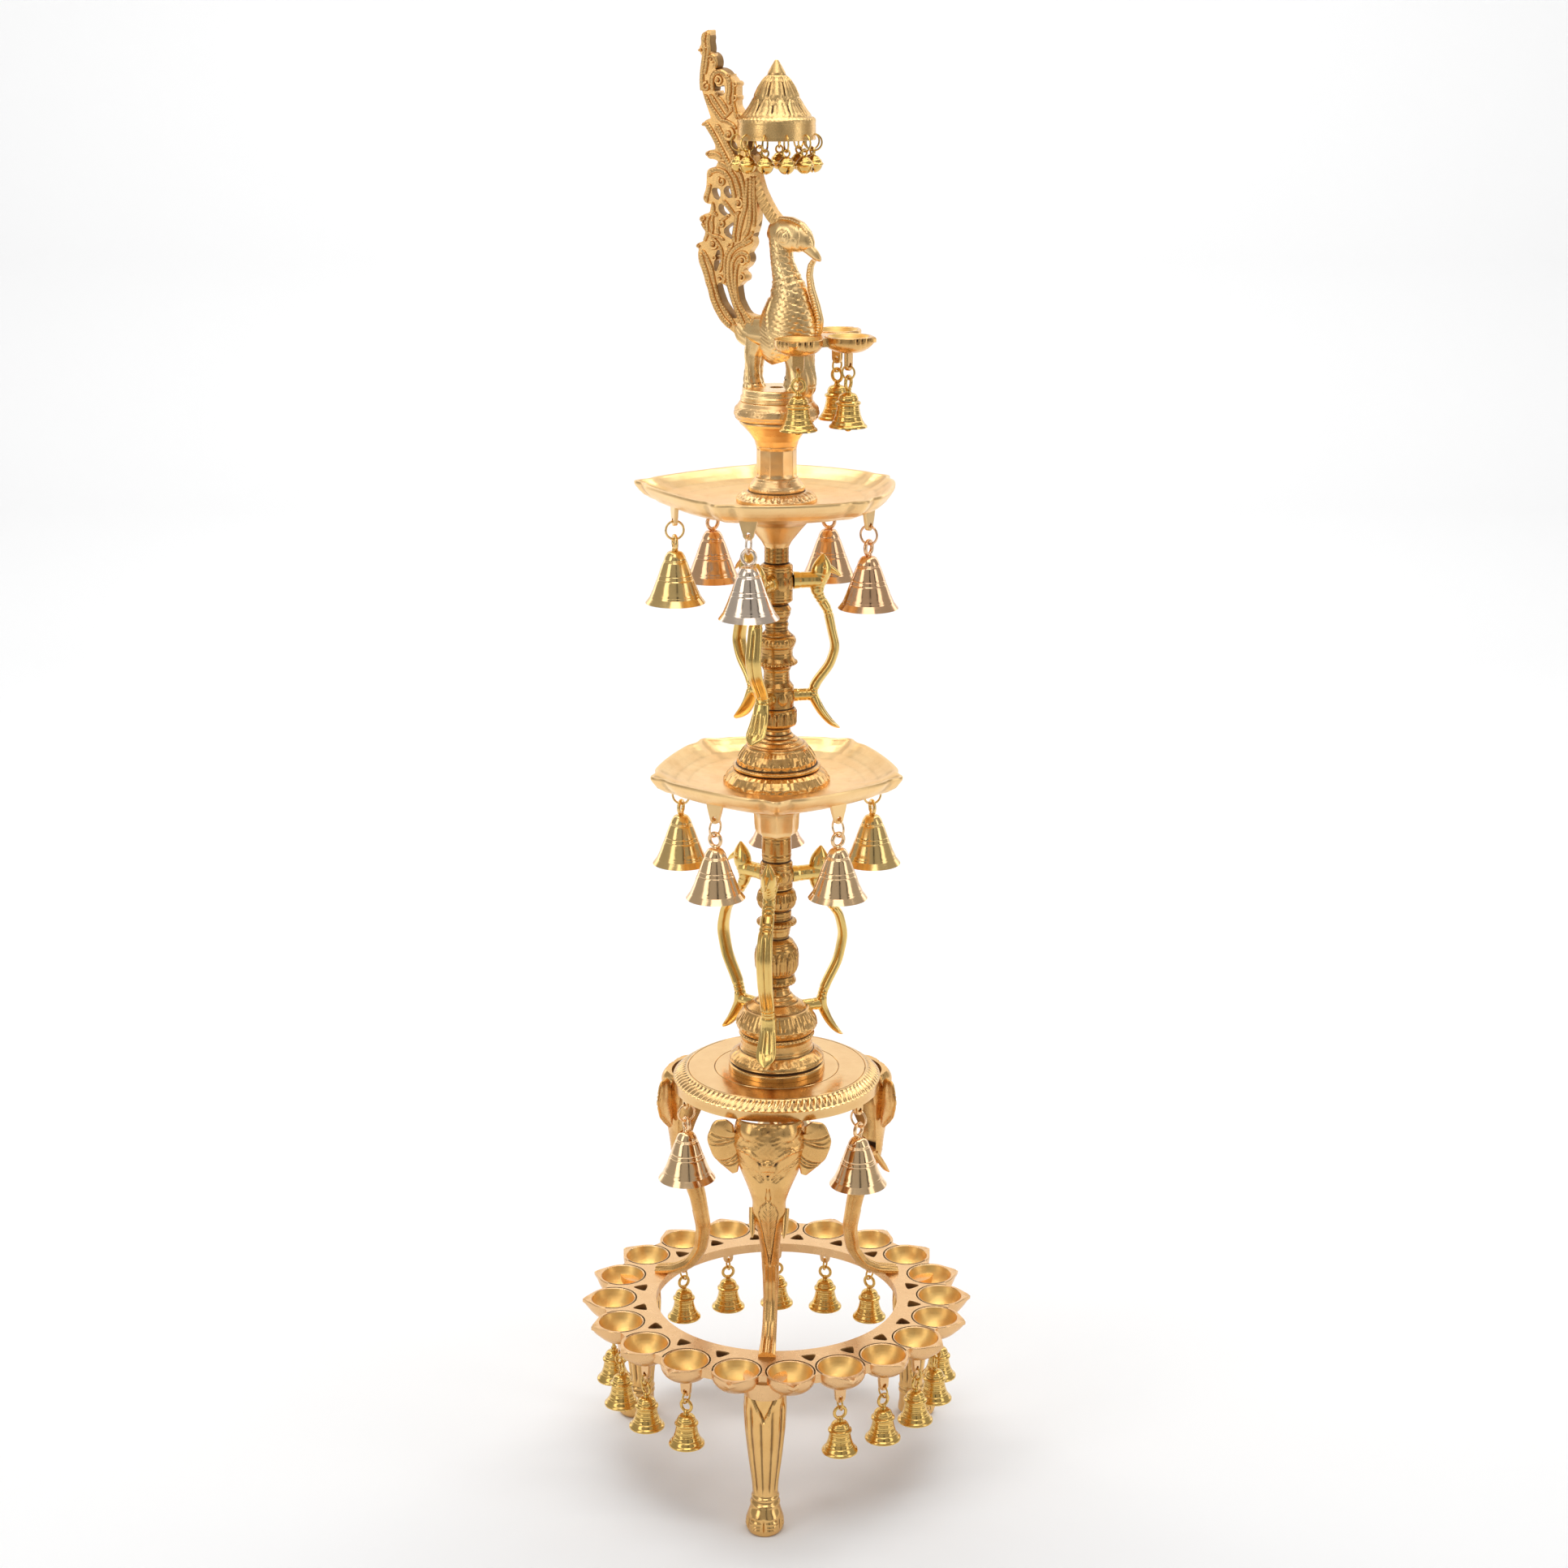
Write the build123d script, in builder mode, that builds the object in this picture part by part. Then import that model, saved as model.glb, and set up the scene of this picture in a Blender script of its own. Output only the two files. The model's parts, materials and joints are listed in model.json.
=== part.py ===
from build123d import *
import math
import os

# Brass standing oil lamp (samai). Millimetres. Z is up, the three paw feet stand on z = 0 and the
# column stands on x = y = 0. The front of the lamp looks along -Y. A piece on the rim of a round
# part is drawn facing +X and turned to its heading, which is counted from +X towards +Y.

os.makedirs("parts", exist_ok=True)

# ---------------------------------------------------------------- driving dimensions
FIT = 0.15              # radial clearance of the tie rod in the column, and of tenons
SEAT = 0.2              # gap between links, loops and the things that they hang in
NUDGE = 0.6             # how far pieces of one casting run into each other

# legs and the ring of lamps
LEG_HEADINGS = (-94.0, 26.0, 154.0)
LAMPS_BETWEEN_LEGS = (7, 7, 6)
RING_TOP = 138.0        # rim plane of the lamps
RING_PLATE = 7.5        # thickness of the flat band
RING_INNER_R = 99.5
LAMP_CIRCLE_R = 135.0
LAMP_MOUTH_R = 17.5
LAMP_WALL = 2.6
LAMP_DEPTH = 14.0
LIP_REACH = 25.5        # lamp centre to the tip of its lip
LIP_HEIGHT = 11.0
LIP_BRIM = 3.0          # upright edge below the rim
LEAF_R = 113.5          # leaf-shaped cut-outs between the lamps
LEG_R = 128.0
LEG_TOP = 118.0
LEG_TOP_R = 17.0
LEG_ANKLE_R = 10.0
PAW_R = 15.5
TENON_R = 5.0
TENON_LENGTH = 9.0
RING_HOLE_DROP = 27.0   # lug hole below the rim plane

# round stand carried by the elephant heads
DISC_TOP = 341.0
DISC_FLAT_R = 73.0
DISC_R = 83.5
DISC_SLOPE = 7.0        # fall of the roped border
DISC_BAND = 7.5         # straight edge below the border
DISC_PLATE = 5.0
DISC_HUB_R = 17.0
TRUNK_FOOT_R = 108.0
PAD_INNER_R = 60.0

# column
ROD_R = 5.0
LOWER_PILLAR_BASE = 408.0
MIDDLE_HUB_BASE = 537.0
MIDDLE_RIM = 592.5
UPPER_PILLAR_BASE = 622.0
TOP_HUB_BASE = 767.0
TOP_RIM = 815.0
PEACOCK_BASE = 879.0
LOWER_COLLAR = (493.0, 513.0)
LOWER_COLLAR_R = 12.8
UPPER_HEAD_COLLAR = (725.0, 753.0)
UPPER_FOOT_COLLAR = (640.0, 657.0)
UPPER_COLLAR_R = 12.5
BULB_R = 32.6
BULB_Z = 379.0

# trays
TRAY_TIP_R = 104.0
TRAY_EDGE_R = 90.0      # rim half way between two tips
TRAY_BAND = 6.0
TRAY_WALL = 4.0
TRAY_DEPTH = 12.5
TRAY_LUG_R = 80.0
TRAY_HOLE_DROP = 24.0
MIDDLE_TIP_HEADINGS = (-90.0, -18.0, 54.0, 126.0, 198.0)
MIDDLE_LUG_HEADINGS = (-54.0, 18.0, 90.0, 162.0, 234.0)
TOP_TIP_HEADINGS = (170.0, 242.0, 314.0, 26.0, 98.0)
TOP_SPOUT_R = 113.0     # the first tip is drawn out to a long spout
TOP_TIP_R = 98.0
TOP_LUG_HEADINGS = (-105.0, -30.0, 59.0, 129.0, 195.0)

# bells
HOLE_R = 1.8
LUG_THICK = 3.2
LUG_EDGE = 2.4          # metal round a lug hole
TRAY_BELL_LINK_R = 7.0
TRAY_BELL_WIRE_R = 0.9
TRAY_BELL_LOOP_R = 5.2
TRAY_BELL_HEIGHT = 40.0
TRAY_BELL_MOUTH_R = 23.0
RING_BELL_LINK_R = 5.0
RING_BELL_WIRE_R = 0.8
RING_BELL_LOOP_R = 4.8
RING_BELL_HEIGHT = 26.0
RING_BELL_MOUTH_R = 14.4
BELL_WALL = 1.3
GHUNGROO_LINK_R = 6.0
GHUNGROO_WIRE_R = 0.7
GHUNGROO_R = 7.0
DISC_LUG_HEADINGS = (-35.0, 85.0, 205.0)
DISC_LUG_R = 79.5
DISC_HOLE_DROP = 19.5   # below the flat top

# peacock, parasol and the cluster of three lamps
FACING = -27.0          # heading of the peacock
BIRD_FOOT_R = 27.5
BIRD_BASE_HEIGHT = 10.0
TAIL_THICKNESS = 10.0
PARASOL_R = 29.0
PARASOL_RIM = 1072.0
PARASOL_BAND = 14.0
PARASOL_HEIGHT = 57.0
PARASOL_WALL = 2.2
BAND_HOLE_RISE = 5.0    # band holes above the lower edge
PARASOL_HOLES = 10
GHUNGROO_SPREAD = 290.0  # arc of the band that carries them, open towards the tail
CLUSTER_RIM = 931.0
CLUSTER_CENTRE = 26.0   # in front of the column, along the facing
CLUSTER_REACH = 34.0
CLUSTER_SPREAD = 75.0
CLUSTER_LAMP_R = 15.5
CLUSTER_DEPTH = 10.0

LAMP_OUTER_R = LAMP_MOUTH_R + LAMP_WALL
RING_UNDERSIDE = RING_TOP - RING_PLATE
RING_HOLE_Z = RING_TOP - RING_HOLE_DROP
DISC_BAND_TOP = DISC_TOP - DISC_SLOPE
DISC_BOTTOM = DISC_BAND_TOP - DISC_BAND
TRAY_SKIRT = 17.0       # depth of the tray below its band, down to the hub


def keep(part, name):
    """Label a finished piece and write it."""
    part.label = name
    export_step(part, f"parts/{name}.step")


def turned(points):
    """Solid of revolution about the column from (radius, height) points, closed on the axis."""
    outline = [(0, points[0][1])] + list(points) + [(0, points[-1][1])]
    with BuildPart() as body:
        with BuildSketch(Plane.XZ):
            with BuildLine():
                Polyline(*outline, close=True)
            make_face()
        revolve(axis=Axis.Z)
    return body.part


def bowl(outer_r, mouth_r, rim_z, depth, brim):
    """Solid lamp body with a rounded underside, and the ball that hollows it out."""
    under = rim_z - depth - LAMP_WALL
    fall = rim_z - brim - under
    under_r = (outer_r**2 + fall**2) / (2 * fall)
    half = math.asin(outer_r / under_r) / 2
    with BuildPart() as body:
        with BuildSketch(Plane.XZ):
            with BuildLine():
                ThreePointArc(
                    (0, under),
                    (under_r * math.sin(half), under + under_r * (1 - math.cos(half))),
                    (outer_r, rim_z - brim),
                )
                Line((outer_r, rim_z - brim), (outer_r, rim_z))
                Line((outer_r, rim_z), (0, rim_z))
                Line((0, rim_z), (0, under))
            make_face()
        revolve(axis=Axis.Z)
    ball_r = (mouth_r**2 + depth**2) / (2 * depth)
    with BuildPart() as ball:
        with Locations((0, 0, rim_z - depth + ball_r)):
            Sphere(ball_r)
    return body.part, ball.part


def lip(outer_r, tip_r, rim_z, height):
    """Pointed lip of a lamp, facing +X and drawn in towards the underside."""
    tangent = math.acos(outer_r / tip_r)
    with BuildPart() as body:
        for z, shrink in ((rim_z - height, 0.6), (rim_z - LIP_BRIM, 0.97), (rim_z, 1.0)):
            flank = outer_r * math.sin(tangent) * shrink
            reach = outer_r * math.cos(tangent) * shrink
            with BuildSketch(Plane.XY.offset(z)):
                Polygon(
                    (0, -flank), (reach, -flank), (tip_r * shrink, 0), (reach, flank), (0, flank), align=None
                )
        loft(ruled=True)
    return body.part


def lofted(stations):
    """Smooth body through ellipses across a path in the XZ plane.

    A station is (radius, height, half thickness across the path, half width along Y)."""
    with BuildPart() as body:
        last = len(stations) - 1
        for i, (r, z, thick, width) in enumerate(stations):
            before = stations[max(i - 1, 0)]
            after = stations[min(i + 1, last)]
            way = Vector(after[0] - before[0], 0, after[1] - before[1])
            with BuildSketch(Plane(origin=(r, 0, z), x_dir=(0, 1, 0), z_dir=way)):
                Ellipse(width, thick)
        loft()
    return body.part


def column_bore(low, high):
    """Bore of the tie rod, cut from the piece that is being built."""
    with Locations((0, 0, low)):
        Cylinder(ROD_R + FIT, high - low, align=(Align.CENTER, Align.CENTER, Align.MIN), mode=Mode.SUBTRACT)


def lug(radius, hole_z, top_z, width):
    """Tapered lug with a radial hole, drawn at the given radius and facing +X."""
    tip_r = HOLE_R + LUG_EDGE
    with BuildPart() as body:
        with BuildSketch(Plane.YZ.offset(radius - LUG_THICK / 2)):
            with BuildLine():
                Polyline(
                    (-width / 2, top_z), (width / 2, top_z), (tip_r, hole_z), (-tip_r, hole_z), close=True
                )
            make_face()
            with Locations((0, hole_z)):
                Circle(tip_r)
                Circle(HOLE_R, mode=Mode.SUBTRACT)
        extrude(amount=LUG_THICK)
    return body.part


# ---------------------------------------------------------------- three paw legs
LEG_STATIONS = (
    # height, outward shift, radial half, tangential half
    (0.0, 5.0, PAW_R - 1.5, PAW_R - 3.0),
    (4.0, 5.5, PAW_R + 0.5, PAW_R - 0.5),
    (13.0, 4.5, PAW_R, PAW_R - 1.0),
    (23.0, 1.5, LEG_ANKLE_R + 1.5, LEG_ANKLE_R + 1.0),
    (31.0, 0.0, LEG_ANKLE_R, LEG_ANKLE_R),
    (60.0, 0.0, LEG_ANKLE_R + 3.0, LEG_ANKLE_R + 3.5),
    (92.0, 0.0, LEG_TOP_R - 0.5, LEG_TOP_R - 0.3),
    (LEG_TOP, 0.0, LEG_TOP_R, LEG_TOP_R),
)
with BuildPart() as leg:
    for height, shift, radial, tangential in LEG_STATIONS:
        with BuildSketch(Plane.XY.offset(height)):
            with Locations((LEG_R + shift, 0)):
                Ellipse(radial, tangential)
    loft(ruled=True)
    with BuildSketch(Plane.XY.offset(LEG_TOP)):
        with Locations((LEG_R, 0)):
            Circle(TENON_R)
    extrude(amount=TENON_LENGTH)

with BuildPart() as paw_legs:
    with Locations(*[Location((0, 0, 0), (0, 0, a)) for a in LEG_HEADINGS]):
        add(leg.part)
keep(paw_legs.part, "paw_legs")

# ---------------------------------------------------------------- ring of lamps
lamp_headings = []
leaf_headings = []
bell_headings = []
for sector, count in enumerate(LAMPS_BETWEEN_LEGS):
    start = LEG_HEADINGS[sector]
    span = (LEG_HEADINGS[(sector + 1) % 3] - start) % 360
    pitch = span / count
    lamp_headings += [start + pitch * (i + 0.5) for i in range(count)]
    leaf_headings += [start + pitch * i for i in range(1, count)]
    bell_headings += [start + pitch * (i + 0.5) for i in range(1, count - 1)]

lamp_body, lamp_ball = bowl(LAMP_OUTER_R, LAMP_MOUTH_R, RING_TOP, LAMP_DEPTH, LIP_BRIM)
lamp_lip = lip(LAMP_OUTER_R, LIP_REACH, RING_TOP, LIP_HEIGHT)
lamp_places = [Location(Vector(LAMP_CIRCLE_R, 0, 0).rotate(Axis.Z, a), (0, 0, a)) for a in lamp_headings]
ring_lug = lug(LAMP_CIRCLE_R, RING_HOLE_Z, RING_TOP - LAMP_DEPTH, 11.0)

with BuildPart() as diya_ring:
    with BuildSketch(Plane.XY.offset(RING_UNDERSIDE)):
        Circle(LAMP_CIRCLE_R + 6)
        Circle(RING_INNER_R, mode=Mode.SUBTRACT)
        with Locations(*[Location((0, 0, 0), (0, 0, a)) for a in leaf_headings]):
            with BuildSketch(mode=Mode.PRIVATE) as leaf:
                with Locations((LEAF_R, 0)):
                    Polygon((-4.0, -7.0), (7.5, 0), (-4.0, 7.0), align=None)
                fillet(leaf.vertices(), 1.6)
            add(leaf.sketch, mode=Mode.SUBTRACT)
    extrude(amount=RING_PLATE)
    with Locations(*lamp_places):
        add(lamp_body)
        add(lamp_lip)
    # bosses that the legs are set into
    with BuildSketch(Plane.XY.offset(LEG_TOP)):
        with Locations(*[Location(Vector(LEG_R, 0, 0).rotate(Axis.Z, a)) for a in LEG_HEADINGS]):
            Circle(LEG_TOP_R)
    extrude(amount=RING_UNDERSIDE - LEG_TOP + NUDGE)
    with BuildSketch(Plane.XY.offset(LEG_TOP)):
        with Locations(*[Location(Vector(LEG_R, 0, 0).rotate(Axis.Z, a)) for a in LEG_HEADINGS]):
            Circle(TENON_R + FIT)
    extrude(amount=TENON_LENGTH + SEAT, mode=Mode.SUBTRACT)
    with Locations(*[Location((0, 0, 0), (0, 0, a)) for a in bell_headings]):
        add(ring_lug)
    with Locations(*lamp_places):
        add(lamp_ball, mode=Mode.SUBTRACT)
keep(diya_ring.part, "diya_ring")

# ---------------------------------------------------------------- elephant heads with trunks
HEAD_TOP = DISC_BOTTOM
TRUNK_STATIONS = (
    (74.0, HEAD_TOP, 20.0, 15.0),
    (76.0, HEAD_TOP - 9, 24.0, 23.0),
    (76.0, HEAD_TOP - 24, 25.0, 25.0),
    (78.0, HEAD_TOP - 40, 21.5, 21.0),
    (83.0, HEAD_TOP - 56, 15.0, 14.5),
    (85.5, HEAD_TOP - 66, 11.0, 11.8),
    (84.5, HEAD_TOP - 77, 9.5, 14.5),
    (80.0, HEAD_TOP - 92, 8.0, 9.0),
    (73.0, HEAD_TOP - 113, 6.5, 7.0),
    (67.5, HEAD_TOP - 140, 5.6, 6.2),
    (70.0, HEAD_TOP - 160, 5.0, 5.6),
    (80.0, RING_TOP + 13, 4.6, 5.6),
    (93.0, RING_TOP + 5, 4.6, 6.2),
    (TRUNK_FOOT_R + 3, RING_TOP + 0.6, 4.2, 7.4),
)
HOLLOW_STATIONS = (
    (62.0, HEAD_TOP - 4, 12.0, 8.0),
    (66.0, HEAD_TOP - 11, 27.0, 18.5),
    (66.0, HEAD_TOP - 24, 30.0, 21.0),
    (68.0, HEAD_TOP - 40, 26.0, 16.5),
    (72.0, HEAD_TOP - 54, 18.0, 10.0),
    (75.0, HEAD_TOP - 66, 10.0, 5.0),
)
with BuildPart() as elephant:
    add(lofted(TRUNK_STATIONS))
    add(lofted(HOLLOW_STATIONS), mode=Mode.SUBTRACT)
    # fan-shaped ears, thin and standing off the cheeks
    for side in (1, -1):
        with BuildSketch(Plane.YZ.offset(TRUNK_FOOT_R - 26)):
            with BuildLine():
                low = HEAD_TOP - 40
                Spline(
                    (side * 20, HEAD_TOP - 12),
                    (side * 32, HEAD_TOP - 3),
                    (side * 45, HEAD_TOP - 9),
                    (side * 43, HEAD_TOP - 26),
                    (side * 27, low),
                )
                Line((side * 27, low), (side * 16, low + 6))
                Line((side * 16, low + 6), (side * 20, HEAD_TOP - 12))
            make_face()
        extrude(amount=4.5)
    # tusks leave the flange of the mouth
    for side in (1, -1):
        for height, reach, tusk_r in (
            (HEAD_TOP - 72, 88.0, 2.6),
            (HEAD_TOP - 82, 93.0, 2.2),
            (HEAD_TOP - 92, 98.0, 1.2),
        ):
            with BuildSketch(Plane.XY.offset(height)):
                with Locations((reach, side * 12.5)):
                    Circle(tusk_r)
        loft()
    # flat faces towards the ring and the disc
    with BuildSketch(Plane.XY.offset(RING_TOP - 20), Plane.XY.offset(HEAD_TOP)):
        Rectangle(400, 400)
    extrude(amount=20, mode=Mode.SUBTRACT)

for place, heading in zip(("front", "right", "left"), LEG_HEADINGS):
    with BuildPart() as placed:
        with Locations(Location((0, 0, 0), (0, 0, heading))):
            add(elephant.part)
    keep(placed.part, f"elephant_bracket_{place}")

# ---------------------------------------------------------------- round stand
disc_lug = lug(DISC_LUG_R, DISC_TOP - DISC_HOLE_DROP, DISC_BOTTOM + 1.5, 9.0)
with BuildPart() as stand_disc:
    add(
        turned(
            (
                (DISC_HUB_R, DISC_BOTTOM - 3),
                (DISC_HUB_R, DISC_TOP - DISC_PLATE),
                (DISC_R - 6, DISC_TOP - DISC_PLATE - 3),
                (DISC_R - 6, DISC_BOTTOM),
                (DISC_R, DISC_BOTTOM),
                (DISC_R, DISC_BAND_TOP),
                (DISC_FLAT_R, DISC_TOP),
            )
        )
    )
    # pads that the elephant heads are soldered to
    with BuildSketch(Plane.XY.offset(DISC_BOTTOM)):
        with Locations(*[Location((0, 0, 0), (0, 0, a)) for a in LEG_HEADINGS]):
            with Locations(((PAD_INNER_R + DISC_R - 4) / 2, 0)):
                Rectangle(DISC_R - 4 - PAD_INNER_R, 30)
    extrude(amount=DISC_BAND)
    with Locations(*[Location((0, 0, 0), (0, 0, a)) for a in DISC_LUG_HEADINGS]):
        add(disc_lug)
    column_bore(DISC_BOTTOM - 4, DISC_TOP + 1)
keep(stand_disc.part, "stand_disc")

# ---------------------------------------------------------------- column below the middle tray
PEDESTAL_OUTLINE = (
    (38.5, DISC_TOP),
    (38.5, DISC_TOP + 4),
    (36.5, DISC_TOP + 6),
    (38.3, DISC_TOP + 8),
    (37.0, DISC_TOP + 11),
    (29.5, DISC_TOP + 17),
    (28.6, DISC_TOP + 21),
    (28.6, DISC_TOP + 26),
    (30.0, DISC_TOP + 29),
    (29.2, DISC_TOP + 31.5),
    (BULB_R - 0.8, BULB_Z - 3),
    (BULB_R, BULB_Z),
    (BULB_R - 1.2, BULB_Z + 4),
    (27.6, BULB_Z + 10),
    (26.2, BULB_Z + 13),
    (23.5, BULB_Z + 14),
    (16.0, BULB_Z + 20),
    (11.5, BULB_Z + 25),
    (9.8, LOWER_PILLAR_BASE),
)
with BuildPart() as lower_pedestal:
    add(turned(PEDESTAL_OUTLINE))
    column_bore(DISC_TOP - 1, LOWER_PILLAR_BASE + 1)
keep(lower_pedestal.part, "lower_pedestal")

with BuildPart() as lower_pillar:
    base = LOWER_PILLAR_BASE
    add(
        turned(
            (
                (9.8, base),
                (10.0, base + 3),
                (14.6, base + 5),
                (15.0, base + 8),
                (14.4, base + 12),
                (16.8, base + 19),
                (17.4, base + 27),
                (16.4, base + 35),
                (13.4, base + 40),
                (9.6, base + 43),
                (10.4, base + 46),
                (11.8, base + 53),
                (15.3, base + 55),
                (15.3, base + 57),
                (11.9, base + 59),
                (11.9, base + 67),
                (14.0, base + 69),
                (15.5, base + 75),
                (14.2, base + 82),
                (11.6, base + 84),
                (LOWER_COLLAR_R, LOWER_COLLAR[0]),
                (LOWER_COLLAR_R, LOWER_COLLAR[1]),
                (11.8, LOWER_COLLAR[1] + 1.5),
                (11.8, MIDDLE_HUB_BASE),
            )
        )
    )
    column_bore(base - 1, MIDDLE_HUB_BASE + 1)
keep(lower_pillar.part, "lower_pillar")


# ---------------------------------------------------------------- trays
def tray_outline(tips, shrink):
    """Five-cornered outline with bowed edges, as wires of the sketch that is being built."""
    corners = [Vector(r * shrink, 0).rotate(Axis.Z, a) for a, r in tips]
    with BuildLine() as rim:
        for i, corner in enumerate(corners):
            following = corners[(i + 1) % len(corners)]
            middle = (corner + following).normalized() * TRAY_EDGE_R * shrink
            ThreePointArc(corner, middle, following)
    make_face(rim.edges())


def tray(tips, lugs, rim_z, hub_base, hub):
    """Shallow five-cornered dish with its lugs and the hub that sits on the pillar."""
    tray_floor = rim_z - TRAY_DEPTH
    wall = 1 - TRAY_WALL / TRAY_EDGE_R
    with BuildPart() as dish:
        with BuildSketch(Plane.XY.offset(rim_z - TRAY_BAND)):
            tray_outline(tips, 1.0)
        extrude(amount=TRAY_BAND)
        for height, shrink in (
            (rim_z - TRAY_BAND, 1.0),
            (rim_z - TRAY_BAND - 6, 0.88),
            (rim_z - TRAY_SKIRT, 0.55),
        ):
            with BuildSketch(Plane.XY.offset(height)):
                tray_outline(tips, shrink)
        loft(ruled=True)
        add(turned([(r, hub_base + h) for r, h in hub] + [(30.0, tray_floor - 3)]))
        with Locations(*[Location((0, 0, 0), (0, 0, a)) for a in lugs]):
            add(lug(TRAY_LUG_R, rim_z - TRAY_HOLE_DROP, rim_z - TRAY_BAND - 1, 20.0))
        for height, shrink in ((tray_floor, 0.60), (tray_floor + 4.5, wall * 0.86), (rim_z + 0.01, wall)):
            with BuildSketch(Plane.XY.offset(height)):
                tray_outline(tips, shrink)
        loft(ruled=True, mode=Mode.SUBTRACT)
        column_bore(hub_base - 1, rim_z)
    return dish.part


middle_tips = [(a, TRAY_TIP_R) for a in MIDDLE_TIP_HEADINGS]
middle_hub = ((15.0, 0), (16.5, 3), (17.5, 8), (17.9, 15), (18.8, 19), (34.0, 25))
keep(tray(middle_tips, MIDDLE_LUG_HEADINGS, MIDDLE_RIM, MIDDLE_HUB_BASE, middle_hub), "middle_tray")

top_tips = [(a, TOP_TIP_R) for a in TOP_TIP_HEADINGS]
top_tips[0] = (TOP_TIP_HEADINGS[0], TOP_SPOUT_R)
top_hub = ((9.4, 0), (11.5, 4), (15.5, 9), (19.5, 14), (24.0, 19), (32.0, 23))
keep(tray(top_tips, TOP_LUG_HEADINGS, TOP_RIM, TOP_HUB_BASE, top_hub), "top_tray")

# ---------------------------------------------------------------- column between the trays
with BuildPart() as upper_pedestal:
    seat = MIDDLE_RIM - TRAY_DEPTH
    add(
        turned(
            (
                (42.0, seat),
                (41.2, seat + 3),
                (37.5, seat + 8),
                (33.0, seat + 11),
                (34.2, seat + 12),
                (34.2, seat + 14),
                (31.0, seat + 15.5),
                (30.6, seat + 19),
                (27.5, seat + 25),
                (24.0, seat + 29),
                (23.6, seat + 31),
                (19.5, seat + 33),
                (14.0, seat + 37),
                (11.4, seat + 40),
                (10.8, UPPER_PILLAR_BASE),
            )
        )
    )
    column_bore(seat - 1, UPPER_PILLAR_BASE + 1)
keep(upper_pedestal.part, "upper_pedestal")

with BuildPart() as upper_pillar:
    low_foot, high_foot = UPPER_FOOT_COLLAR
    low_head, high_head = UPPER_HEAD_COLLAR
    add(
        turned(
            (
                (10.8, UPPER_PILLAR_BASE),
                (10.8, UPPER_PILLAR_BASE + 2),
                (15.3, UPPER_PILLAR_BASE + 4.5),
                (15.3, low_foot - 1.5),
                (UPPER_COLLAR_R + 1, low_foot),
                (UPPER_COLLAR_R + 1, high_foot),
                (10.4, high_foot + 4),
                (10.0, high_foot + 12),
                (12.0, high_foot + 16),
                (15.8, high_foot + 19),
                (12.6, high_foot + 24),
                (12.6, high_foot + 29),
                (14.4, high_foot + 33),
                (14.4, high_foot + 39),
                (10.0, high_foot + 43),
                (8.6, high_foot + 45),
                (9.4, high_foot + 49),
                (8.6, high_foot + 52),
                (10.6, high_foot + 57),
                (11.4, high_foot + 61),
                (8.8, low_head - 3),
                (UPPER_COLLAR_R, low_head),
                (UPPER_COLLAR_R, high_head),
                (9.4, high_head + 2),
                (9.4, TOP_HUB_BASE),
            )
        )
    )
    column_bore(UPPER_PILLAR_BASE - 1, TOP_HUB_BASE + 1)
keep(upper_pillar.part, "upper_pillar")


# ---------------------------------------------------------------- S-shaped bird brackets
def bird_bracket(head, belly, waist, foot, root_r, head_root_z, foot_root_z):
    """Bird with a bowed body: crested head at the upper collar, leaf tail at the lower one."""
    head_r, head_z = head
    belly_r, belly_z = belly
    waist_r, waist_z = waist
    foot_r, foot_z = foot
    drop = head_z - belly_z
    rise = belly_z - waist_z
    spine = (
        (head_r + 1, head_z + 13, 3.0, 2.6),
        (head_r, head_z + 5, 6.6, 5.6),
        (head_r - 3, head_z - 5, 6.4, 6.2),
        (head_r - 4, head_z - 15, 4.6, 5.2),
        (head_r + 3, head_z - 15 - 0.3 * (drop - 15), 3.8, 5.4),
        (belly_r - 4, belly_z + 0.3 * drop, 3.6, 6.0),
        (belly_r, belly_z, 3.6, 6.2),
        (belly_r - 4.5, belly_z - 0.38 * rise, 3.6, 6.0),
        (waist_r + 3.5, waist_z + 0.24 * rise, 3.8, 5.6),
        (waist_r, waist_z, 4.2, 5.6),
        ((2 * waist_r + foot_r) / 3 + 0.5, (waist_z + foot_z) / 2 - 1, 3.6, 7.4),
        ((waist_r + 2 * foot_r) / 3 + 1.5, foot_z + 3.0, 3.0, 8.4),
        (foot_r, foot_z, 1.6, 4.6),
    )
    with BuildPart() as bird:
        add(lofted(spine))
        # beak
        with Locations(Location((head_r + 4, 0, head_z + 3), (0, 108, 0))):
            Cone(3.2, 0.8, 12, align=(Align.CENTER, Align.CENTER, Align.MIN))
        # arms that reach from the collars to the neck and to the waist
        for arm_z, arm_end, arm_r in ((head_root_z, head_r - 1.5, 5.4), (foot_root_z, waist_r + 1, 4.4)):
            with Locations(Location((0, 0, arm_z), (0, 90, 0))):
                Cylinder(arm_r, arm_end, align=(Align.CENTER, Align.CENTER, Align.MIN))
        with Locations((0, 0, head_z - 200)):
            Cylinder(root_r, 400, align=(Align.CENTER, Align.CENTER, Align.MIN), mode=Mode.SUBTRACT)
    return bird.part


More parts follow.
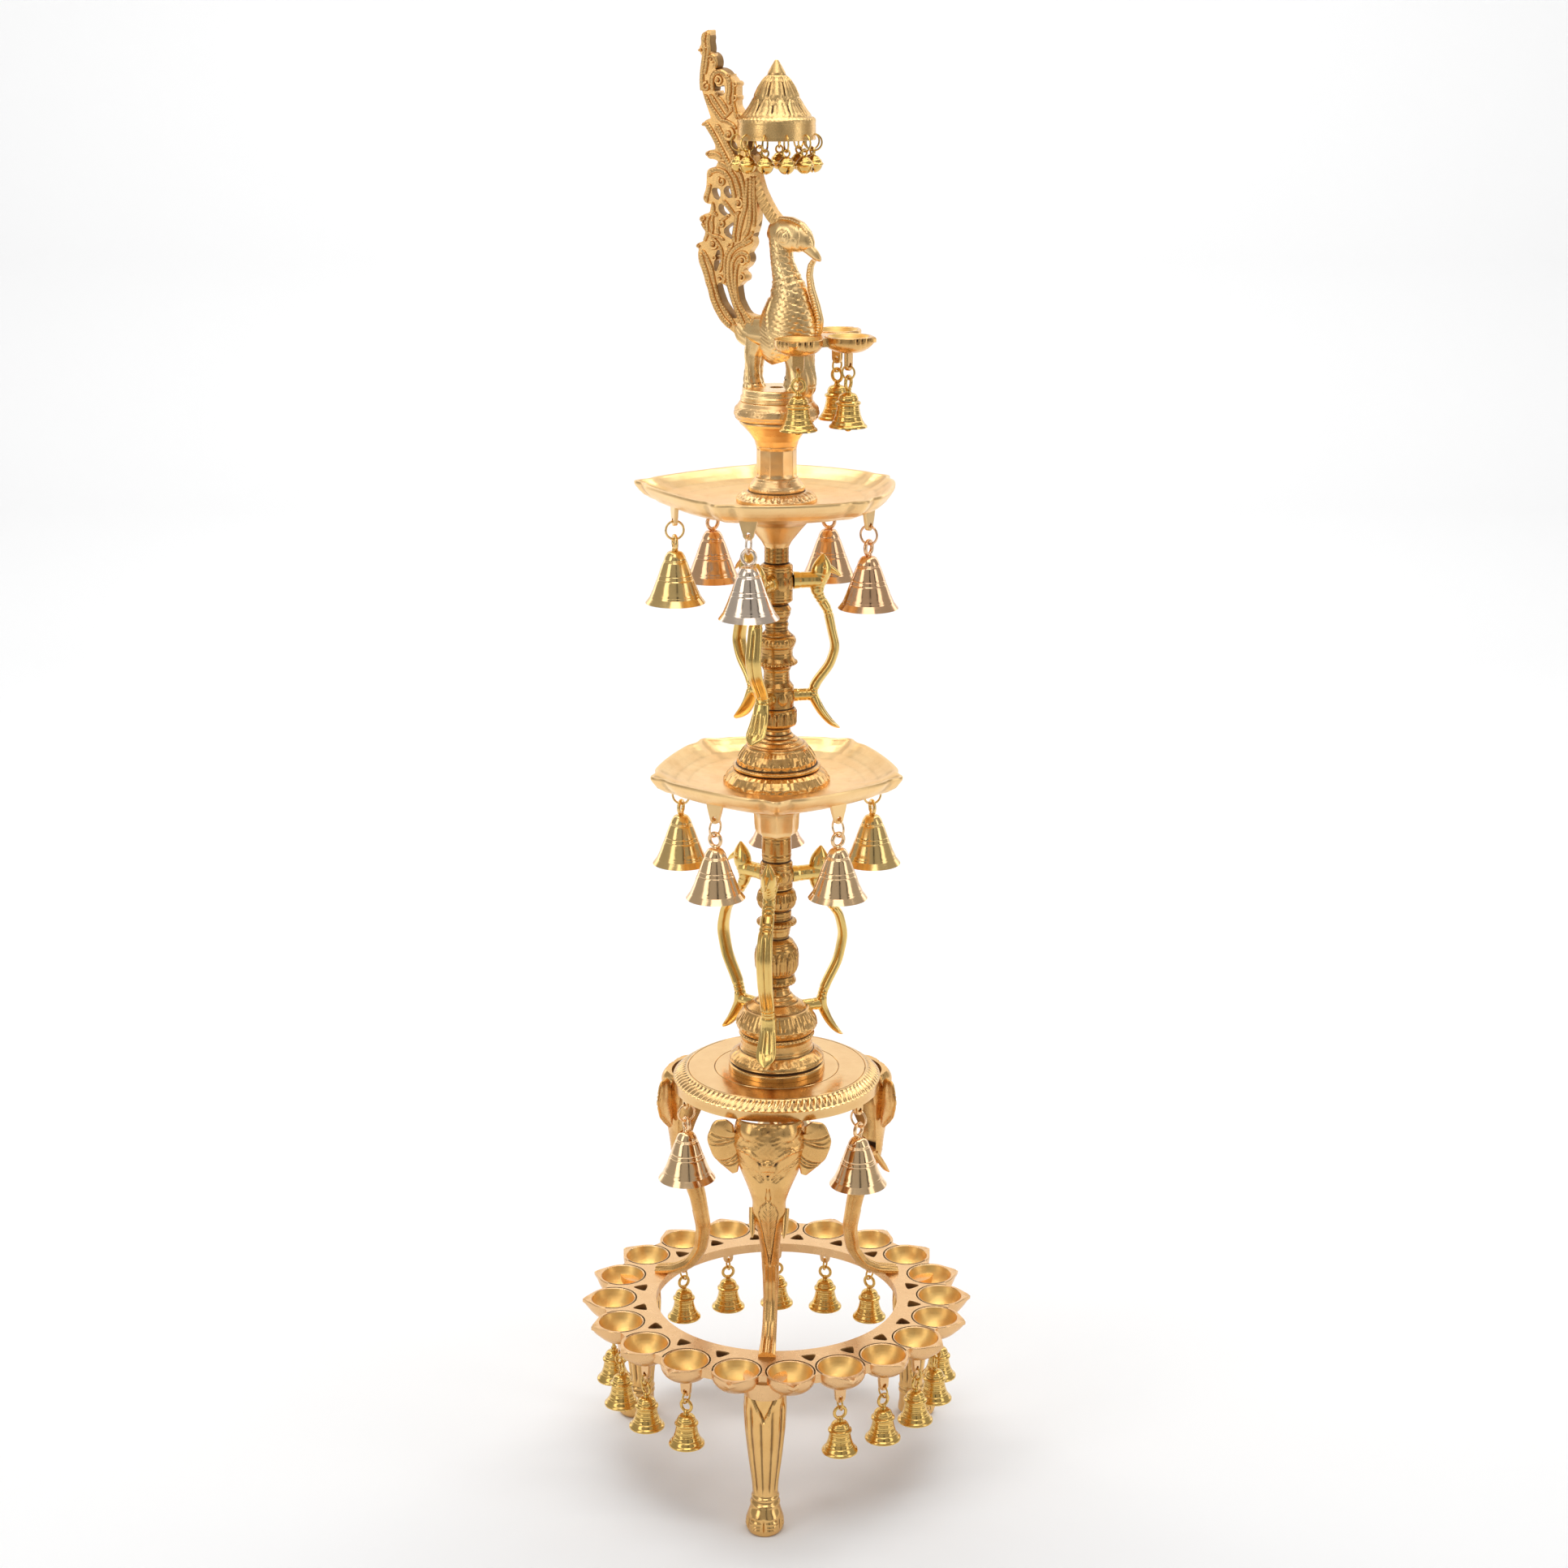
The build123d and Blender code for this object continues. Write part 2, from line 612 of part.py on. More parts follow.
ARM_GAP = 0.05          # solder film between an arm and its collar
lower_bird = bird_bracket(
    (36.0, 508.0), (57.0, 447.0), (37.5, 391.0), (56.0, 362.0), LOWER_COLLAR_R + ARM_GAP, 502.0, 390.0
)
with BuildPart() as lower_bird_seated:
    # the lower arm ends on the bulb of the pedestal
    add(lower_bird)
    add(turned([(r + ARM_GAP, z) for r, z in PEDESTAL_OUTLINE]), mode=Mode.SUBTRACT)
with BuildPart() as lower_bird_brackets:
    with Locations(*[Location((0, 0, 0), (0, 0, a)) for a in (-100.0, 20.0, 140.0)]):
        add(lower_bird_seated.part)
keep(lower_bird_brackets.part, "lower_bird_brackets")

upper_bird = bird_bracket(
    (35.0, 745.0), (46.5, 686.0), (27.5, 650.0), (49.0, 622.0), UPPER_COLLAR_R + 1 + ARM_GAP, 740.0, 649.0
)
with BuildPart() as upper_bird_brackets:
    with Locations(*[Location((0, 0, 0), (0, 0, a)) for a in (-113.0, 10.0, 130.0)]):
        add(upper_bird)
keep(upper_bird_brackets.part, "upper_bird_brackets")

# ---------------------------------------------------------------- finial stem and tie rod
with BuildPart() as finial_stem:
    seat = TOP_RIM - TRAY_DEPTH
    add(
        turned(
            (
                (31.0, seat),
                (31.0, seat + 2.5),
                (27.0, seat + 6),
                (21.5, seat + 8),
                (21.0, seat + 12),
                (18.5, seat + 15),
                (15.6, seat + 19),
                (15.2, seat + 30),
                (15.2, seat + 40),
                (17.0, seat + 47),
                (20.5, seat + 52),
                (25.0, seat + 57),
                (28.3, seat + 60),
                (28.6, seat + 62),
                (31.0, seat + 64),
                (32.2, seat + 67),
                (31.6, seat + 71),
                (29.0, PEACOCK_BASE - 1.5),
                (28.0, PEACOCK_BASE),
            )
        )
    )
    column_bore(seat - 1, PEACOCK_BASE + 1)
keep(finial_stem.part, "finial_stem")

NUT_ACROSS = 17.0
NUT_HEIGHT = 8.0
ROD_SPARE = 4.0         # rod left below the nut
ROD_INTO_PEACOCK = 7.0
hub_face = DISC_BOTTOM - 3
with BuildPart() as tie_rod:
    # threaded rod through the whole column, and the hexagonal nut that draws it up
    with Locations((0, 0, hub_face - NUT_HEIGHT - ROD_SPARE)):
        Cylinder(
            ROD_R,
            PEACOCK_BASE + ROD_INTO_PEACOCK - hub_face + NUT_HEIGHT + ROD_SPARE,
            align=(Align.CENTER, Align.CENTER, Align.MIN),
        )
with BuildPart() as clamp_nut:
    with BuildSketch(Plane.XY.offset(hub_face - NUT_HEIGHT)):
        RegularPolygon(NUT_ACROSS / 2, 6, major_radius=False)
        Circle(ROD_R + 0.02, mode=Mode.SUBTRACT)
    extrude(amount=NUT_HEIGHT)
keep(Compound(children=[tie_rod.part, clamp_nut.part]), "tie_rod")

# ---------------------------------------------------------------- peacock
# The bird is drawn in the XZ plane with its beak towards +X and turned to its facing.
TAIL_ROOT_X = -30.0      # face between the body and the tail plate
crown_z = PEACOCK_BASE + BIRD_BASE_HEIGHT
BIRD_STATIONS = (
    # along the facing, height, half length, half thickness
    (11.0, crown_z + 22, 18.0, 10.0),
    (9.0, crown_z + 31, 25.0, 15.0),
    (10.0, crown_z + 44, 25.0, 17.0),
    (10.5, crown_z + 57, 21.5, 15.5),
    (11.0, crown_z + 69, 15.5, 12.0),
    (8.0, crown_z + 81, 11.8, 9.8),
    (4.0, crown_z + 93, 9.6, 8.6),
    (3.5, crown_z + 103, 10.0, 8.6),
)


def stacked(stations):
    """Smooth body through horizontal ellipses."""
    with BuildPart() as body:
        for x, z, along, across in stations:
            with BuildSketch(Plane.XY.offset(z)):
                with Locations((x, 0)):
                    Ellipse(along, across)
        loft()
    return body.part


def plate(points, thickness, smooth=False):
    """Flat casting in the XZ plane, as thick to both sides of it."""
    with BuildPart() as body:
        with BuildSketch(Plane.XZ.offset(-thickness / 2)):
            with BuildLine():
                if smooth:
                    Spline(*points, periodic=True)
                else:
                    Polyline(*points, close=True)
            make_face()
        extrude(amount=thickness)
    return body.part


with BuildPart() as peacock:
    with Locations((0, 0, PEACOCK_BASE)):
        Cylinder(BIRD_FOOT_R, BIRD_BASE_HEIGHT, align=(Align.CENTER, Align.CENTER, Align.MIN))
    add(stacked(BIRD_STATIONS))
    # head, crest and beak
    with BuildSketch(Plane.XZ):
        with Locations((10.7, crown_z + 112)):
            Ellipse(17.4, 11.4)
    extrude(amount=8.0, both=True)
    with Locations(Location((22.0, 0, crown_z + 107), (0, 124, 0))):
        Cone(5.2, 2.2, 17, align=(Align.CENTER, Align.CENTER, Align.MIN))
    # two legs with the drapery between them, and the skirt of the tail
    add(
        stacked(
            ((24.0, crown_z - NUDGE, 9.0, 9.0), (23.0, crown_z + 8, 7.5, 7.0), (22.0, crown_z + 30, 11.0, 9.0))
        )
    )
    add(
        stacked(
            (
                (-18.0, crown_z - NUDGE, 8.0, 12.0),
                (-20.5, crown_z + 12, 8.5, 10.0),
                (-16.0, crown_z + 34, 9.0, 9.0),
            )
        )
    )
    # root that the tail plate is screwed to
    with BuildSketch(Plane.XZ.offset(-TAIL_THICKNESS / 2 - 1)):
        Polygon(
            (TAIL_ROOT_X, crown_z + 18), (0, crown_z + 22), (0, crown_z + 56), (TAIL_ROOT_X, crown_z + 50),
            align=None,
        )
    extrude(amount=TAIL_THICKNESS + 2)
    # garland from the beak to the breast
    add(
        plate(
            (
                (29.0, crown_z + 99), (33.5, crown_z + 98), (33.0, crown_z + 80), (36.5, crown_z + 60),
                (38.5, crown_z + 38), (32.0, crown_z + 36), (32.5, crown_z + 58), (29.0, crown_z + 80),
            ),
            4.0,
        )
    )
    column_bore(PEACOCK_BASE - 1, PEACOCK_BASE + ROD_INTO_PEACOCK + SEAT)


def to_facing(part):
    """Turn a piece of the finial from +X to the heading of the peacock."""
    with BuildPart() as turned_piece:
        with Locations(Location((0, 0, 0), (0, 0, FACING))):
            add(part)
    return turned_piece.part


keep(to_facing(peacock.part), "peacock")

# ---------------------------------------------------------------- tail plate
TAIL_OUTLINE = (
    (TAIL_ROOT_X, crown_z + 18),
    (-36.0, crown_z + 36),
    (-50.0, crown_z + 58),
    (-62.0, crown_z + 84),
    (-67.5, crown_z + 106),
    (-62.0, crown_z + 120),
    (-64.0, crown_z + 134),
    (-59.0, crown_z + 150),
    (-60.0, crown_z + 164),
    (-52.0, crown_z + 180),
    (-61.0, crown_z + 206),
    (-64.0, crown_z + 236),
    (-58.0, crown_z + 258),
    (-52.5, crown_z + 261),
    (-52.0, crown_z + 244),
    (-43.5, crown_z + 235),
    (-40.0, crown_z + 228),
    (-29.5, crown_z + 222),
    (-28.0, crown_z + 204),
    (-27.0, crown_z + 180),
    (-14.0, crown_z + 164),
    (-12.0, crown_z + 145),
    (-16.0, crown_z + 120),
    (-16.0, crown_z + 100),
    (-21.0, crown_z + 92),
    (-20.0, crown_z + 78),
    (-29.0, crown_z + 72),
    (-27.0, crown_z + 62),
    (TAIL_ROOT_X, crown_z + 50),
)
TAIL_WINDOWS = (
    ((-46.0, crown_z + 68), (-42.5, crown_z + 72), (-33.0, crown_z + 46), (-36.0, crown_z + 44)),
    ((-38.5, crown_z + 122), (-34.0, crown_z + 126), (-35.0, crown_z + 112), (-38.0, crown_z + 112)),
    ((-55.0, crown_z + 150), (-50.0, crown_z + 152), (-46.0, crown_z + 140), (-51.0, crown_z + 140)),
)
with BuildPart() as peacock_tail:
    add(plate(TAIL_OUTLINE, TAIL_THICKNESS))
    for window in TAIL_WINDOWS:
        add(plate(window, TAIL_THICKNESS + 2), mode=Mode.SUBTRACT)
    # the inner edge is filed to the band of the parasol
    with Locations((0, 0, PARASOL_RIM - 10)):
        Cylinder(PARASOL_R + ARM_GAP, 100, align=(Align.CENTER, Align.CENTER, Align.MIN), mode=Mode.SUBTRACT)
keep(to_facing(peacock_tail.part), "peacock_tail")

# ---------------------------------------------------------------- parasol
rim = PARASOL_RIM
apex = PARASOL_RIM + PARASOL_HEIGHT
band_top = rim + PARASOL_BAND
ghungroo_pitch = GHUNGROO_SPREAD / (PARASOL_HOLES - 1)
ghungroo_headings = [FACING + 360 - GHUNGROO_SPREAD / 2 + i * ghungroo_pitch for i in range(PARASOL_HOLES)]
PARASOL_OUTLINE = (
    (PARASOL_R, rim),
    (PARASOL_R, band_top),
    (26.0, band_top + 2),
    (22.2, band_top + 9),
    (16.5, band_top + 19),
    (13.5, band_top + 28),
    (7.0, band_top + 33),
    (4.0, apex - 4),
    (1.2, apex),
)
with BuildPart() as parasol:
    add(turned(PARASOL_OUTLINE))
    add(
        turned(
            [(PARASOL_R - PARASOL_WALL, rim - 1), (PARASOL_R - PARASOL_WALL, band_top - 1)]
            + [(r - PARASOL_WALL, z - PARASOL_WALL) for r, z in PARASOL_OUTLINE[3:6]]
        ),
        mode=Mode.SUBTRACT,
    )
    with Locations(*[Location((0, 0, 0), (0, 0, a)) for a in ghungroo_headings]):
        with Locations(Location((PARASOL_R - 6, 0, rim + BAND_HOLE_RISE), (0, 90, 0))):
            Cylinder(HOLE_R, 12, align=(Align.CENTER, Align.CENTER, Align.MIN), mode=Mode.SUBTRACT)
keep(parasol.part, "parasol")

# ---------------------------------------------------------------- cluster of three lamps
# Three small lamps on a web in front of the breast, drawn facing +X like the peacock.
cluster_outer_r = CLUSTER_LAMP_R + LAMP_WALL
cluster_under = CLUSTER_RIM - CLUSTER_DEPTH - LAMP_WALL
cluster_hole_z = cluster_under - 9.0
cluster_angles = (-CLUSTER_SPREAD, 0.0, CLUSTER_SPREAD)

small_body, small_ball = bowl(cluster_outer_r, CLUSTER_LAMP_R, CLUSTER_RIM, CLUSTER_DEPTH, LIP_BRIM)
small_lip = lip(cluster_outer_r, cluster_outer_r + 5.0, CLUSTER_RIM, 8.0)
cluster_places = [
    Location(Vector(CLUSTER_CENTRE, 0, 0) + Vector(CLUSTER_REACH, 0, 0).rotate(Axis.Z, a), (0, 0, a))
    for a in cluster_angles
]
with BuildPart() as diya_cluster:
    with Locations(*cluster_places):
        add(small_body)
        add(small_lip)
        add(lug(0, cluster_hole_z, cluster_under + 1.5, 9.0))
    with BuildSketch(Plane.XY.offset(CLUSTER_RIM - 7)):
        with Locations((CLUSTER_CENTRE + 14, 0)):
            Circle(17.0)
    extrude(amount=5)
    with Locations(*cluster_places):
        add(small_ball, mode=Mode.SUBTRACT)
    # room for the breast of the bird
    add(peacock.part, mode=Mode.SUBTRACT)
keep(to_facing(diya_cluster.part), "diya_cluster")


# ---------------------------------------------------------------- bells
def torus_link(centre_z, radius, wire, plane):
    """Closed ring of wire in a vertical plane."""
    with BuildPart() as ring:
        with Locations(Location((0, 0, centre_z), plane)):
            Torus(radius, wire)
    return ring.part


def link_drop(link_r, wire_r, wall):
    """Height of a link's centre below its hole, so that the curved wire clears both edges of the hole."""
    sag = link_r - math.sqrt(link_r**2 - (wall / 2) ** 2)
    return sag + wire_r + SEAT - HOLE_R - link_r


def bell(link_r, wire_r, loop_r, loop_wire, knob, outline, clapper_r):
    """Link, bell and clapper below a lug hole. The hinge is at the origin, with its axis along X."""
    link_z = link_drop(link_r, wire_r, LUG_THICK)
    loop_z = link_z - link_r + wire_r + SEAT + loop_wire - loop_r
    crown = loop_z - loop_r - knob
    height = -outline[-1][1]
    link = torus_link(link_z, link_r, wire_r, (90, 0, 0))
    with BuildPart() as shell:
        with Locations(Location((0, 0, loop_z), (0, 90, 0))):
            Torus(loop_r, loop_wire)
        with Locations((0, 0, crown - 1.5)):
            Cylinder(loop_wire + 0.9, knob + 1.5 + 0.6, align=(Align.CENTER, Align.CENTER, Align.MIN))
        add(turned([(0.5, crown)] + [(r, crown + z) for r, z in outline]))
        inner = [(r - BELL_WALL, crown + z - BELL_WALL) for r, z in outline[1:-1]]
        add(turned(inner + [(outline[-1][0] - BELL_WALL, crown - height - 1)]), mode=Mode.SUBTRACT)
    with BuildPart() as clapper:
        # rod from the crown and a turned ball that hangs just below the mouth
        with Locations((0, 0, crown - height)):
            Sphere(clapper_r)
            Cylinder(1.0, height - BELL_WALL - 1.0, align=(Align.CENTER, Align.CENTER, Align.MIN))
    return Compound(children=[link, shell.part, clapper.part])


def hang(template, name, heading, radius, height, facing=0.0, centre=(0, 0)):
    """Place a bell in the lug at a heading and write it."""
    spot = Vector(centre[0], centre[1], height) + Vector(radius, 0, 0).rotate(Axis.Z, heading)
    spot = spot.rotate(Axis.Z, facing)
    keep(Location(spot, (0, 0, heading + facing)) * template, name)


def bell_outline(height, mouth_r, shoulder):
    """Points of a bell from its crown down, as shares of its height and mouth."""
    return [(mouth_r * share, -height * depth) for share, depth in shoulder]


CONE_SHAPE = (
    (0.20, 0.0), (0.27, 0.03), (0.36, 0.12), (0.50, 0.34),
    (0.68, 0.60), (0.86, 0.84), (0.97, 0.96), (1.0, 1.0),
)
DOME_SHAPE = (
    (0.20, 0.0), (0.42, 0.04), (0.62, 0.15), (0.71, 0.30), (0.66, 0.38),
    (0.70, 0.62), (0.83, 0.84), (1.0, 0.96), (1.0, 1.0),
)
tray_bell = bell(
    TRAY_BELL_LINK_R, TRAY_BELL_WIRE_R, TRAY_BELL_LOOP_R, 1.5, 1.0,
    bell_outline(TRAY_BELL_HEIGHT, TRAY_BELL_MOUTH_R, CONE_SHAPE), 4.6,
)
ring_bell = bell(
    RING_BELL_LINK_R, RING_BELL_WIRE_R, RING_BELL_LOOP_R, 1.3, 2.5,
    bell_outline(RING_BELL_HEIGHT, RING_BELL_MOUTH_R, DOME_SHAPE), 3.4,
)

for n, heading in enumerate(bell_headings, 1):
    hang(ring_bell, f"ring_bell_{n:02d}", heading, LAMP_CIRCLE_R, RING_HOLE_Z)
for n, heading in enumerate(MIDDLE_LUG_HEADINGS, 1):
    hang(tray_bell, f"middle_bell_{n}", heading, TRAY_LUG_R, MIDDLE_RIM - TRAY_HOLE_DROP)
for n, heading in enumerate(TOP_LUG_HEADINGS, 1):
    hang(tray_bell, f"top_bell_{n}", heading, TRAY_LUG_R, TOP_RIM - TRAY_HOLE_DROP)
for n, heading in enumerate(DISC_LUG_HEADINGS, 1):
    hang(tray_bell, f"disc_bell_{n}", heading, DISC_LUG_R, DISC_TOP - DISC_HOLE_DROP)
for n, angle in enumerate(cluster_angles, 1):
    hang(ring_bell, f"cluster_bell_{n}", angle, CLUSTER_REACH, cluster_hole_z, FACING, (CLUSTER_CENTRE, 0))

# ---------------------------------------------------------------- ghungroos round the parasol
eye_r = 2.6
eye_wire = 0.8
link_z = link_drop(GHUNGROO_LINK_R, GHUNGROO_WIRE_R, PARASOL_WALL)
eye_z = link_z - GHUNGROO_LINK_R + GHUNGROO_WIRE_R + SEAT + eye_wire - eye_r
ball_z = eye_z - eye_r - 0.86 * GHUNGROO_R
ghungroo_link = torus_link(link_z, GHUNGROO_LINK_R, GHUNGROO_WIRE_R, (90, 0, 0))
with BuildPart() as ghungroo_shell:
    with Locations((0, 0, ball_z)):
        Sphere(GHUNGROO_R * 0.93)
        Cylinder(GHUNGROO_R, 1.6)
        Sphere(GHUNGROO_R * 0.93 - 1.0, mode=Mode.SUBTRACT)
        # crossed sound slits underneath
        with PolarLocations(0, 2):
            Box(
                2 * GHUNGROO_R, 1.4, 2 * GHUNGROO_R - 3.0,
                align=(Align.CENTER, Align.CENTER, Align.MAX), mode=Mode.SUBTRACT,
            )
    with Locations(Location((0, 0, eye_z), (0, 90, 0))):
        Torus(eye_r, eye_wire)
with BuildPart() as ghungroo_pellet:
    with Locations((0, 0, ball_z - GHUNGROO_R * 0.93 + 1.0 + 2.6 + 0.4)):
        Sphere(2.4)
ghungroo = Compound(children=[ghungroo_link, ghungroo_shell.part, ghungroo_pellet.part])
for n, heading in enumerate(ghungroo_headings, 1):
    hang(ghungroo, f"ghungroo_{n:02d}", heading, PARASOL_R - PARASOL_WALL / 2, PARASOL_RIM + BAND_HOLE_RISE)
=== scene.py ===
# %% [markdown]
# # A tall brass lamp, dressed around its construction model
# The construction model gives each piece its size and place. This script gives each piece the surface
# of the real one: cast and chased brass with brown recesses, and spun and turned brass that is polished.
# Almost every piece is a surface worked out on a grid of numbers, so its ornament is real geometry.

# %% Tools and the frame
import json
import math

import bpy
import numpy as np
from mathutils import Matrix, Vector
from mathutils.geometry import tessellate_polygon


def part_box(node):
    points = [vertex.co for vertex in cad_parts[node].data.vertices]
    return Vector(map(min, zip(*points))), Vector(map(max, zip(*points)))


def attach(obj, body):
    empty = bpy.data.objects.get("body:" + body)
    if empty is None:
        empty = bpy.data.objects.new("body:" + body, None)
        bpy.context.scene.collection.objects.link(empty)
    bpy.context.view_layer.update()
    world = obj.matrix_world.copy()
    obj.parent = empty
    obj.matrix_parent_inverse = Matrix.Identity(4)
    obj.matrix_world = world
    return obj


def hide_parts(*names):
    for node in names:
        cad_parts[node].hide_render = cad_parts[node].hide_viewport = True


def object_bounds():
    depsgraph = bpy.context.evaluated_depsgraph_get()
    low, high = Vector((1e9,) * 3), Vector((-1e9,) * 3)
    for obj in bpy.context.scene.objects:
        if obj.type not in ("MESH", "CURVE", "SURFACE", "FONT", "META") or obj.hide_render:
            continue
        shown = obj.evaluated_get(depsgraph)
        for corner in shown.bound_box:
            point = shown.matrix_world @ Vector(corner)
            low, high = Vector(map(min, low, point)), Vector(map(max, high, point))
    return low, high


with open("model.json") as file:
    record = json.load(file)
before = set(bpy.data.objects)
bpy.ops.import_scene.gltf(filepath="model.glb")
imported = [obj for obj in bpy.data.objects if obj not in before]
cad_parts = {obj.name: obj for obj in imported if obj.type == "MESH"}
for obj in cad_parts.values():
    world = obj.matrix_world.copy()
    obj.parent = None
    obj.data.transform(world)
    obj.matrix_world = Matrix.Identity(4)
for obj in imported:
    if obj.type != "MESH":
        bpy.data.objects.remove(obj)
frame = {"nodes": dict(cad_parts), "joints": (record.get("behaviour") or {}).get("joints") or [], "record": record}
cad_low, cad_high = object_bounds()
MM = 0.001
TAU = 2 * math.pi
print("lamp height", round(cad_high.z, 3), "m,", len(frame["nodes"]), "nodes")

# %% [markdown]
# ## Where things are
# Feet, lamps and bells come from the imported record, so that they stand where the construction model has
# them. A heading is the angle of a thing round the column, counted from +X towards +Y.


# %% Places taken from the frame
def heading_of(spot):
    """Angle of a point round the column: the arc tangent of y over x."""
    return math.atan2(spot[1], spot[0])


def foot_of(node):
    """Height of the lowest point of a node."""
    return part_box(node)[0].z


def top_of(node):
    """Height of the highest point of a node."""
    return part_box(node)[1].z


record = frame["record"]
leg_headings = [heading_of(m["pos_m"]) for m in record["mounts"]]
openings = {o["name"]: np.array(o["box_m"]) for o in record["physics"]["openings"]}
ring_lamps = [box.mean(0) for name, box in openings.items() if name.startswith("ring_lamp")]
cluster_lamps = [box.mean(0) for name, box in openings.items() if name.startswith("cluster_lamp")]
hinges = {j["child"]: (Vector(j["pos_m"]), Vector(j["axis"])) for j in frame["joints"]}
print(len(ring_lamps), "lamps on the ring,", len(hinges), "hanging pieces")

# %% [markdown]
# ## From a grid to a mesh
# A patch is a grid of points with its quads, and a piece is one or more closed patches. Blender's own
# shapes could be bent into these pieces too, but on a grid one formula gives both form and ornament.
# The quads of a closed patch have to face outwards, which the sign of its volume tells: each face spans
# a small pyramid to the origin, and the pyramids add up to the volume, negative if it is inside out.


# %% Patches
def sheet(grid, closed_rows=False, closed_cols=True, caps=(True, True)):
    """Point (i, j) of the grid joins (i, j+1), (i+1, j+1) and (i+1, j); a cap closes an end row."""
    rows, cols = grid.shape[:2]
    i = np.arange(rows if closed_rows else rows - 1)[:, None]
    j = np.arange(cols if closed_cols else cols - 1)[None, :]
    corners = (
        i * cols + j,
        i * cols + (j + 1) % cols,
        (i + 1) % rows * cols + (j + 1) % cols,
        (i + 1) % rows * cols + j,
    )
    quads = np.stack(np.broadcast_arrays(*corners), -1).reshape(-1, 4)
    ends = []
    if caps[0] and not closed_rows:
        ends.append(np.arange(cols)[::-1])
    if caps[1] and not closed_rows:
        ends.append((rows - 1) * cols + np.arange(cols))
    points = grid.reshape(-1, 3)
    if volume(points, quads, ends) < 0:
        quads = quads[:, ::-1]
        ends = [end[::-1] for end in ends]
    return points, quads, ends


def volume(points, quads, ends):
    """Sum over the triangles of a . (b x c) / 6."""
    tris = [quads[:, [0, 1, 2]], quads[:, [0, 2, 3]]]
    for end in ends:
        fan = np.stack((np.full(len(end) - 2, end[0]), end[1:-1], end[2:]), -1)
        tris.append(fan)
    a, b, c = points[np.concatenate(tris)].transpose(1, 0, 2)
    return float((a * np.cross(b, c)).sum() / 6)


def turned_about_z(points, angle):
    """Rotation of an array of points: x' = x cos - y sin, y' = x sin + y cos."""
    c, s = math.cos(angle), math.sin(angle)
    return points @ np.array(((c, s, 0), (-s, c, 0), (0, 0, 1)))


def placed(patches, angle=0.0, shift=(0, 0, 0)):
    """Copies of patches, turned about the column and then shifted."""
    return [(turned_about_z(p, angle) + np.array(shift), q, e) for p, q, e in patches]


# %% [markdown]
# ## Recesses
# Brass that is handled and polished stays bright on its high spots and keeps brown patina where a cloth
# doesn't reach. A point lies in a recess if it is below the blurred surface, and the blur is the mean of
# a point's neighbours, taken a few times. The depth could be painted by hand, but measured like this it
# fits every piece. It is kept as an attribute that the materials read.


# %% Depth below the blurred surface
RECESS_DEPTH = 0.35 * MM
BLUR_PASSES = 5


def points_of(mesh):
    """Coordinates of a mesh's points, one row each."""
    points = np.empty(len(mesh.vertices) * 3)
    mesh.vertices.foreach_get("co", points)
    return points.reshape(-1, 3)


def keep_values(mesh, name, values):
    """One number per point, which the materials read by its name."""
    mesh.attributes.new(name, "FLOAT", "POINT").data.foreach_set("value", values.astype(np.float32))


def neighbour_mean(values, edges, degree):
    """Mean of each point's neighbours along the edges."""
    columns = []
    for column in values.T:
        total = np.bincount(edges[:, 0], column[edges[:, 1]], len(column))
        total += np.bincount(edges[:, 1], column[edges[:, 0]], len(column))
        columns.append(total / degree)
    return np.stack(columns, -1)


def recess_depth(mesh):
    """(blurred point - point) . normal / RECESS_DEPTH, held within -1 and 1; positive in a hollow."""
    points = points_of(mesh)
    count = len(points)
    normals = np.empty(count * 3)
    mesh.vertex_normals.foreach_get("vector", normals)
    edges = np.empty(len(mesh.edges) * 2, int)
    mesh.edges.foreach_get("vertices", edges)
    edges = edges.reshape(-1, 2)
    degree = np.maximum(np.bincount(edges.ravel(), minlength=count), 1)
    blurred = points
    for _ in range(BLUR_PASSES):
        blurred = neighbour_mean(blurred, edges, degree)
    depth = ((blurred - points) * normals.reshape(-1, 3)).sum(1) / RECESS_DEPTH
    return neighbour_mean(np.clip(depth, -1, 1)[:, None], edges, degree)[:, 0]


def piece(name, patches, material, body, stands_for=(), sharp=38, sunk=0.0):
    """Make one object of the patches; it rides on a body and stands for construction nodes.

    sunk is painted shade: it is added to the recess depth, so that the patina darkens a whole piece that lies in
    the shade of others."""
    start = 0
    points, loops, sizes = [], [], []
    for patch_points, quads, ends in patches:
        points.append(patch_points)
        loops.append((quads + start).ravel())
        sizes.append(np.full(len(quads), 4))
        for end in ends:
            loops.append(end + start)
            sizes.append(np.array([len(end)]))
        start += len(patch_points)
    points, loops, sizes = map(np.concatenate, (points, loops, sizes))
    mesh = bpy.data.meshes.new(name)
    mesh.vertices.add(len(points))
    mesh.vertices.foreach_set("co", points.astype(np.float32).ravel())
    mesh.loops.add(len(loops))
    mesh.loops.foreach_set("vertex_index", loops.astype(np.int32))
    mesh.polygons.add(len(sizes))
    mesh.polygons.foreach_set("loop_start", (np.cumsum(sizes) - sizes).astype(np.int32))
    mesh.update(calc_edges=True)
    mesh.shade_smooth()
    mesh.set_sharp_from_angle(angle=math.radians(sharp))
    # where sunk is above 0, this attribute also carries painted shade as well as the patina depth
    keep_values(mesh, "recess", recess_depth(mesh) + sunk)
    mesh.materials.append(finishes[material])
    made = bpy.data.objects.new(name, mesh)
    bpy.context.scene.collection.objects.link(made)
    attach(made, body)
    if stands_for:
        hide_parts(*stands_for)
    return made


def mark_turning(made, centres=((0, 0),)):
    """Attribute turning: distance from the nearest lathe axis, whose places are given in millimetres."""
    x, y, _ = points_of(made.data).T
    nearest = np.min([np.hypot(x - c[0] * MM, y - c[1] * MM) for c in centres], axis=0)
    keep_values(made.data, "turning", nearest)


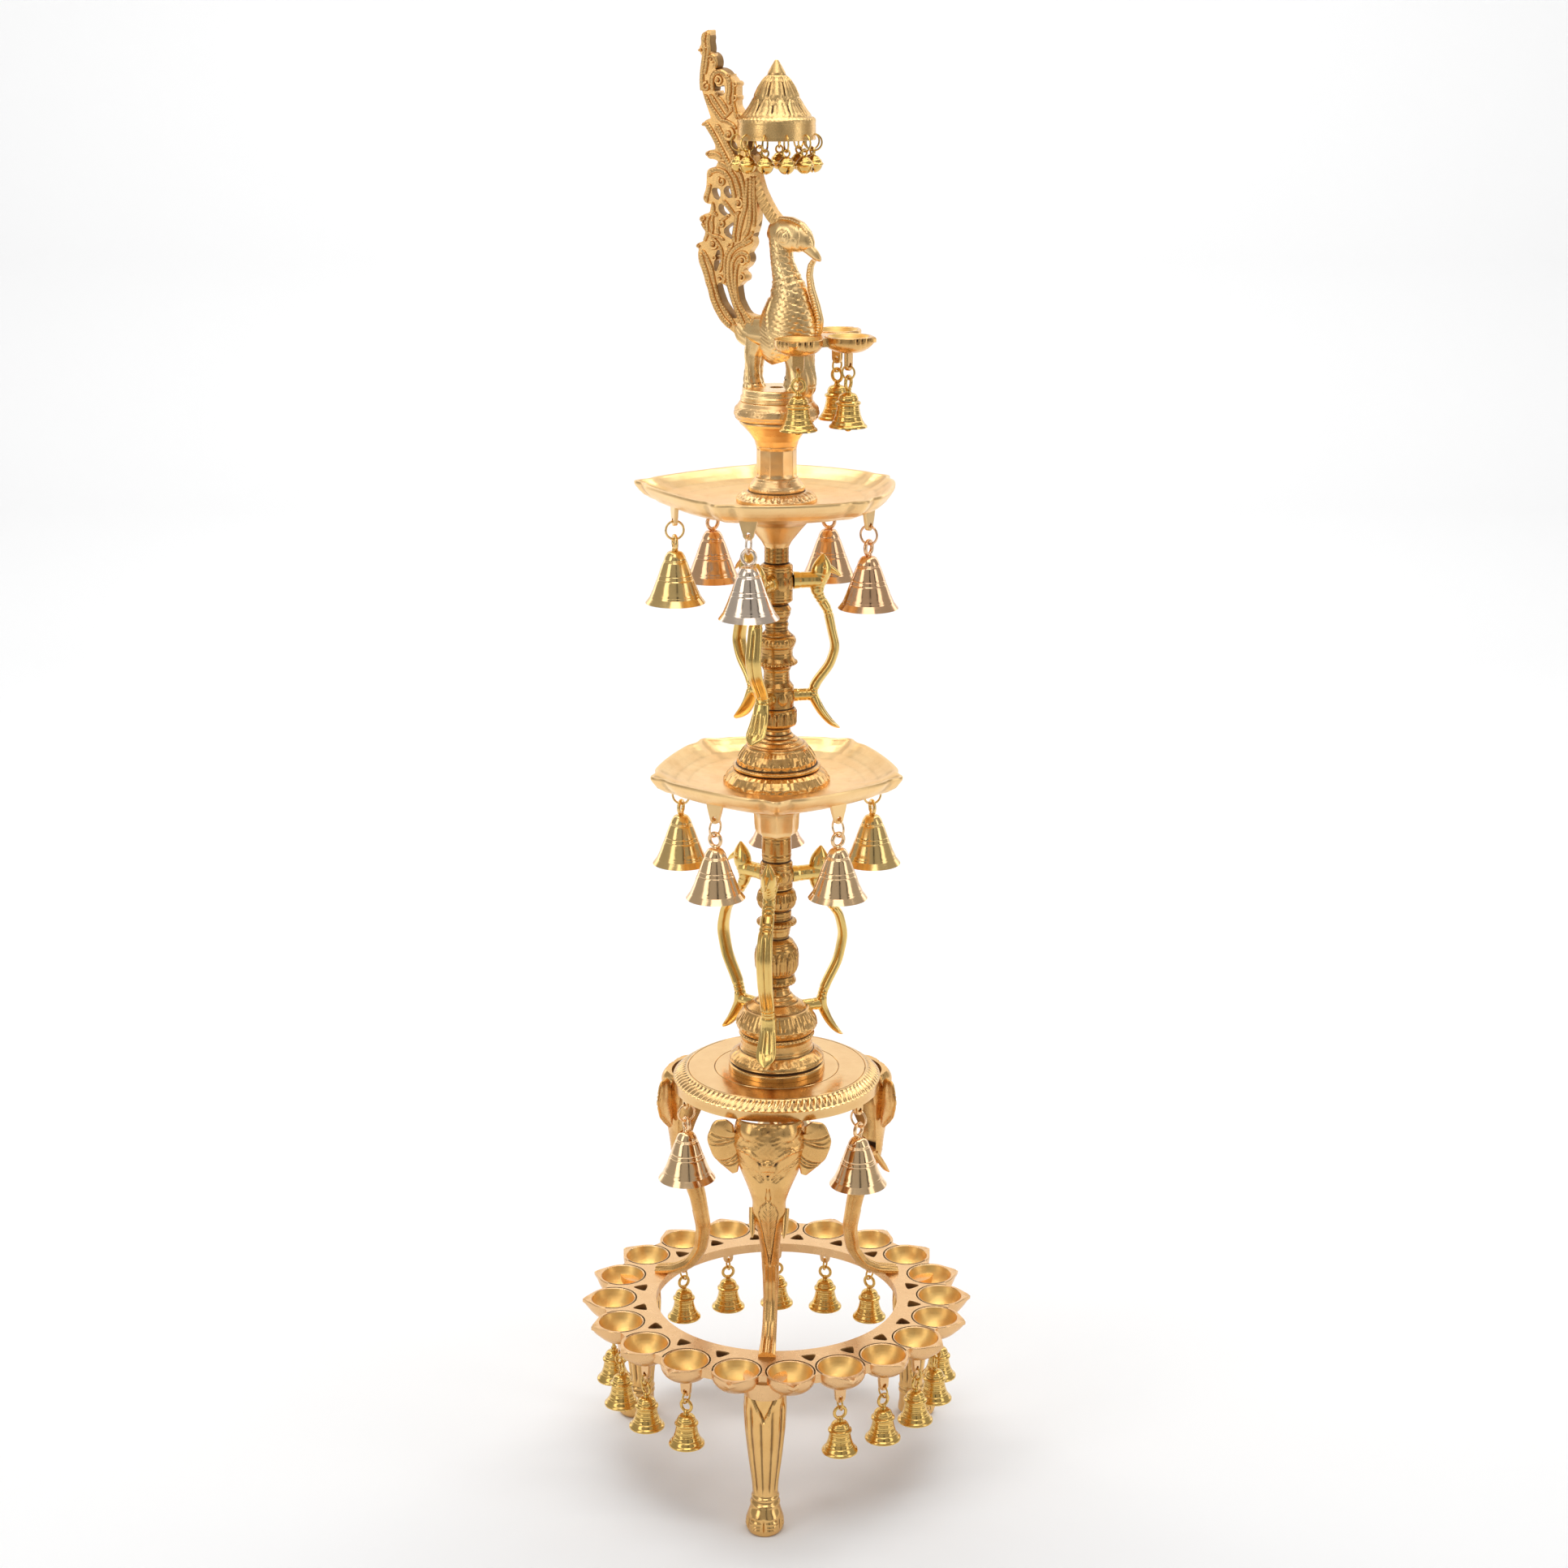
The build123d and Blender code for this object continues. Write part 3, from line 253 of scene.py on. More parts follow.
# %% [markdown]
# ## Materials
# All the metal is brass, but each way of working leaves its own skin. One node group gives the colour,
# roughness and fine relief of worn brass, and each finish places it with its own values. Colour drifts
# slowly from warm to pale, dark patina lies in recesses and in scattered pits, and smudges and a fine
# grain break up the gloss. Noises on the object's own coordinates need no unwrapping.


# %% Small helpers for nodes
def node(tree, kind, **values):
    """Add a node and set its properties and unlinked inputs."""
    made = tree.nodes.new(kind)
    for key, value in values.items():
        if hasattr(made, key):
            setattr(made, key, value)
        else:
            made.inputs[key.replace("_", " ")].default_value = value
    return made


def noise(tree, vector, scale, detail=3.0, roughness=0.5):
    """Noise texture on a vector, about 0.5 on average."""
    made = node(tree, "ShaderNodeTexNoise", Scale=scale, Detail=detail, Roughness=roughness)
    tree.links.new(vector, made.inputs["Vector"])
    return made.outputs["Fac"]


def ramp(tree, value, low, high, to_low=0.0, to_high=1.0):
    """Smooth step from to_low at low to to_high at high."""
    made = node(tree, "ShaderNodeMapRange", interpolation_type="SMOOTHSTEP")
    for name, number in zip(("From Min", "From Max", "To Min", "To Max"), (low, high, to_low, to_high)):
        made.inputs[name].default_value = number
    tree.links.new(value, made.inputs["Value"])
    return made.outputs["Result"]


def maths(tree, operation, first, second):
    """One arithmetic node; an operand is a socket or a number."""
    made = node(tree, "ShaderNodeMath", operation=operation)
    for slot_number, operand in enumerate((first, second)):
        if isinstance(operand, (int, float)):
            made.inputs[slot_number].default_value = operand
        else:
            tree.links.new(operand, made.inputs[slot_number])
    return made.outputs[0]


def mix_colour(tree, factor, first, second):
    """Blend of two colour sockets."""
    made = node(tree, "ShaderNodeMix", data_type="RGBA")
    for socket, name in ((factor, "Factor"), (first, "A"), (second, "B")):
        target = [s for s in made.inputs if s.name == name and s.enabled][0]
        tree.links.new(socket, target)
    return [s for s in made.outputs if s.enabled][0]


# %% The worn brass group
def worn_brass_group():
    """Colour, roughness, metal share and bump height of old brass, from the recess depth and noises."""
    tree = bpy.data.node_groups.new("worn_brass", "ShaderNodeTree")
    face = tree.interface
    for name, kind, value in (
        ("Bright", "NodeSocketColor", (0.9, 0.7, 0.4, 1)),
        ("Warm", "NodeSocketColor", (0.8, 0.5, 0.25, 1)),
        ("Patina", "NodeSocketColor", (0.1, 0.05, 0.02, 1)),
        ("Patina Amount", "NodeSocketFloat", 1.0),
        ("Drift", "NodeSocketFloat", 0.5),
        ("Polish", "NodeSocketFloat", 0.2),
        ("Pits", "NodeSocketFloat", 0.3),
        ("Grain", "NodeSocketFloat", 0.3),
        ("Chasing", "NodeSocketFloat", 0.0),
        ("Turning", "NodeSocketFloat", 0.0),
    ):
        face.new_socket(name=name, in_out="INPUT", socket_type=kind).default_value = value
    for name, kind in (
        ("Colour", "NodeSocketColor"),
        ("Roughness", "NodeSocketFloat"),
        ("Metal", "NodeSocketFloat"),
        ("Height", "NodeSocketFloat"),
    ):
        face.new_socket(name=name, in_out="OUTPUT", socket_type=kind)
    given = node(tree, "NodeGroupInput")
    place = node(tree, "ShaderNodeTexCoord").outputs["Object"]
    recess = node(tree, "ShaderNodeAttribute", attribute_name="recess").outputs["Fac"]

    cloud = noise(tree, place, 38.0, 4.0, 0.6)
    patch = noise(tree, place, 130.0, 5.0, 0.65)
    speck = noise(tree, place, 900.0, 3.0, 0.6)
    grain = noise(tree, place, 2600.0, 2.0, 0.5)

    # chasing: cells of punch marks a millimetre or two wide; turning: fine rings round the lathe's axis
    cells = node(tree, "ShaderNodeTexVoronoi", feature="DISTANCE_TO_EDGE", Scale=620.0)
    tree.links.new(place, cells.inputs["Vector"])
    between_cells = ramp(tree, cells.outputs["Distance"], 0.02, 0.20, 1.0, 0.0)
    punched = maths(tree, "MULTIPLY", between_cells, given.outputs["Chasing"])
    spin = node(tree, "ShaderNodeAttribute", attribute_name="turning").outputs["Fac"]
    rings = node(tree, "ShaderNodeTexNoise", noise_dimensions="1D", Scale=2400.0, Detail=3.0)
    tree.links.new(spin, rings.inputs["W"])
    turned = maths(tree, "SUBTRACT", rings.outputs["Fac"], 0.5)
    turned = maths(tree, "MULTIPLY", turned, given.outputs["Turning"])

    # patina: deep points first, broken up by the middle noise
    broken = maths(tree, "ADD", recess, maths(tree, "MULTIPLY", maths(tree, "SUBTRACT", patch, 0.5), 0.55))
    deep = maths(tree, "MULTIPLY", ramp(tree, broken, 0.06, 0.62), given.outputs["Patina Amount"])
    pits = maths(tree, "MULTIPLY", ramp(tree, speck, 0.62, 0.74), given.outputs["Pits"])
    dirt = maths(tree, "ADD", maths(tree, "ADD", deep, pits), maths(tree, "MULTIPLY", punched, 0.45))
    dirt = maths(tree, "MINIMUM", dirt, 1.0)

    # colour: two brasses, then patina; ridges stay bright
    drift = maths(tree, "MULTIPLY", ramp(tree, cloud, 0.36, 0.66), given.outputs["Drift"])
    ridge = ramp(tree, recess, -0.5, -0.05, 1.0, 0.0)
    off_ridge = maths(tree, "SUBTRACT", 1.0, maths(tree, "MULTIPLY", ridge, 0.7))
    drift = maths(tree, "MULTIPLY", drift, off_ridge)
    metal_colour = mix_colour(tree, drift, given.outputs["Bright"], given.outputs["Warm"])
    colour = mix_colour(tree, dirt, metal_colour, given.outputs["Patina"])

    smudge = maths(tree, "MULTIPLY", ramp(tree, patch, 0.3, 0.8), 0.12)
    rough = maths(tree, "ADD", given.outputs["Polish"], smudge)
    rough = maths(tree, "ADD", rough, maths(tree, "MULTIPLY", dirt, 0.3))
    metal = maths(tree, "SUBTRACT", 1.0, maths(tree, "MULTIPLY", dirt, 0.35))
    height = maths(tree, "MULTIPLY", maths(tree, "ADD", grain, patch), given.outputs["Grain"])
    height = maths(tree, "ADD", height, turned)
    height = maths(tree, "SUBTRACT", height, maths(tree, "MULTIPLY", punched, 2.2))

    out = node(tree, "NodeGroupOutput")
    for socket, name in ((colour, "Colour"), (rough, "Roughness"), (metal, "Metal"), (height, "Height")):
        tree.links.new(socket, out.inputs[name])
    return tree


WORN_BRASS = worn_brass_group()
PATINA_BROWN = (0.070, 0.032, 0.010)
BUMP_DEPTH = 0.12 * MM


def brass(name, bright, warm, amount, drift, polish, pits, grain, chasing=0.0, turning=0.0):
    """A finish of brass: the group's values feed one metallic shader."""
    made = bpy.data.materials.new(name)
    made.use_nodes = True
    tree = made.node_tree
    tree.nodes.clear()
    group = node(tree, "ShaderNodeGroup", node_tree=WORN_BRASS)
    for key, value in (
        ("Bright", bright + (1,)),
        ("Warm", warm + (1,)),
        ("Patina", PATINA_BROWN + (1,)),
        ("Patina Amount", amount),
        ("Drift", drift),
        ("Polish", polish),
        ("Pits", pits),
        ("Grain", grain),
        ("Chasing", chasing),
        ("Turning", turning),
    ):
        group.inputs[key].default_value = value
    shader = node(tree, "ShaderNodeBsdfPrincipled")
    bump = node(tree, "ShaderNodeBump", Strength=0.35, Distance=BUMP_DEPTH)
    out = node(tree, "ShaderNodeOutputMaterial")
    for source, target in (
        (group.outputs["Colour"], shader.inputs["Base Color"]),
        (group.outputs["Roughness"], shader.inputs["Roughness"]),
        (group.outputs["Metal"], shader.inputs["Metallic"]),
        (group.outputs["Height"], bump.inputs["Height"]),
        (bump.outputs["Normal"], shader.inputs["Normal"]),
        (shader.outputs["BSDF"], out.inputs["Surface"]),
    ):
        tree.links.new(source, target)
    return made


# bright and warm colour, then the amounts of patina, drift, polish, pits, grain, chasing and turning
FINISHES = {
    "cast_brass": ((0.82, 0.49, 0.18), (0.66, 0.35, 0.11), 1.0, 0.8, 0.22, 0.4, 0.4),
    "tail_brass": ((0.90, 0.55, 0.21), (0.72, 0.39, 0.13), 1.2, 0.8, 0.30, 0.5, 0.6, 0.3),
    # painted shade with some patina: dark brass for the tail strands' feet and the walls of its windows
    "shade_and_patina_brass": ((0.42, 0.24, 0.09), (0.28, 0.15, 0.05), 0.8, 0.8, 0.42, 0.6, 0.6),
    "peacock_brass": ((0.98, 0.68, 0.32), (0.84, 0.52, 0.21), 0.9, 0.8, 0.25, 0.35, 0.4),
    "column_brass": ((0.66, 0.375, 0.12), (0.48, 0.245, 0.07), 1.25, 0.9, 0.20, 0.6, 0.4),
    "bird_brass": ((0.86, 0.60, 0.20), (0.74, 0.44, 0.13), 1.0, 0.8, 0.16, 0.25, 0.25),
    "chased_brass": ((0.94, 0.62, 0.26), (0.78, 0.46, 0.16), 1.2, 0.8, 0.24, 0.4, 0.4, 0.3),
    "spun_brass": ((0.95, 0.63, 0.30), (0.86, 0.51, 0.21), 0.85, 0.8, 0.27, 0.15, 0.25, 0, 1.5),
    "dish_brass": ((0.97, 0.66, 0.31), (0.88, 0.54, 0.22), 0.22, 0.8, 0.28, 0.15, 0.25, 0, 1.5),
    "disc_brass": ((0.85, 0.55, 0.24), (0.77, 0.45, 0.18), 1.1, 0.6, 0.15, 0.1, 0.15),
    "leg_brass": ((0.86, 0.53, 0.20), (0.70, 0.38, 0.12), 0.65, 0.8, 0.16, 0.3, 0.3),
    "ring_brass": ((0.84, 0.53, 0.26), (0.75, 0.43, 0.185), 0.9, 0.8, 0.25, 0.15, 0.2),
    "bowl_brass": ((1.0, 0.66, 0.23), (0.96, 0.56, 0.17), 0.08, 0.9, 0.36, 0.1, 0.2, 0, 3),
    # painted shade: darker, rough brass that fills the leaf windows of the ring
    "shade_pocket_brass": ((0.66, 0.42, 0.17), (0.42, 0.22, 0.10), 0.8, 1.0, 0.45, 0.6, 1.4),
    "bell_brass": ((0.90, 0.62, 0.25), (0.78, 0.48, 0.16), 1.0, 0.6, 0.13, 0.25, 0.25),
    "small_bell_brass": ((0.80, 0.52, 0.16), (0.66, 0.39, 0.10), 1.2, 0.7, 0.15, 0.3, 0.3),
    "rosy_brass": ((0.88, 0.54, 0.30), (0.76, 0.41, 0.20), 0.9, 0.7, 0.11, 0.2, 0.2),
    "pale_brass": ((0.95, 0.65, 0.36), (0.88, 0.55, 0.27), 0.9, 0.6, 0.11, 0.2, 0.2),
    "silver_brass": ((0.90, 0.73, 0.57), (0.84, 0.64, 0.46), 0.9, 0.5, 0.12, 0.2, 0.2),
    "dull_steel": ((0.42, 0.42, 0.42), (0.30, 0.29, 0.28), 0.7, 0.6, 0.38, 0.4, 0.5),
}
finishes = {name: brass(name, *values) for name, values in FINISHES.items()}

# what the construction model's own surfaces get, by their slot
slot_of = {row["node"]: row["material_slot"] for row in record["subparts"]}
for name, cad_node in frame["nodes"].items():
    cad_node.data.materials.clear()
    slot_name = slot_of[name]
    cad_node.data.materials.append(finishes["dull_steel" if slot_name == "rod_steel" else slot_name])
print(len(finishes), "finishes")

# %% [markdown]
# ## Turned work
# The column, the bells and the parasol are turned on a lathe, so each is a profile that goes round an
# axis. Cast ornament such as petals and ropes is added as a relief: a height over angle and distance
# along the profile, which pushes each point out along the profile's normal. The Screw modifier turns a
# profile too, but the relief would need a step of its own.


# %% Profiles and the lathe
def fine(profile, step=0.7 * MM, soft=1):
    """A profile sampled at even steps along its straight runs, its corners eased by a short average."""
    points = np.array(profile, float)
    runs = np.hypot(*np.diff(points, axis=0).T)
    along = np.concatenate(([0], np.cumsum(runs)))
    count = max(int(along[-1] / step), len(points)) + 1
    even = np.unique(np.concatenate((np.linspace(0, along[-1], count), along)))
    dense = np.stack([np.interp(even, along, column) for column in points.T], -1)
    for _ in range(soft):
        dense[1:-1] = (dense[:-2] + 2 * dense[1:-1] + dense[2:]) / 4
    return dense


def lathe(profile, segments, relief=None, centre=(0.0, 0.0), closed=False):
    """Point (r, z) goes round as (r cos a, r sin a, z), pushed along the normal by relief(a, r, z)."""
    profile = np.asarray(profile, float)
    r, z = profile.T
    if closed:
        way = np.roll(profile, -1, 0) - np.roll(profile, 1, 0)
    else:
        way = np.gradient(profile, axis=0)
    way /= np.maximum(np.hypot(*way.T), 1e-9)[:, None]
    normal_r, normal_z = way[:, 1], -way[:, 0]
    angle = np.linspace(0, TAU, segments, endpoint=False)[None, :]
    push = relief(angle, r[:, None], z[:, None]) if relief else np.zeros((1, 1))
    radius = r[:, None] + normal_r[:, None] * push
    height = z[:, None] + normal_z[:, None] * push
    x = radius * np.cos(angle) + centre[0]
    y = radius * np.sin(angle) + centre[1]
    return sheet(np.stack(np.broadcast_arrays(x, y, height), -1), closed_rows=closed)


def ring_patch(centre, radius, wire, along_x=True, around=32, across=10):
    """Torus: a circle of wire carried round a circle in the XZ plane, or in the YZ plane."""
    a = np.linspace(0, TAU, around, endpoint=False)[:, None]
    b = np.linspace(0, TAU, across, endpoint=False)[None, :]
    reach = radius + wire * np.cos(b)
    flat = np.stack(np.broadcast_arrays(reach * np.cos(a), wire * np.sin(b), reach * np.sin(a)), -1)
    if not along_x:
        flat = flat[..., [1, 0, 2]]
    return sheet(flat + np.array(centre), closed_rows=True)


def band(z, low, high, edge):
    """1 between two heights and 0 outside, with soft edges."""
    return np.clip((z - low) / edge, 0, 1) * np.clip((high - z) / edge, 0, 1)


def lines(z, heights, width):
    """Turned grooves: 1 at each height, falling to 0 within the width."""
    gap = np.abs(z[..., None] - np.array(heights)).min(-1)
    return np.clip(1 - gap / width, 0, 1)


def rope(angle, along, count, slant):
    """Slanting lobes, round on top: square root of |sin(count a / 2 + slant s)|."""
    return np.sqrt(np.abs(np.sin(count * angle / 2 + slant * along)))


def petals(angle, t, count, shift=0.0, blunt=2.0):
    """Row of leaves over t from 0 at the root to 1 at the tip, each a raised edge round a small heart."""
    across = (count * angle / TAU + shift) % 1 - 0.5
    half = 0.48 * np.sqrt(np.clip(1 - np.clip(t, 0, 1) ** blunt, 0, 1))
    share = np.abs(across) / np.maximum(half, 1e-6)
    edge = np.exp(-(((share - 0.78) / 0.17) ** 2))
    heart = np.sqrt(np.clip(1 - (share / 0.42) ** 2, 0, 1)) * np.clip((0.86 - t) / 0.1, 0, 1)
    return (share < 1) * (t > 0) * (t < 1) * (0.3 + 0.75 * edge + 0.55 * heart)


def pearls(angle, z, r, count, height, size):
    """Row of half balls: square root of 1 - (sideways / size)^2 - (upwards / size)^2."""
    across = ((count * angle / TAU) % 1 - 0.5) * TAU * r / count
    return np.sqrt(np.clip(1 - (across / size) ** 2 - ((z - height) / size) ** 2, 0, 1))


# %% [markdown]
# ## Bells
# Every bell is a wire link, a turned shell with its loop, and a clapper. The large bells are cones with
# three groups of engraved lines; the small ones have a domed crown, a ridge at the shoulder and a
# flared lip. Each kind is built once with its hinge at the origin, then turned and hung at every hinge.

# %% Bell shapes
HOLE_R = 1.8 * MM
SEAT = 0.2 * MM
LUG_THICK = 3.2 * MM
BELL_WALL = 1.3 * MM
# outer shapes: share of the mouth's radius, share of the height from the crown down
CONE = (
    (0.14, 0.0), (0.24, 0.02), (0.33, 0.10), (0.46, 0.30), (0.60, 0.52),
    (0.74, 0.74), (0.87, 0.90), (0.98, 0.985), (1.0, 1.0),
)
DOME = (
    (0.18, 0.0), (0.36, 0.03), (0.48, 0.10), (0.53, 0.19), (0.52, 0.24), (0.66, 0.27), (0.66, 0.33),
    (0.58, 0.37), (0.62, 0.55), (0.72, 0.74), (0.86, 0.88), (1.0, 0.96), (1.0, 1.0),
)


def link_drop(link_r, wire_r, wall):
    """Centre of a link below its hole: its wire sags by R - sqrt(R^2 - (wall / 2)^2) across the lug."""
    sag = link_r - math.sqrt(link_r**2 - (wall / 2) ** 2)
    return sag + wire_r + SEAT - HOLE_R - link_r


def bell_patches(link_r, wire_r, loop_r, loop_wire, knob, height, mouth, shape, grooves, groove, clapper_r):
    """Link, shell with its loop, and clapper; grooves lie at shares of the height."""
    link_z = link_drop(link_r, wire_r, LUG_THICK)
    loop_z = link_z - link_r + wire_r + SEAT + loop_wire - loop_r
    crown = loop_z - loop_r - knob
    share, depth = np.array(shape).T
    t = np.linspace(0, 1, 66)
    radius = np.interp(t, depth, share)
    radius[1:-1] = (radius[:-2] + 2 * radius[1:-1] + radius[2:]) / 4
    radius = radius * mouth - groove * lines(t, grooves, 0.018)
    outer = np.stack((radius, crown - height * t), -1)[::-1]
    inner_t = np.linspace(0.06, 1, 14)
    inner_r = np.interp(inner_t, depth, share) * mouth - BELL_WALL
    inner = np.stack((inner_r, crown - height * inner_t - BELL_WALL * (1 - inner_t)), -1)
    shell = np.concatenate((outer, [(0.6 * MM, crown)], [(0.6 * MM, inner[0, 1])], inner))
    neck = [
        (0.5 * MM, crown - 1 * MM),
        (loop_wire + 1.4 * MM, crown - 0.4 * MM),
        (loop_wire + 0.7 * MM, crown + knob * 0.5),
        (loop_wire + 1.2 * MM, crown + knob),
        (loop_wire + 0.4 * MM, crown + knob + 1 * MM),
        (0.5 * MM, crown + knob + 1 * MM),
    ]
    low = crown - height
    swing = np.linspace(-math.pi / 2, math.pi / 2 - 0.2, 14)
    ball = np.stack((np.maximum(clapper_r * np.cos(swing), 0.4 * MM), low + clapper_r * np.sin(swing)), -1)
    rod = [(1.0 * MM, low + clapper_r), (1.0 * MM, crown - BELL_WALL - 1.0 * MM)]
    return [
        ring_patch((0, 0, link_z), link_r, wire_r),
        ring_patch((0, 0, loop_z), loop_r, loop_wire, along_x=False),
        lathe(neck, 20),
        lathe(shell, 48, closed=True),
        lathe(np.concatenate((ball, rod)), 20),
    ]


LARGE_BELL = bell_patches(
    link_r=7.0 * MM, wire_r=0.9 * MM, loop_r=5.2 * MM, loop_wire=1.5 * MM, knob=1.0 * MM,
    height=40.0 * MM, mouth=23.0 * MM, shape=CONE, clapper_r=4.6 * MM,
    grooves=(0.17, 0.20, 0.46, 0.50, 0.54, 0.84, 0.88), groove=0.32 * MM,
)
SMALL_BELL = bell_patches(
    link_r=5.0 * MM, wire_r=0.8 * MM, loop_r=4.8 * MM, loop_wire=1.3 * MM, knob=2.5 * MM,
    height=26.0 * MM, mouth=14.4 * MM, shape=DOME, clapper_r=3.4 * MM,
    grooves=(0.12, 0.22, 0.36, 0.45, 0.49, 0.62, 0.66, 0.80, 0.90), groove=0.34 * MM,
)


# %% Ghungroo: a small jingle ball with crossed slits
def ghungroo_patches(link_r, wire_r, eye_r, eye_wire, ball_r):
    """Link round the origin, eye, and ball with a ridge round it and slits sunk into its lower half."""
    eye_z = -link_r + wire_r + SEAT + eye_wire - eye_r
    ball_z = eye_z - eye_r - 0.86 * ball_r
    swing = np.linspace(-math.pi / 2 + 0.02, math.pi / 2 - 0.02, 36)
    radius = 0.90 * ball_r * np.cos(swing) * (1 - 0.10 * (swing > 0.5))
    radius = radius + 0.17 * ball_r * np.exp(-((swing / 0.13) ** 2))
    profile = np.stack((radius, ball_z + 0.93 * ball_r * np.sin(swing)), -1)

    def slits(angle, r, z):
        """Sunk where the point is close to either upright plane, and below the ridge."""
        near = np.minimum(np.abs(r * np.cos(angle)), np.abs(r * np.sin(angle)))
        return -1.6 * MM * (near < 0.7 * MM) * (z < ball_z - 1.0 * MM)

    return [
        ring_patch((0, 0, 0), link_r, wire_r, around=32, across=8),
        ring_patch((0, 0, eye_z), eye_r, eye_wire, along_x=False, around=24, across=8),
        lathe(profile, 48, slits),
    ]


GHUNGROO = ghungroo_patches(6.0 * MM, 0.7 * MM, 2.6 * MM, 0.8 * MM, 7.0 * MM)

# %% Hang the bells up
BELL_FINISH = {"top_bell_1": "silver_brass", "middle_bell_1": "pale_brass", "middle_bell_5": "pale_brass"}
BELL_FINISH.update(dict.fromkeys(("top_bell_2", "top_bell_3", "top_bell_4", "middle_bell_3"), "rosy_brass"))
BELL_FINISH.update(dict.fromkeys(("disc_bell_1", "disc_bell_2", "disc_bell_3"), "pale_brass"))
# own X: along the hinge's axis for a bell, a quarter turn clockwise from it for a ghungroo
for name, (spot, axis) in hinges.items():
    if name.startswith("ghungroo"):
        heading = heading_of((axis.y, -axis.x))
        made_of = GHUNGROO
    else:
        heading = heading_of(axis)
        made_of = SMALL_BELL if name.startswith(("ring", "cluster")) else LARGE_BELL
    finish = BELL_FINISH.get(name, "bell_brass" if made_of is LARGE_BELL else "small_bell_brass")
    piece(f"{name}_turned", placed(made_of, heading, spot), finish, name, [name])
print("hung", len(hinges), "bells")

# %% [markdown]
# ## The round stand
# A spun plate with a sloping border of slanting gadroons, like a twisted rope, and two engraved circles
# on its flat. The border could be a row of small copies; as the lathe's relief on the sloping run of the
# profile it is one skin without seams.

# %% Stand disc
stand_top = top_of("stand_disc")
DISC_R = 83.5 * MM
DISC_FLAT_R = 73.0 * MM
DISC_SLOPE = 7.0 * MM
PLATE_R = 50.0 * MM
DISC_BAND = 7.5 * MM
DISC_PLATE = 5.0 * MM
FLAT_EDGE_R = DISC_FLAT_R - 1.6 * MM
LINE_INSET = 1.2 * MM
ROD_BORE = 5.2
rim_top = stand_top - DISC_SLOPE
rim_low = rim_top - DISC_BAND


def gadroon_border(angle, r, z):
    """Rope lobes on the slope, two engraved circles on the flat and two lines round the band."""
    t = (r - DISC_FLAT_R) / (DISC_R - DISC_FLAT_R)
    on_slope = band(t, 0.04, 0.96, 0.08) * (z > rim_top - 0.1 * MM)
    flat = (z > stand_top - 0.1 * MM) & (r < DISC_FLAT_R)
    circle = flat * lines(r, (PLATE_R, FLAT_EDGE_R), 0.5 * MM)
    band_line = lines(z, (rim_top - LINE_INSET, rim_low + LINE_INSET), 0.4 * MM)
    return (
        1.5 * MM * on_slope * rope(angle, t, 96, 2.7) * np.sqrt(np.clip(np.sin(math.pi * t), 0, 1))
        - 1.0 * MM * on_slope
        - 0.9 * MM * circle
        - 0.25 * MM * band_line * (r > DISC_R - 0.3 * MM)
    )


# points close to each circle let the thin line show between coarser steps
GAPS = (0.5 * MM, 0.2 * MM, -0.2 * MM, -0.5 * MM)
beside_circles = [(r + gap, stand_top) for r in (FLAT_EDGE_R, PLATE_R) for gap in GAPS]
disc_profile = fine(
    (
        (ROD_BORE * MM, rim_low - 3 * MM),
        (17.0 * MM, rim_low - 3 * MM),
        (17.0 * MM, stand_top - DISC_PLATE),
        (DISC_R - 6 * MM, stand_top - DISC_PLATE - 3 * MM),
        (DISC_R - 6 * MM, rim_low),
        (DISC_R, rim_low),
        (DISC_R, rim_top),
        (DISC_FLAT_R, stand_top),
        *beside_circles,
        (ROD_BORE * MM, stand_top),
    ),
    1.3 * MM,
    0,
)


# rows of a lug's grid: share of the thickness, share of the way from the hole to the outline
LUG_ROWS = (
    (-0.5, 0), (-0.5, 0.5), (-0.5, 0.92), (-0.38, 1), (0.38, 1), (0.5, 0.92), (0.5, 0.5), (0.5, 0),
)
LUG_EDGE = 2.4 * MM


def lug_patches(radius, hole_z, top_z, width):
    """Tapered lug with a hole: a half circle below the hole, and above it a box that widens upwards."""
    a = np.linspace(0, TAU, 40, endpoint=False) + math.pi / 2
    c, s = np.cos(a), np.sin(a)
    tip_r = HOLE_R + LUG_EDGE
    share = np.clip(s, 0, 1)
    to_box = np.maximum(np.abs(c), s + 1e-6)
    outline_y = np.where(s > 0, c / to_box * (tip_r + share * (width / 2 - tip_r)), c * tip_r)
    outline_z = np.where(s > 0, (top_z - hole_z) * np.clip(s / to_box, 0, 1), s * tip_r)
    rows = []
    for depth, scale in LUG_ROWS:
        x = np.full(len(a), radius + depth * LUG_THICK)
        y = c * HOLE_R + scale * (outline_y - c * HOLE_R)
        z = hole_z + s * HOLE_R + scale * (outline_z - s * HOLE_R)
        rows.append(np.stack((x, y, z), -1))
    return [sheet(np.array(rows), closed_rows=True)]


def lugs_for(start, top_z, width):
    """One lug for each bell whose name starts so, at the radius and height of the first one's hinge."""
    spots = [spot for name, (spot, _) in hinges.items() if name.startswith(start)]
    lug = lug_patches(math.hypot(spots[0].x, spots[0].y), spots[0].z, top_z, width)
    return [patch for spot in spots for patch in placed(lug, heading_of(spot))]


disc_patches = [lathe(disc_profile, 480, gadroon_border, closed=True)]
disc_patches += lugs_for("disc_bell", rim_low + 2 * MM, 9 * MM)
mark_turning(piece("gadrooned_disc", disc_patches, "disc_brass", "stand", ["stand_disc"]))

# %% [markdown]
# ## Turned and chased column
# Each length of the column is one lathe profile with its own relief: lotus leaves on the pedestals,
# rows of pearls and bosses on the collars, and fine turned lines between them. One profile could serve
# the whole column, but the real one is stacked from these lengths. Profiles and reliefs are in
# millimetres; h is the height above the foot of the piece.


# %% Column pieces
PROFILE_STEP = 0.75 * MM


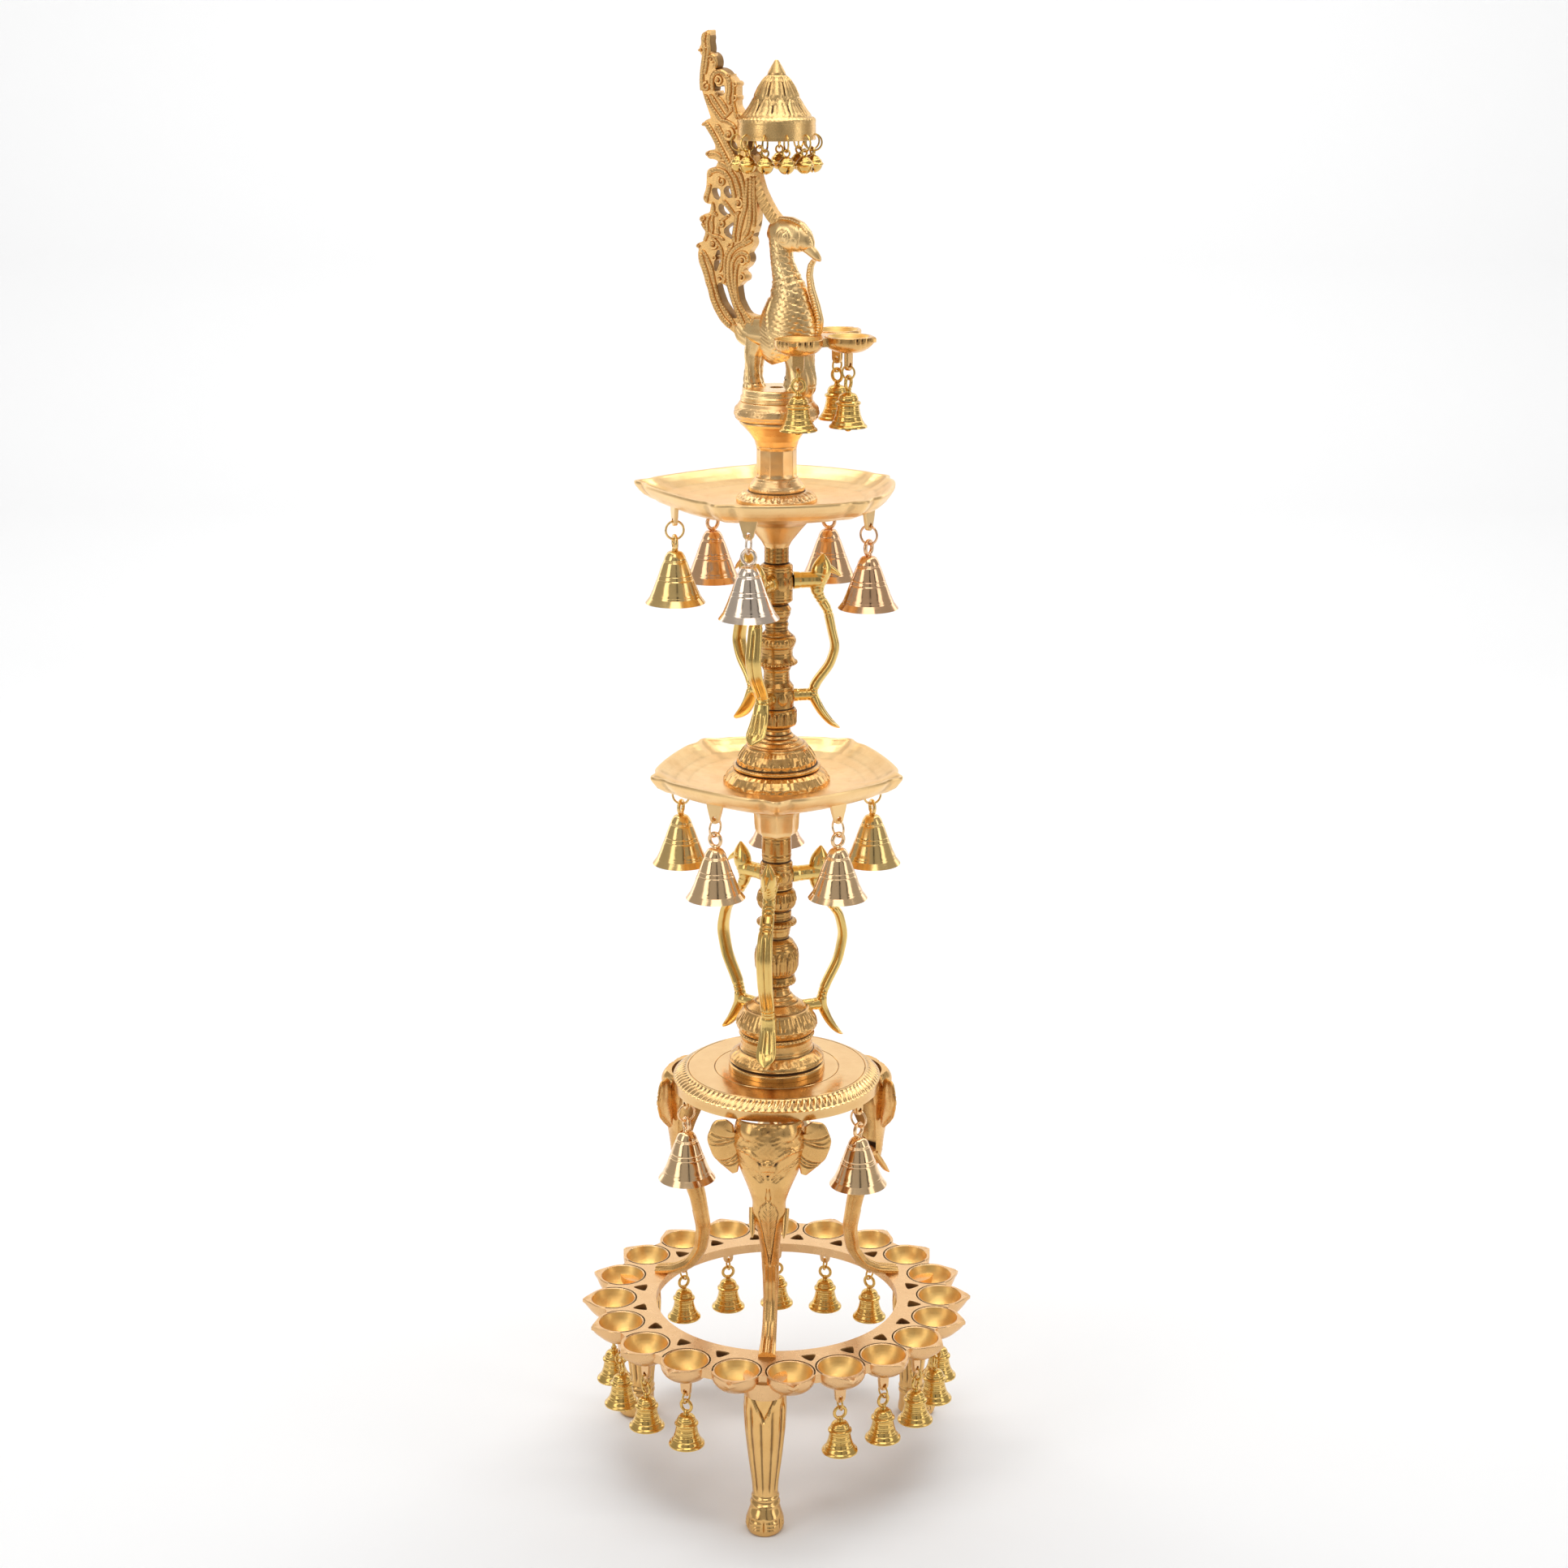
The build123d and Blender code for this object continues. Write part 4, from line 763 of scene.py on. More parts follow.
def mm_profile(base, points):
    """Radii and heights in millimetres above a base, as metres."""
    return [(r * MM, base + z * MM) for r, z in points]


def mm_relief(base, relief, smallest=0.0):
    """Relief in metres from one in millimetres, left out of the bore."""
    return lambda a, r, z: MM * relief(a, r / MM, (z - base) / MM) * (r > smallest * MM)


def column_piece(name, node_name, points, relief, finish="column_brass"):
    """Turn one length of the column, with its bore, and let it stand for its node."""
    base = foot_of(node_name)
    outline = mm_profile(base, ((ROD_BORE, points[0][1]), *points, (ROD_BORE, points[-1][1])))
    patch = lathe(fine(outline, PROFILE_STEP), 180, mm_relief(base, relief, ROD_BORE + 0.8), closed=True)
    return piece(name, [patch], finish, "stand", [node_name])


PEDESTAL = (
    (38.5, 0), (38.5, 4), (36.5, 6), (38.3, 8), (37, 11), (29.5, 17), (28.6, 21), (28.6, 26), (30, 29),
    (29.2, 31.5), (31.8, 35), (32.6, 38), (31.4, 42), (27.6, 48), (26.2, 51), (23.5, 52), (16, 58),
    (11.5, 63), (9.8, 67),
)


def pedestal_relief(angle, r, h):
    """Rope foot, a flange of small leaves, pearls above the neck and leaves round the bulb."""
    foot_rope = band(h, 0.4, 4.2, 0.6) * (rope(angle, h, 84, 0.7) - 0.6)
    flange = band(h, 9.5, 15.5, 0.8) * (petals(angle, (16 - h) / 7.5, 52) - 0.4)
    upper = band(h, 36, 50, 0.8) * (petals(angle, (50.5 - h) / 15.5, 20, 0.5, blunt=3) - 0.4)
    row = pearls(angle, h, r, 54, 29.7, 1.4)
    rings = lines(h, (5.4, 6.6, 8.6, 16.6, 18.2, 28.2, 31.2, 34.6, 51.6, 57, 60, 63), 0.6)
    return 0.35 * foot_rope + 0.5 * flange + 0.75 * upper + 0.6 * row - 0.45 * rings


column_piece("lotus_pedestal", "lower_pedestal", PEDESTAL, pedestal_relief, "cast_brass")

LOWER_PILLAR = (
    (9.8, 0), (10, 3), (14.6, 5), (15, 8), (14.4, 12), (16.8, 19), (17.4, 27), (16.4, 35), (13.4, 40),
    (9.6, 43), (10.4, 46), (11.8, 53), (15.3, 55), (15.3, 57), (11.9, 59), (11.9, 67), (14, 69),
    (15.5, 75), (14.2, 82), (11.6, 84), (12.8, 85), (12.8, 105), (11.8, 106.5), (11.8, 129),
)


def lower_pillar_relief(angle, r, h):
    """Leaves on the vase, pearls at its shoulder, chased bosses on the collar, turned lines between."""
    vase = band(h, 14, 34, 1.0) * (petals(angle, (h - 13) / 22, 12, blunt=3) - 0.3)
    crown = band(h, 69.5, 81.5, 0.8) * (petals(angle, (82 - h) / 13.5, 14, blunt=3) - 0.3)
    row = pearls(angle, h, r, 28, 56, 1.5) + pearls(angle, h, r, 26, 6.5, 1.6)
    bosses = pearls(angle, h, r, 9, 95, 4.2)
    turned_low = (1.5, 10, 12, 37, 39, 44.5, 48, 50, 61, 63.5, 66)
    turned_high = (87, 88.5, 102, 103.5, 110, 113, 124, 126.5)
    rings = lines(h, turned_low + turned_high, 0.55)
    solder = 0.5 * band(h, 106.5, 109.5, 0.5)
    return 0.8 * vase + 0.8 * crown + 0.8 * row + 1.1 * bosses - 0.45 * rings - solder


column_piece("lower_pillar_turned", "lower_pillar", LOWER_PILLAR, lower_pillar_relief)

UPPER_PEDESTAL = (
    (42, 0), (41.2, 3), (37.5, 8), (33, 11), (34.2, 12), (34.2, 14), (31, 15.5), (30.6, 19), (27.5, 25),
    (24, 29), (23.6, 31), (19.5, 33), (14, 37), (11.4, 40), (10.8, 42),
)


def upper_pedestal_relief(angle, r, h):
    """Leaves on the spreading foot, a roped flange, hanging leaves on the skirt."""
    cone = band(h, 0.8, 10.8, 0.6) * (petals(angle, (11.4 - h) / 12, 34, blunt=3) - 0.4)
    flange = band(h, 12, 14.2, 0.4) * (rope(angle, h, 72, 1.0) - 0.5)
    skirt = band(h, 15.8, 28.5, 0.8) * (petals(angle, (29 - h) / 14, 26, blunt=3) - 0.4)
    rings = lines(h, (11.4, 15.1, 30, 32, 34.5, 37, 39.5), 0.6)
    return 0.8 * cone + 0.5 * flange + 0.75 * skirt - 0.45 * rings


column_piece("petal_pedestal", "upper_pedestal", UPPER_PEDESTAL, upper_pedestal_relief, "cast_brass")

UPPER_PILLAR = (
    (10.8, 0), (10.8, 2), (15.3, 4.5), (15.3, 16.5), (13.5, 18), (13.5, 35), (10.4, 39), (10, 47),
    (12, 51), (15.8, 54), (12.6, 59), (12.6, 64), (14.4, 68), (14.4, 74), (10, 78), (8.6, 80), (9.4, 84),
    (8.6, 87), (10.6, 92), (11.4, 96), (8.8, 100), (12.5, 103), (12.5, 131), (9.4, 133), (9.4, 145),
)


def upper_pillar_relief(angle, r, h):
    """Leaves on the foot, bosses on both collars, pearls on the beads and turned lines between."""
    foot = band(h, 5, 16, 0.8) * (petals(angle, (h - 4) / 13, 16, blunt=3) - 0.3)
    bosses = pearls(angle, h, r, 8, 26.5, 4.4) + pearls(angle, h, r, 8, 117, 5.0)
    row = pearls(angle, h, r, 30, 54, 1.4) + pearls(angle, h, r, 24, 71, 1.9)
    turned_low = (2.5, 18.5, 20.5, 33, 34.5, 41, 43, 45, 49.5, 60.5, 62.5, 66)
    turned_high = (76, 82, 86, 90, 94, 105, 107, 127, 129, 136, 139, 142)
    rings = lines(h, turned_low + turned_high, 0.55)
    solder = 0.5 * band(h, 130, 133.5, 0.5)
    return 0.8 * foot + 1.1 * bosses + 0.8 * row - 0.45 * rings - solder


column_piece("upper_pillar_turned", "upper_pillar", UPPER_PILLAR, upper_pillar_relief)

FINIAL = (
    (31, 0), (31, 2.5), (27, 6), (21.5, 8), (21, 12), (18.5, 15), (15.6, 19), (15.2, 30), (15.2, 40),
    (17, 47), (20.5, 52), (25, 57), (28.3, 60), (28.6, 62), (31, 64), (32.2, 67), (31.6, 71), (29, 75),
    (28, 76.5),
)


def finial_relief(angle, r, h):
    """Leaves and a rope at the foot, flat facets on the stem and three ropes on the capital."""
    foot = band(h, 2.6, 7.8, 0.6) * (petals(angle, (8 - h) / 6, 34) - 0.4)
    ring = band(h, 8.4, 11.6, 0.5) * (rope(angle, h, 60, 0.9) - 0.5)
    facets = band(h, 19, 42, 2.0) * (np.cos(TAU / 20) / np.cos((angle % (TAU / 10)) - TAU / 20) - 1) * 14
    ropes = sum(
        band(h, low, high, 0.4) * (rope(angle, h, 76, slant) - 0.5)
        for low, high, slant in ((62.4, 65.4, 0.9), (65.9, 69.4, -0.9), (69.9, 73.2, 0.9))
    )
    rings = lines(h, (8.2, 12, 16.5, 18.5, 42.5, 60, 61.8), 0.55)
    return 0.8 * foot + 0.6 * ring + facets + 0.9 * ropes - 0.4 * rings


column_piece("finial_turned", "finial_stem", FINIAL, finial_relief, "spun_brass")

# %% Parasol
# closed loop: up the outside and down the hollow
CANOPY = (
    (26.8, 0), (29, 0), (29, 13), (28.2, 15), (26, 16.6), (23.2, 20), (20, 24.6), (17.6, 29), (16, 33),
    (13.8, 37.6), (10.6, 42.4), (7.6, 45.6), (6.9, 46.8), (6.4, 48.2), (3.7, 53), (1.2, 57), (0.4, 57),
    (0.4, 42), (5, 41), (10, 36.6), (13.4, 31), (16.6, 24), (22, 15.6), (26.8, 12),
)
# heights and radii of a line inside the wall, which parts the outside from the hollow
MID_WALL = (
    (14, 27.6), (16.6, 25.2), (20, 22.2), (24.6, 19), (33, 15), (37.6, 12.8), (42.4, 9.6), (45.6, 6.8),
)


def canopy_relief(angle, r, h):
    """Two rows of lotus leaves, a rope over the band, turned lines on the band and the tip."""
    outside = np.where(h < 14.2, r > 28, r > np.interp(h, *zip(*MID_WALL)))
    lower = band(h, 17, 30, 0.8) * (petals(angle, (h - 16) / 15, 11, blunt=2.5) - 0.4)
    upper = band(h, 30.8, 45.4, 0.8) * (petals(angle, (h - 30) / 16.5, 8, 0.5, blunt=4) - 0.4)
    ring = band(h, 13.2, 16.4, 0.5) * (rope(angle, h, 54, 0.9) - 0.5)
    rings = lines(h, (2.0, 11.6, 46.6, 49, 51, 53), 0.5)
    return (0.75 * lower + 0.85 * upper + 0.8 * ring - 0.4 * rings) * outside


canopy = foot_of("parasol")
canopy_profile = fine(mm_profile(canopy, CANOPY), PROFILE_STEP)
canopy_patch = lathe(canopy_profile, 200, mm_relief(canopy, canopy_relief), closed=True)
piece("parasol_canopy", [canopy_patch], "chased_brass", "stand", ["parasol"])
print("turned the column")

# %% [markdown]
# ## Cast figures
# Legs, elephants, birds and the peacock are cast, so they are sections carried along a path. A section
# is an ellipse whose halves change along the path, and engraved lines and raised ornament are a
# relief over the face, measured in millimetres sideways and upwards. They could be sculpted by hand;
# stations and formulas can be read, measured and changed.


# %% Sections carried along a path
def unit(vectors):
    """Vectors divided by their lengths."""
    return vectors / np.maximum(np.linalg.norm(vectors, axis=-1, keepdims=True), 1e-9)


def eased(stations, rows, passes=12):
    """Stations sampled at even steps of their path length, then averaged with their neighbours."""
    stations = np.array(stations, float)
    runs = np.linalg.norm(np.diff(stations[:, :3], axis=0), axis=1)
    along = np.concatenate(([0], np.cumsum(runs))) / runs.sum()
    t = np.linspace(0, 1, rows)
    dense = np.stack([np.interp(t, along, column) for column in stations.T], -1)
    for _ in range(passes):
        dense[1:-1] = (dense[:-2] + 2 * dense[1:-1] + dense[2:]) / 4
    return dense


def carried(stations, rows, cols, front, relief=None, hollow=None, passes=12):
    """Carry an ellipse along a path: point = centre + side * w cos a + front * d sin a.

    A station is (x, y, z, half width w, half depth d) in millimetres. relief(t, a, point) pushes a
    point away from the path in millimetres, and hollow(t) draws the back half in to make a shell."""
    dense = eased(stations, rows, passes)
    centre = dense[:, :3]
    way = unit(np.gradient(centre, axis=0))
    side = unit(np.cross(way, np.array(front, float)))
    ahead = np.cross(side, way)
    a = np.linspace(0, TAU, cols, endpoint=False)[None, :]
    t = np.linspace(0, 1, rows)[:, None]
    across = np.cos(a) * dense[:, 3:4]
    deep = np.sin(a) * dense[:, 4:5]
    if hollow is not None:
        shell = hollow(t)
        inner = np.maximum(-deep - 2.4, -0.6) * 0.94
        deep = np.where(np.sin(a) < 0, deep * (1 - shell) + inner * shell, deep)
    points = centre[:, None] + side[:, None] * across[..., None] + ahead[:, None] * deep[..., None]
    if relief is not None:
        out = unit(side[:, None] * np.cos(a)[..., None] + ahead[:, None] * np.sin(a)[..., None])
        points = points + out * relief(t, a, points)[..., None]
    return sheet(points * MM)


def strokes(p, q, paths, width):
    """1 on drawn lines, falling to 0 at their half width: 1 - distance to the nearest segment / width."""
    nearest = np.full(np.broadcast(p, q).shape, 1e9)
    for path in paths:
        for (p0, q0), (p1, q1) in zip(path, path[1:]):
            run = (p1 - p0) ** 2 + (q1 - q0) ** 2
            t = np.clip(((p - p0) * (p1 - p0) + (q - q0) * (q1 - q0)) / run, 0, 1)
            nearest = np.minimum(nearest, np.hypot(p - p0 - t * (p1 - p0), q - q0 - t * (q1 - q0)))
    return np.clip(1 - nearest / width, 0, 1)


def inside_polygon(p, q, corners):
    """Even-odd rule: count the edges crossed by a line from the point."""
    odd = np.zeros(np.broadcast(p, q).shape, bool)
    for (p0, q0), (p1, q1) in zip(corners, corners[1:] + corners[:1]):
        crosses = (q0 > q) != (q1 > q)
        odd ^= crosses & (p < (p1 - p0) * (q - q0) / ((q1 - q0) or 1e-9) + p0)
    return odd


def mirrored(paths):
    """Paths and their mirror images in p = 0."""
    return list(paths) + [[(-p, q) for p, q in path] for path in paths]


def boss(p, q, p0, q0, size):
    """Half ball on the face: square root of 1 - (distance / size)^2."""
    return np.sqrt(np.clip(1 - ((p - p0) ** 2 + (q - q0) ** 2) / size**2, 0, 1))


# %% [markdown]
# ### Elephant heads
# Each head is a thin shell, open at the back, whose trunk runs down and out to the ring. The forehead
# wears a chased cloth with a beaded edge and a medallion, and a feather is engraved down the trunk.

# %% Elephant relief and body
head_top = top_of("elephant_bracket_front") / MM
ring_top = top_of("diya_ring") / MM
# radius and height above the ring, half depth and half width, from the trunk's tip to the crown
TRUNK = (
    (110.5, 0.7, 4.2, 7.0), (93, 5, 4.6, 6.2), (80, 13, 4.8, 5.8), (70, 28.5, 5.2, 5.8),
    (67.5, 48.5, 6.0, 6.4), (73, 75.5, 6.8, 7.4), (80, 96.5, 8.2, 9.6), (84.5, 111.5, 9.6, 14.0),
    (85.5, 122.5, 11, 12.6), (83.5, 133, 15, 16.6), (78.5, 148.5, 21, 24), (76, 164.5, 24.5, 28.5),
    (76, 179.5, 23.5, 28.5), (75, 188.4, 20, 26),
)
elephant_stations = [(r, 0, ring_top + h, wide, deep) for r, h, deep, wide in TRUNK]
CLOTH_EDGE = [
    (-28, -21), (-22, -20.5), (-14, -22), (-6, -27), (0, -31), (6, -27), (14, -22), (22, -20.5),
    (28, -21),
]
BROWS = mirrored(
    [[(26, -26), (14, -33), (3, -42)], [(25, -29), (14, -36), (4, -44)], [(23, -32), (14, -39), (6, -45)]]
)
FEATHER = [
    (0, -61), (-6, -67), (-8, -74), (-6, -84), (-4, -98), (-2, -114), (0, -126), (2, -114), (4, -98),
    (6, -84), (8, -74), (6, -67),
]


ROSETTES = ((-15.5, -3.5), (15.5, -3.5))


def elephant_relief(t, a, points):
    """Cloth, rosettes, medallion, brows and feather, over sideways p and depth q below the crown."""
    p = points[..., 1]
    q = points[..., 2] - head_top
    front = np.clip(np.sin(a) * 2.5, 0, 1)
    edge_q = np.interp(np.abs(p), *zip(*CLOTH_EDGE[4:]))
    cloth = np.clip((q - edge_q) / 0.6, 0, 1)
    weave = np.abs(((p / 4.4 + np.abs((q / 4.6) % 2 - 1)) % 1) - 0.5) * 2
    hem = np.exp(-((q - edge_q) / 0.9) ** 2) * (0.65 + 0.35 * np.cos(p * TAU / 1.7))
    second_hem = np.exp(-((q - edge_q - 2.6) / 0.5) ** 2)
    rosette = 0.0
    for p0, q0 in ROSETTES:
        distance = np.hypot(p - p0, q - q0)
        fan = 0.5 + 0.5 * np.cos(np.arctan2(q - q0, p - p0) * 22)
        ring = np.clip(1 - np.abs(distance - 9.2), 0, 1) + np.clip(1 - np.abs(distance - 13.6) / 0.8, 0, 1)
        rosette = rosette + 2.6 * boss(p, q, p0, q0, 7.6) + 0.8 * ring
        rosette = rosette + 0.6 * fan * (distance > 9.6) * (distance < 13)
    rosette = rosette * (q > edge_q + 3)
    from_medal = np.hypot(p / 0.8, q + 32)
    medal = 2.0 * boss(p / 0.8, q, 0, -32, 6.6)
    medal = medal - 0.9 * strokes(from_medal, 0 * q, [[(4.4, 0), (4.41, 0)]], 0.8)
    pendant = 1.1 * strokes(p, q, [[(-3.4, -38), (0, -45), (3.4, -38)]], 1.1)
    brows = strokes(p, q, BROWS, 0.9)
    feather = inside_polygon(p, q, FEATHER)
    barbs = np.abs(((np.abs(p) * 1.3 - q) / 2.3) % 1 - 0.5) * 2
    spine = strokes(p, q, [[(0, -62), (0, -126)]], 0.8)
    rim = strokes(p, q, [FEATHER + FEATHER[:1]], 0.9)
    nose = strokes(p, q, mirrored([[(1.4, -50), (1.8, -60)]]), 0.8)
    low_trunk = (q < -126) * 0.35 * np.cos(p * TAU / 3.6)
    crown_slot = -1.6 * np.clip(1 - np.abs(p) / 5.5, 0, 1) * np.clip((q + 7) / 3, 0, 1)
    height = (
        cloth * (0.5 + 0.45 * weave) * (rosette == 0)
        + rosette
        + 1.2 * hem
        + 0.8 * second_hem
        + medal * (np.abs(p) < 6)
        + pendant
        - 0.9 * brows
        + feather * (0.6 - 0.8 * barbs)
        + 0.8 * spine
        - 0.8 * rim
        - 1.2 * nose
        + low_trunk
        + crown_slot
    )
    return height * front


def head_is_hollow(t):
    """1 in the head and 0 in the trunk."""
    return np.clip((t - 0.60) / 0.06, 0, 1)


# sideways and down from the crown, half width, half depth; the root and the tusk begin with their radius
EAR = (
    (31, -1, 4.0, 1.8), (35, -6, 10.5, 2.8), (36.5, -15, 12.4, 3.2),
    (34, -25, 11.4, 3.0), (30, -34, 8.0, 2.6), (27, -43, 2.4, 1.5),
)
EAR_ROOT = ((82, 18, -21, 9.5, 3.0), (83, 26, -20, 8.5, 2.6), (83, 34, -19, 6.0, 2.0))
TUSK = (
    (84, 13, 116, 3.0, 2.6), (89, 13, 108, 2.7, 2.7), (93.5, 12.6, 101, 2.3, 2.3),
    (97.5, 12.4, 96.5, 0.6, 0.6),
)


def ear_relief(t, a, points):
    """Rows of grooves near the top and near the lower tip, bowed like the edge of the ear."""
    bow = t + 0.05 * np.cos(a) ** 2
    grooves = lines(bow, (0.30, 0.36, 0.42, 0.72, 0.78, 0.84), 0.02)
    return -0.9 * grooves * (np.sin(a) > 0)


def elephant_patches():
    """Body with trunk, two ears with their roots, two tusks."""
    patches = [carried(elephant_stations, 270, 122, (1, 0, 0), elephant_relief, head_is_hollow, passes=30)]
    for side in (1, -1):
        ear = [(83.5, side * y, head_top + q, wide, deep) for y, q, wide, deep in EAR]
        patches.append(carried(ear, 80, 40, (1, 0, 0), ear_relief, passes=4))
        root = [(r, side * y, head_top + q, wide, deep) for r, y, q, wide, deep in EAR_ROOT]
        patches.append(carried(root, 16, 32, (1, 0, 0), passes=2))
        tusk = [(r, side * y, ring_top + h, wide, deep) for r, y, h, wide, deep in TUSK]
        patches.append(carried(tusk, 26, 20, (1, 0, 0), passes=3))
    return patches


ELEPHANT = elephant_patches()
for place, heading in zip(("front", "right", "left"), leg_headings):
    node_name = f"elephant_bracket_{place}"
    piece(f"{node_name}_chased", placed(ELEPHANT, heading), "cast_brass", "stand", [node_name])
print("elephants", sum(len(p[1]) for p in ELEPHANT), "quads each")

# %% [markdown]
# ### Paw legs
# A short cabriole leg with upright flutes, a narrow ankle and a paw with four toes. Flutes and toes are
# waves in the angle round the leg, so they follow its swelling.

# %% Legs
LEG_R = 128.0
# out from the leg's axis, height, half width, half depth, from the paw up
LEG = (
    (5, 0.3, 12.5, 13.0), (5.2, 1.8, 14.6, 15.6), (5.5, 5.0, 15.4, 16.0), (4.5, 12.0, 14.6, 15.0),
    (2.0, 20.0, 11.6, 12.2), (0.3, 28.0, 10.0, 10.2), (0, 38.0, 10.6, 10.4), (0, 60.0, 13.5, 13.0),
    (0, 85.0, 16.2, 16.0), (0, 104.0, 17.2, 17.0), (0, 118.0, 16.6, 16.6),
)
leg_stations = [(LEG_R + out, 0, z, wide, deep) for out, z, wide, deep in LEG]


def leg_relief(t, a, points):
    """Flutes from the ankle up, a V notch between two lips at the top, toes and claws at the foot."""
    z = points[..., 2]
    p = points[..., 1]
    outer = np.clip(np.sin(a) * 1.6 + 0.35, 0, 1)
    flute = band(z, 30, 113, 7.0) * -1.3 * (0.5 + 0.5 * np.cos(a * 11)) ** 2
    toe = (np.abs(np.sin((a - math.pi / 2) * 3.0)) ** 0.5 - 0.75) * 2.4 * band(z, 1.5, 15, 4.0)
    claws = -0.8 * lines(z, (4.5, 7.0, 9.5, 12.5), 0.9) * (np.abs(np.sin((a - math.pi / 2) * 3.0)) > 0.45)
    ankle = 0.9 * (np.exp(-((z - 23) / 1.6) ** 2) + np.exp(-((z - 27.5) / 1.2) ** 2))
    notch = -2.0 * strokes(p, z, [[(-9, 118), (0, 99), (9, 118)]], 1.6) * outer
    return flute + (toe + claws) * outer + ankle + notch


leg_points, leg_quads, leg_ends = carried(leg_stations, 150, 112, (1, 0, 0), leg_relief, passes=10)
leg_points[:, 2] = np.maximum(leg_points[:, 2], 0.2 * MM)
leg = (leg_points, leg_quads, leg_ends)
tenon_top = top_of("paw_legs")
tenon = lathe([(5 * MM, 117 * MM), (5 * MM, tenon_top)], 32, centre=(LEG_R * MM, 0))
leg_patches = [patch for heading in leg_headings for patch in placed([leg, tenon], heading)]
piece("fluted_legs", leg_patches, "leg_brass", "stand", ["paw_legs"])

# %% [markdown]
# ### Bird brackets
# S-shaped birds between the column's collars: a crested head with a beak, a bowed body with a central
# groove, and a tail leaf with stripes, held by two round arms. Four turning points bend the same bird to
# fit both tiers.

# %% Birds
def bird_relief(t, a, points):
    """Groove down the outer face, barbs beside it, rings at the neck, stripes on the tail leaf."""
    outer = np.clip(np.sin(a) * 3, 0, 1)
    aside = np.abs(np.cos(a))
    groove = -1.1 * np.clip(1 - aside / 0.22, 0, 1) * outer * band(t, 0.34, 0.74, 0.03)
    edge = -0.5 * np.clip(1 - np.abs(aside - 0.62) / 0.14, 0, 1) * outer * band(t, 0.30, 0.80, 0.03)
    neck = -0.7 * lines(t, (0.205, 0.225, 0.245, 0.30, 0.32), 0.008)
    waist = -0.7 * lines(t, (0.735, 0.75, 0.765), 0.008)
    leaf = -0.9 * np.abs(np.sin(np.cos(a) * 9)) * outer * band(t, 0.80, 0.97, 0.04)
    feathers = -0.6 * np.abs(np.sin(t * 160 + aside * 4)) * band(t, 0.09, 0.19, 0.02)
    return groove + edge + neck + waist + leaf + feathers


def arm_relief(t, a, points):
    """Two turned lines near each end of an arm."""
    return -0.5 * lines(t, (0.25, 0.32, 0.68, 0.75), 0.03) + 0 * a


# out from the head's middle, up, half width, half depth; sideways place and size
BEAK = ((3, 5, 2.8, 3.4), (8, 2.5, 2.4, 2.8), (12, 0, 1.6, 1.8), (15, -3, 0.6, 0.7))
EYE = ((4.4, 2.0), (5.4, 1.9), (6.3, 0.7))


def bird_patches(head, belly, waist, foot, root_r, head_arm, foot_arm):
    """Spine from the crest down to the tail leaf, beak, eyes and two arms."""
    (head_r, head_z), (belly_r, belly_z), (waist_r, waist_z), (foot_r, foot_z) = head, belly, waist, foot
    drop, rise = head_z - belly_z, belly_z - waist_z
    spine = [
        (head_r + 1.5, head_z + 15, 0.8, 0.8),
        (head_r + 1, head_z + 12, 3.4, 4.2),
        (head_r + 1, head_z + 7, 5.6, 7.6),
        (head_r, head_z + 1, 6.6, 8.4),
        (head_r - 2.5, head_z - 6, 6.2, 7.0),
        (head_r - 4, head_z - 13, 5.4, 5.2),
        (head_r - 1, head_z - 20, 5.0, 3.8),
        (head_r + 5, head_z - 15 - 0.3 * (drop - 15), 5.4, 3.8),
        (belly_r - 4, belly_z + 0.3 * drop, 6.0, 3.6),
        (belly_r, belly_z, 6.4, 3.6),
        (belly_r - 4.5, belly_z - 0.38 * rise, 6.0, 3.6),
        (waist_r + 3.5, waist_z + 0.24 * rise, 5.6, 3.8),
        (waist_r, waist_z, 5.6, 4.2),
        ((2 * waist_r + foot_r) / 3 + 0.5, (waist_z + foot_z) / 2 - 1, 7.4, 3.4),
        ((waist_r + 2 * foot_r) / 3 + 1.5, foot_z + 3, 8.4, 2.6),
        (foot_r, foot_z, 4.6, 1.4),
        (foot_r + 1, foot_z - 1, 0.8, 0.6),
    ]
    stations = [(r, 0, z, wide, deep) for r, z, wide, deep in spine]
    patches = [carried(stations, 180, 44, (1, 0, 0), bird_relief, passes=34)]
    beak = [(head_r + out, 0, head_z + up, wide, deep) for out, up, wide, deep in BEAK]
    patches.append(carried(beak, 26, 24, (0, 0, 1), passes=3))
    for side in (1, -1):
        eye = [(head_r + 1.5, side * y, head_z + 5, size, size) for y, size in EYE]
        patches.append(carried(eye, 10, 20, (1, 0, 0), passes=1))
    for z, end, arm_r in ((head_arm, head_r - 1.5, 6.8), (foot_arm, waist_r + 1, 5.2)):
        arm = [(root_r, 0, z, arm_r, arm_r)]
        arm += [((root_r + end) / 2, 0, z, arm_r * 0.9, arm_r * 0.9), (end, 0, z, arm_r, arm_r)]
        patches.append(carried(arm, 24, 24, (0, 0, 1), arm_relief, passes=2))
    return patches


LOWER_BIRD = bird_patches((36, 508), (57, 447), (37.5, 391), (56, 362), 12.2, 502, 390)
UPPER_BIRD = bird_patches((35, 745), (46.5, 686), (27.5, 650), (49, 622), 12.9, 740, 649)
for name, bird, headings in (
    ("lower_bird_brackets", LOWER_BIRD, (-100, 20, 140)),
    ("upper_bird_brackets", UPPER_BIRD, (-113, 10, 130)),
):
    patches = [p for a in headings for p in placed(bird, math.radians(a))]
    piece(f"{name}_chased", patches, "bird_brass", "stand", [name])

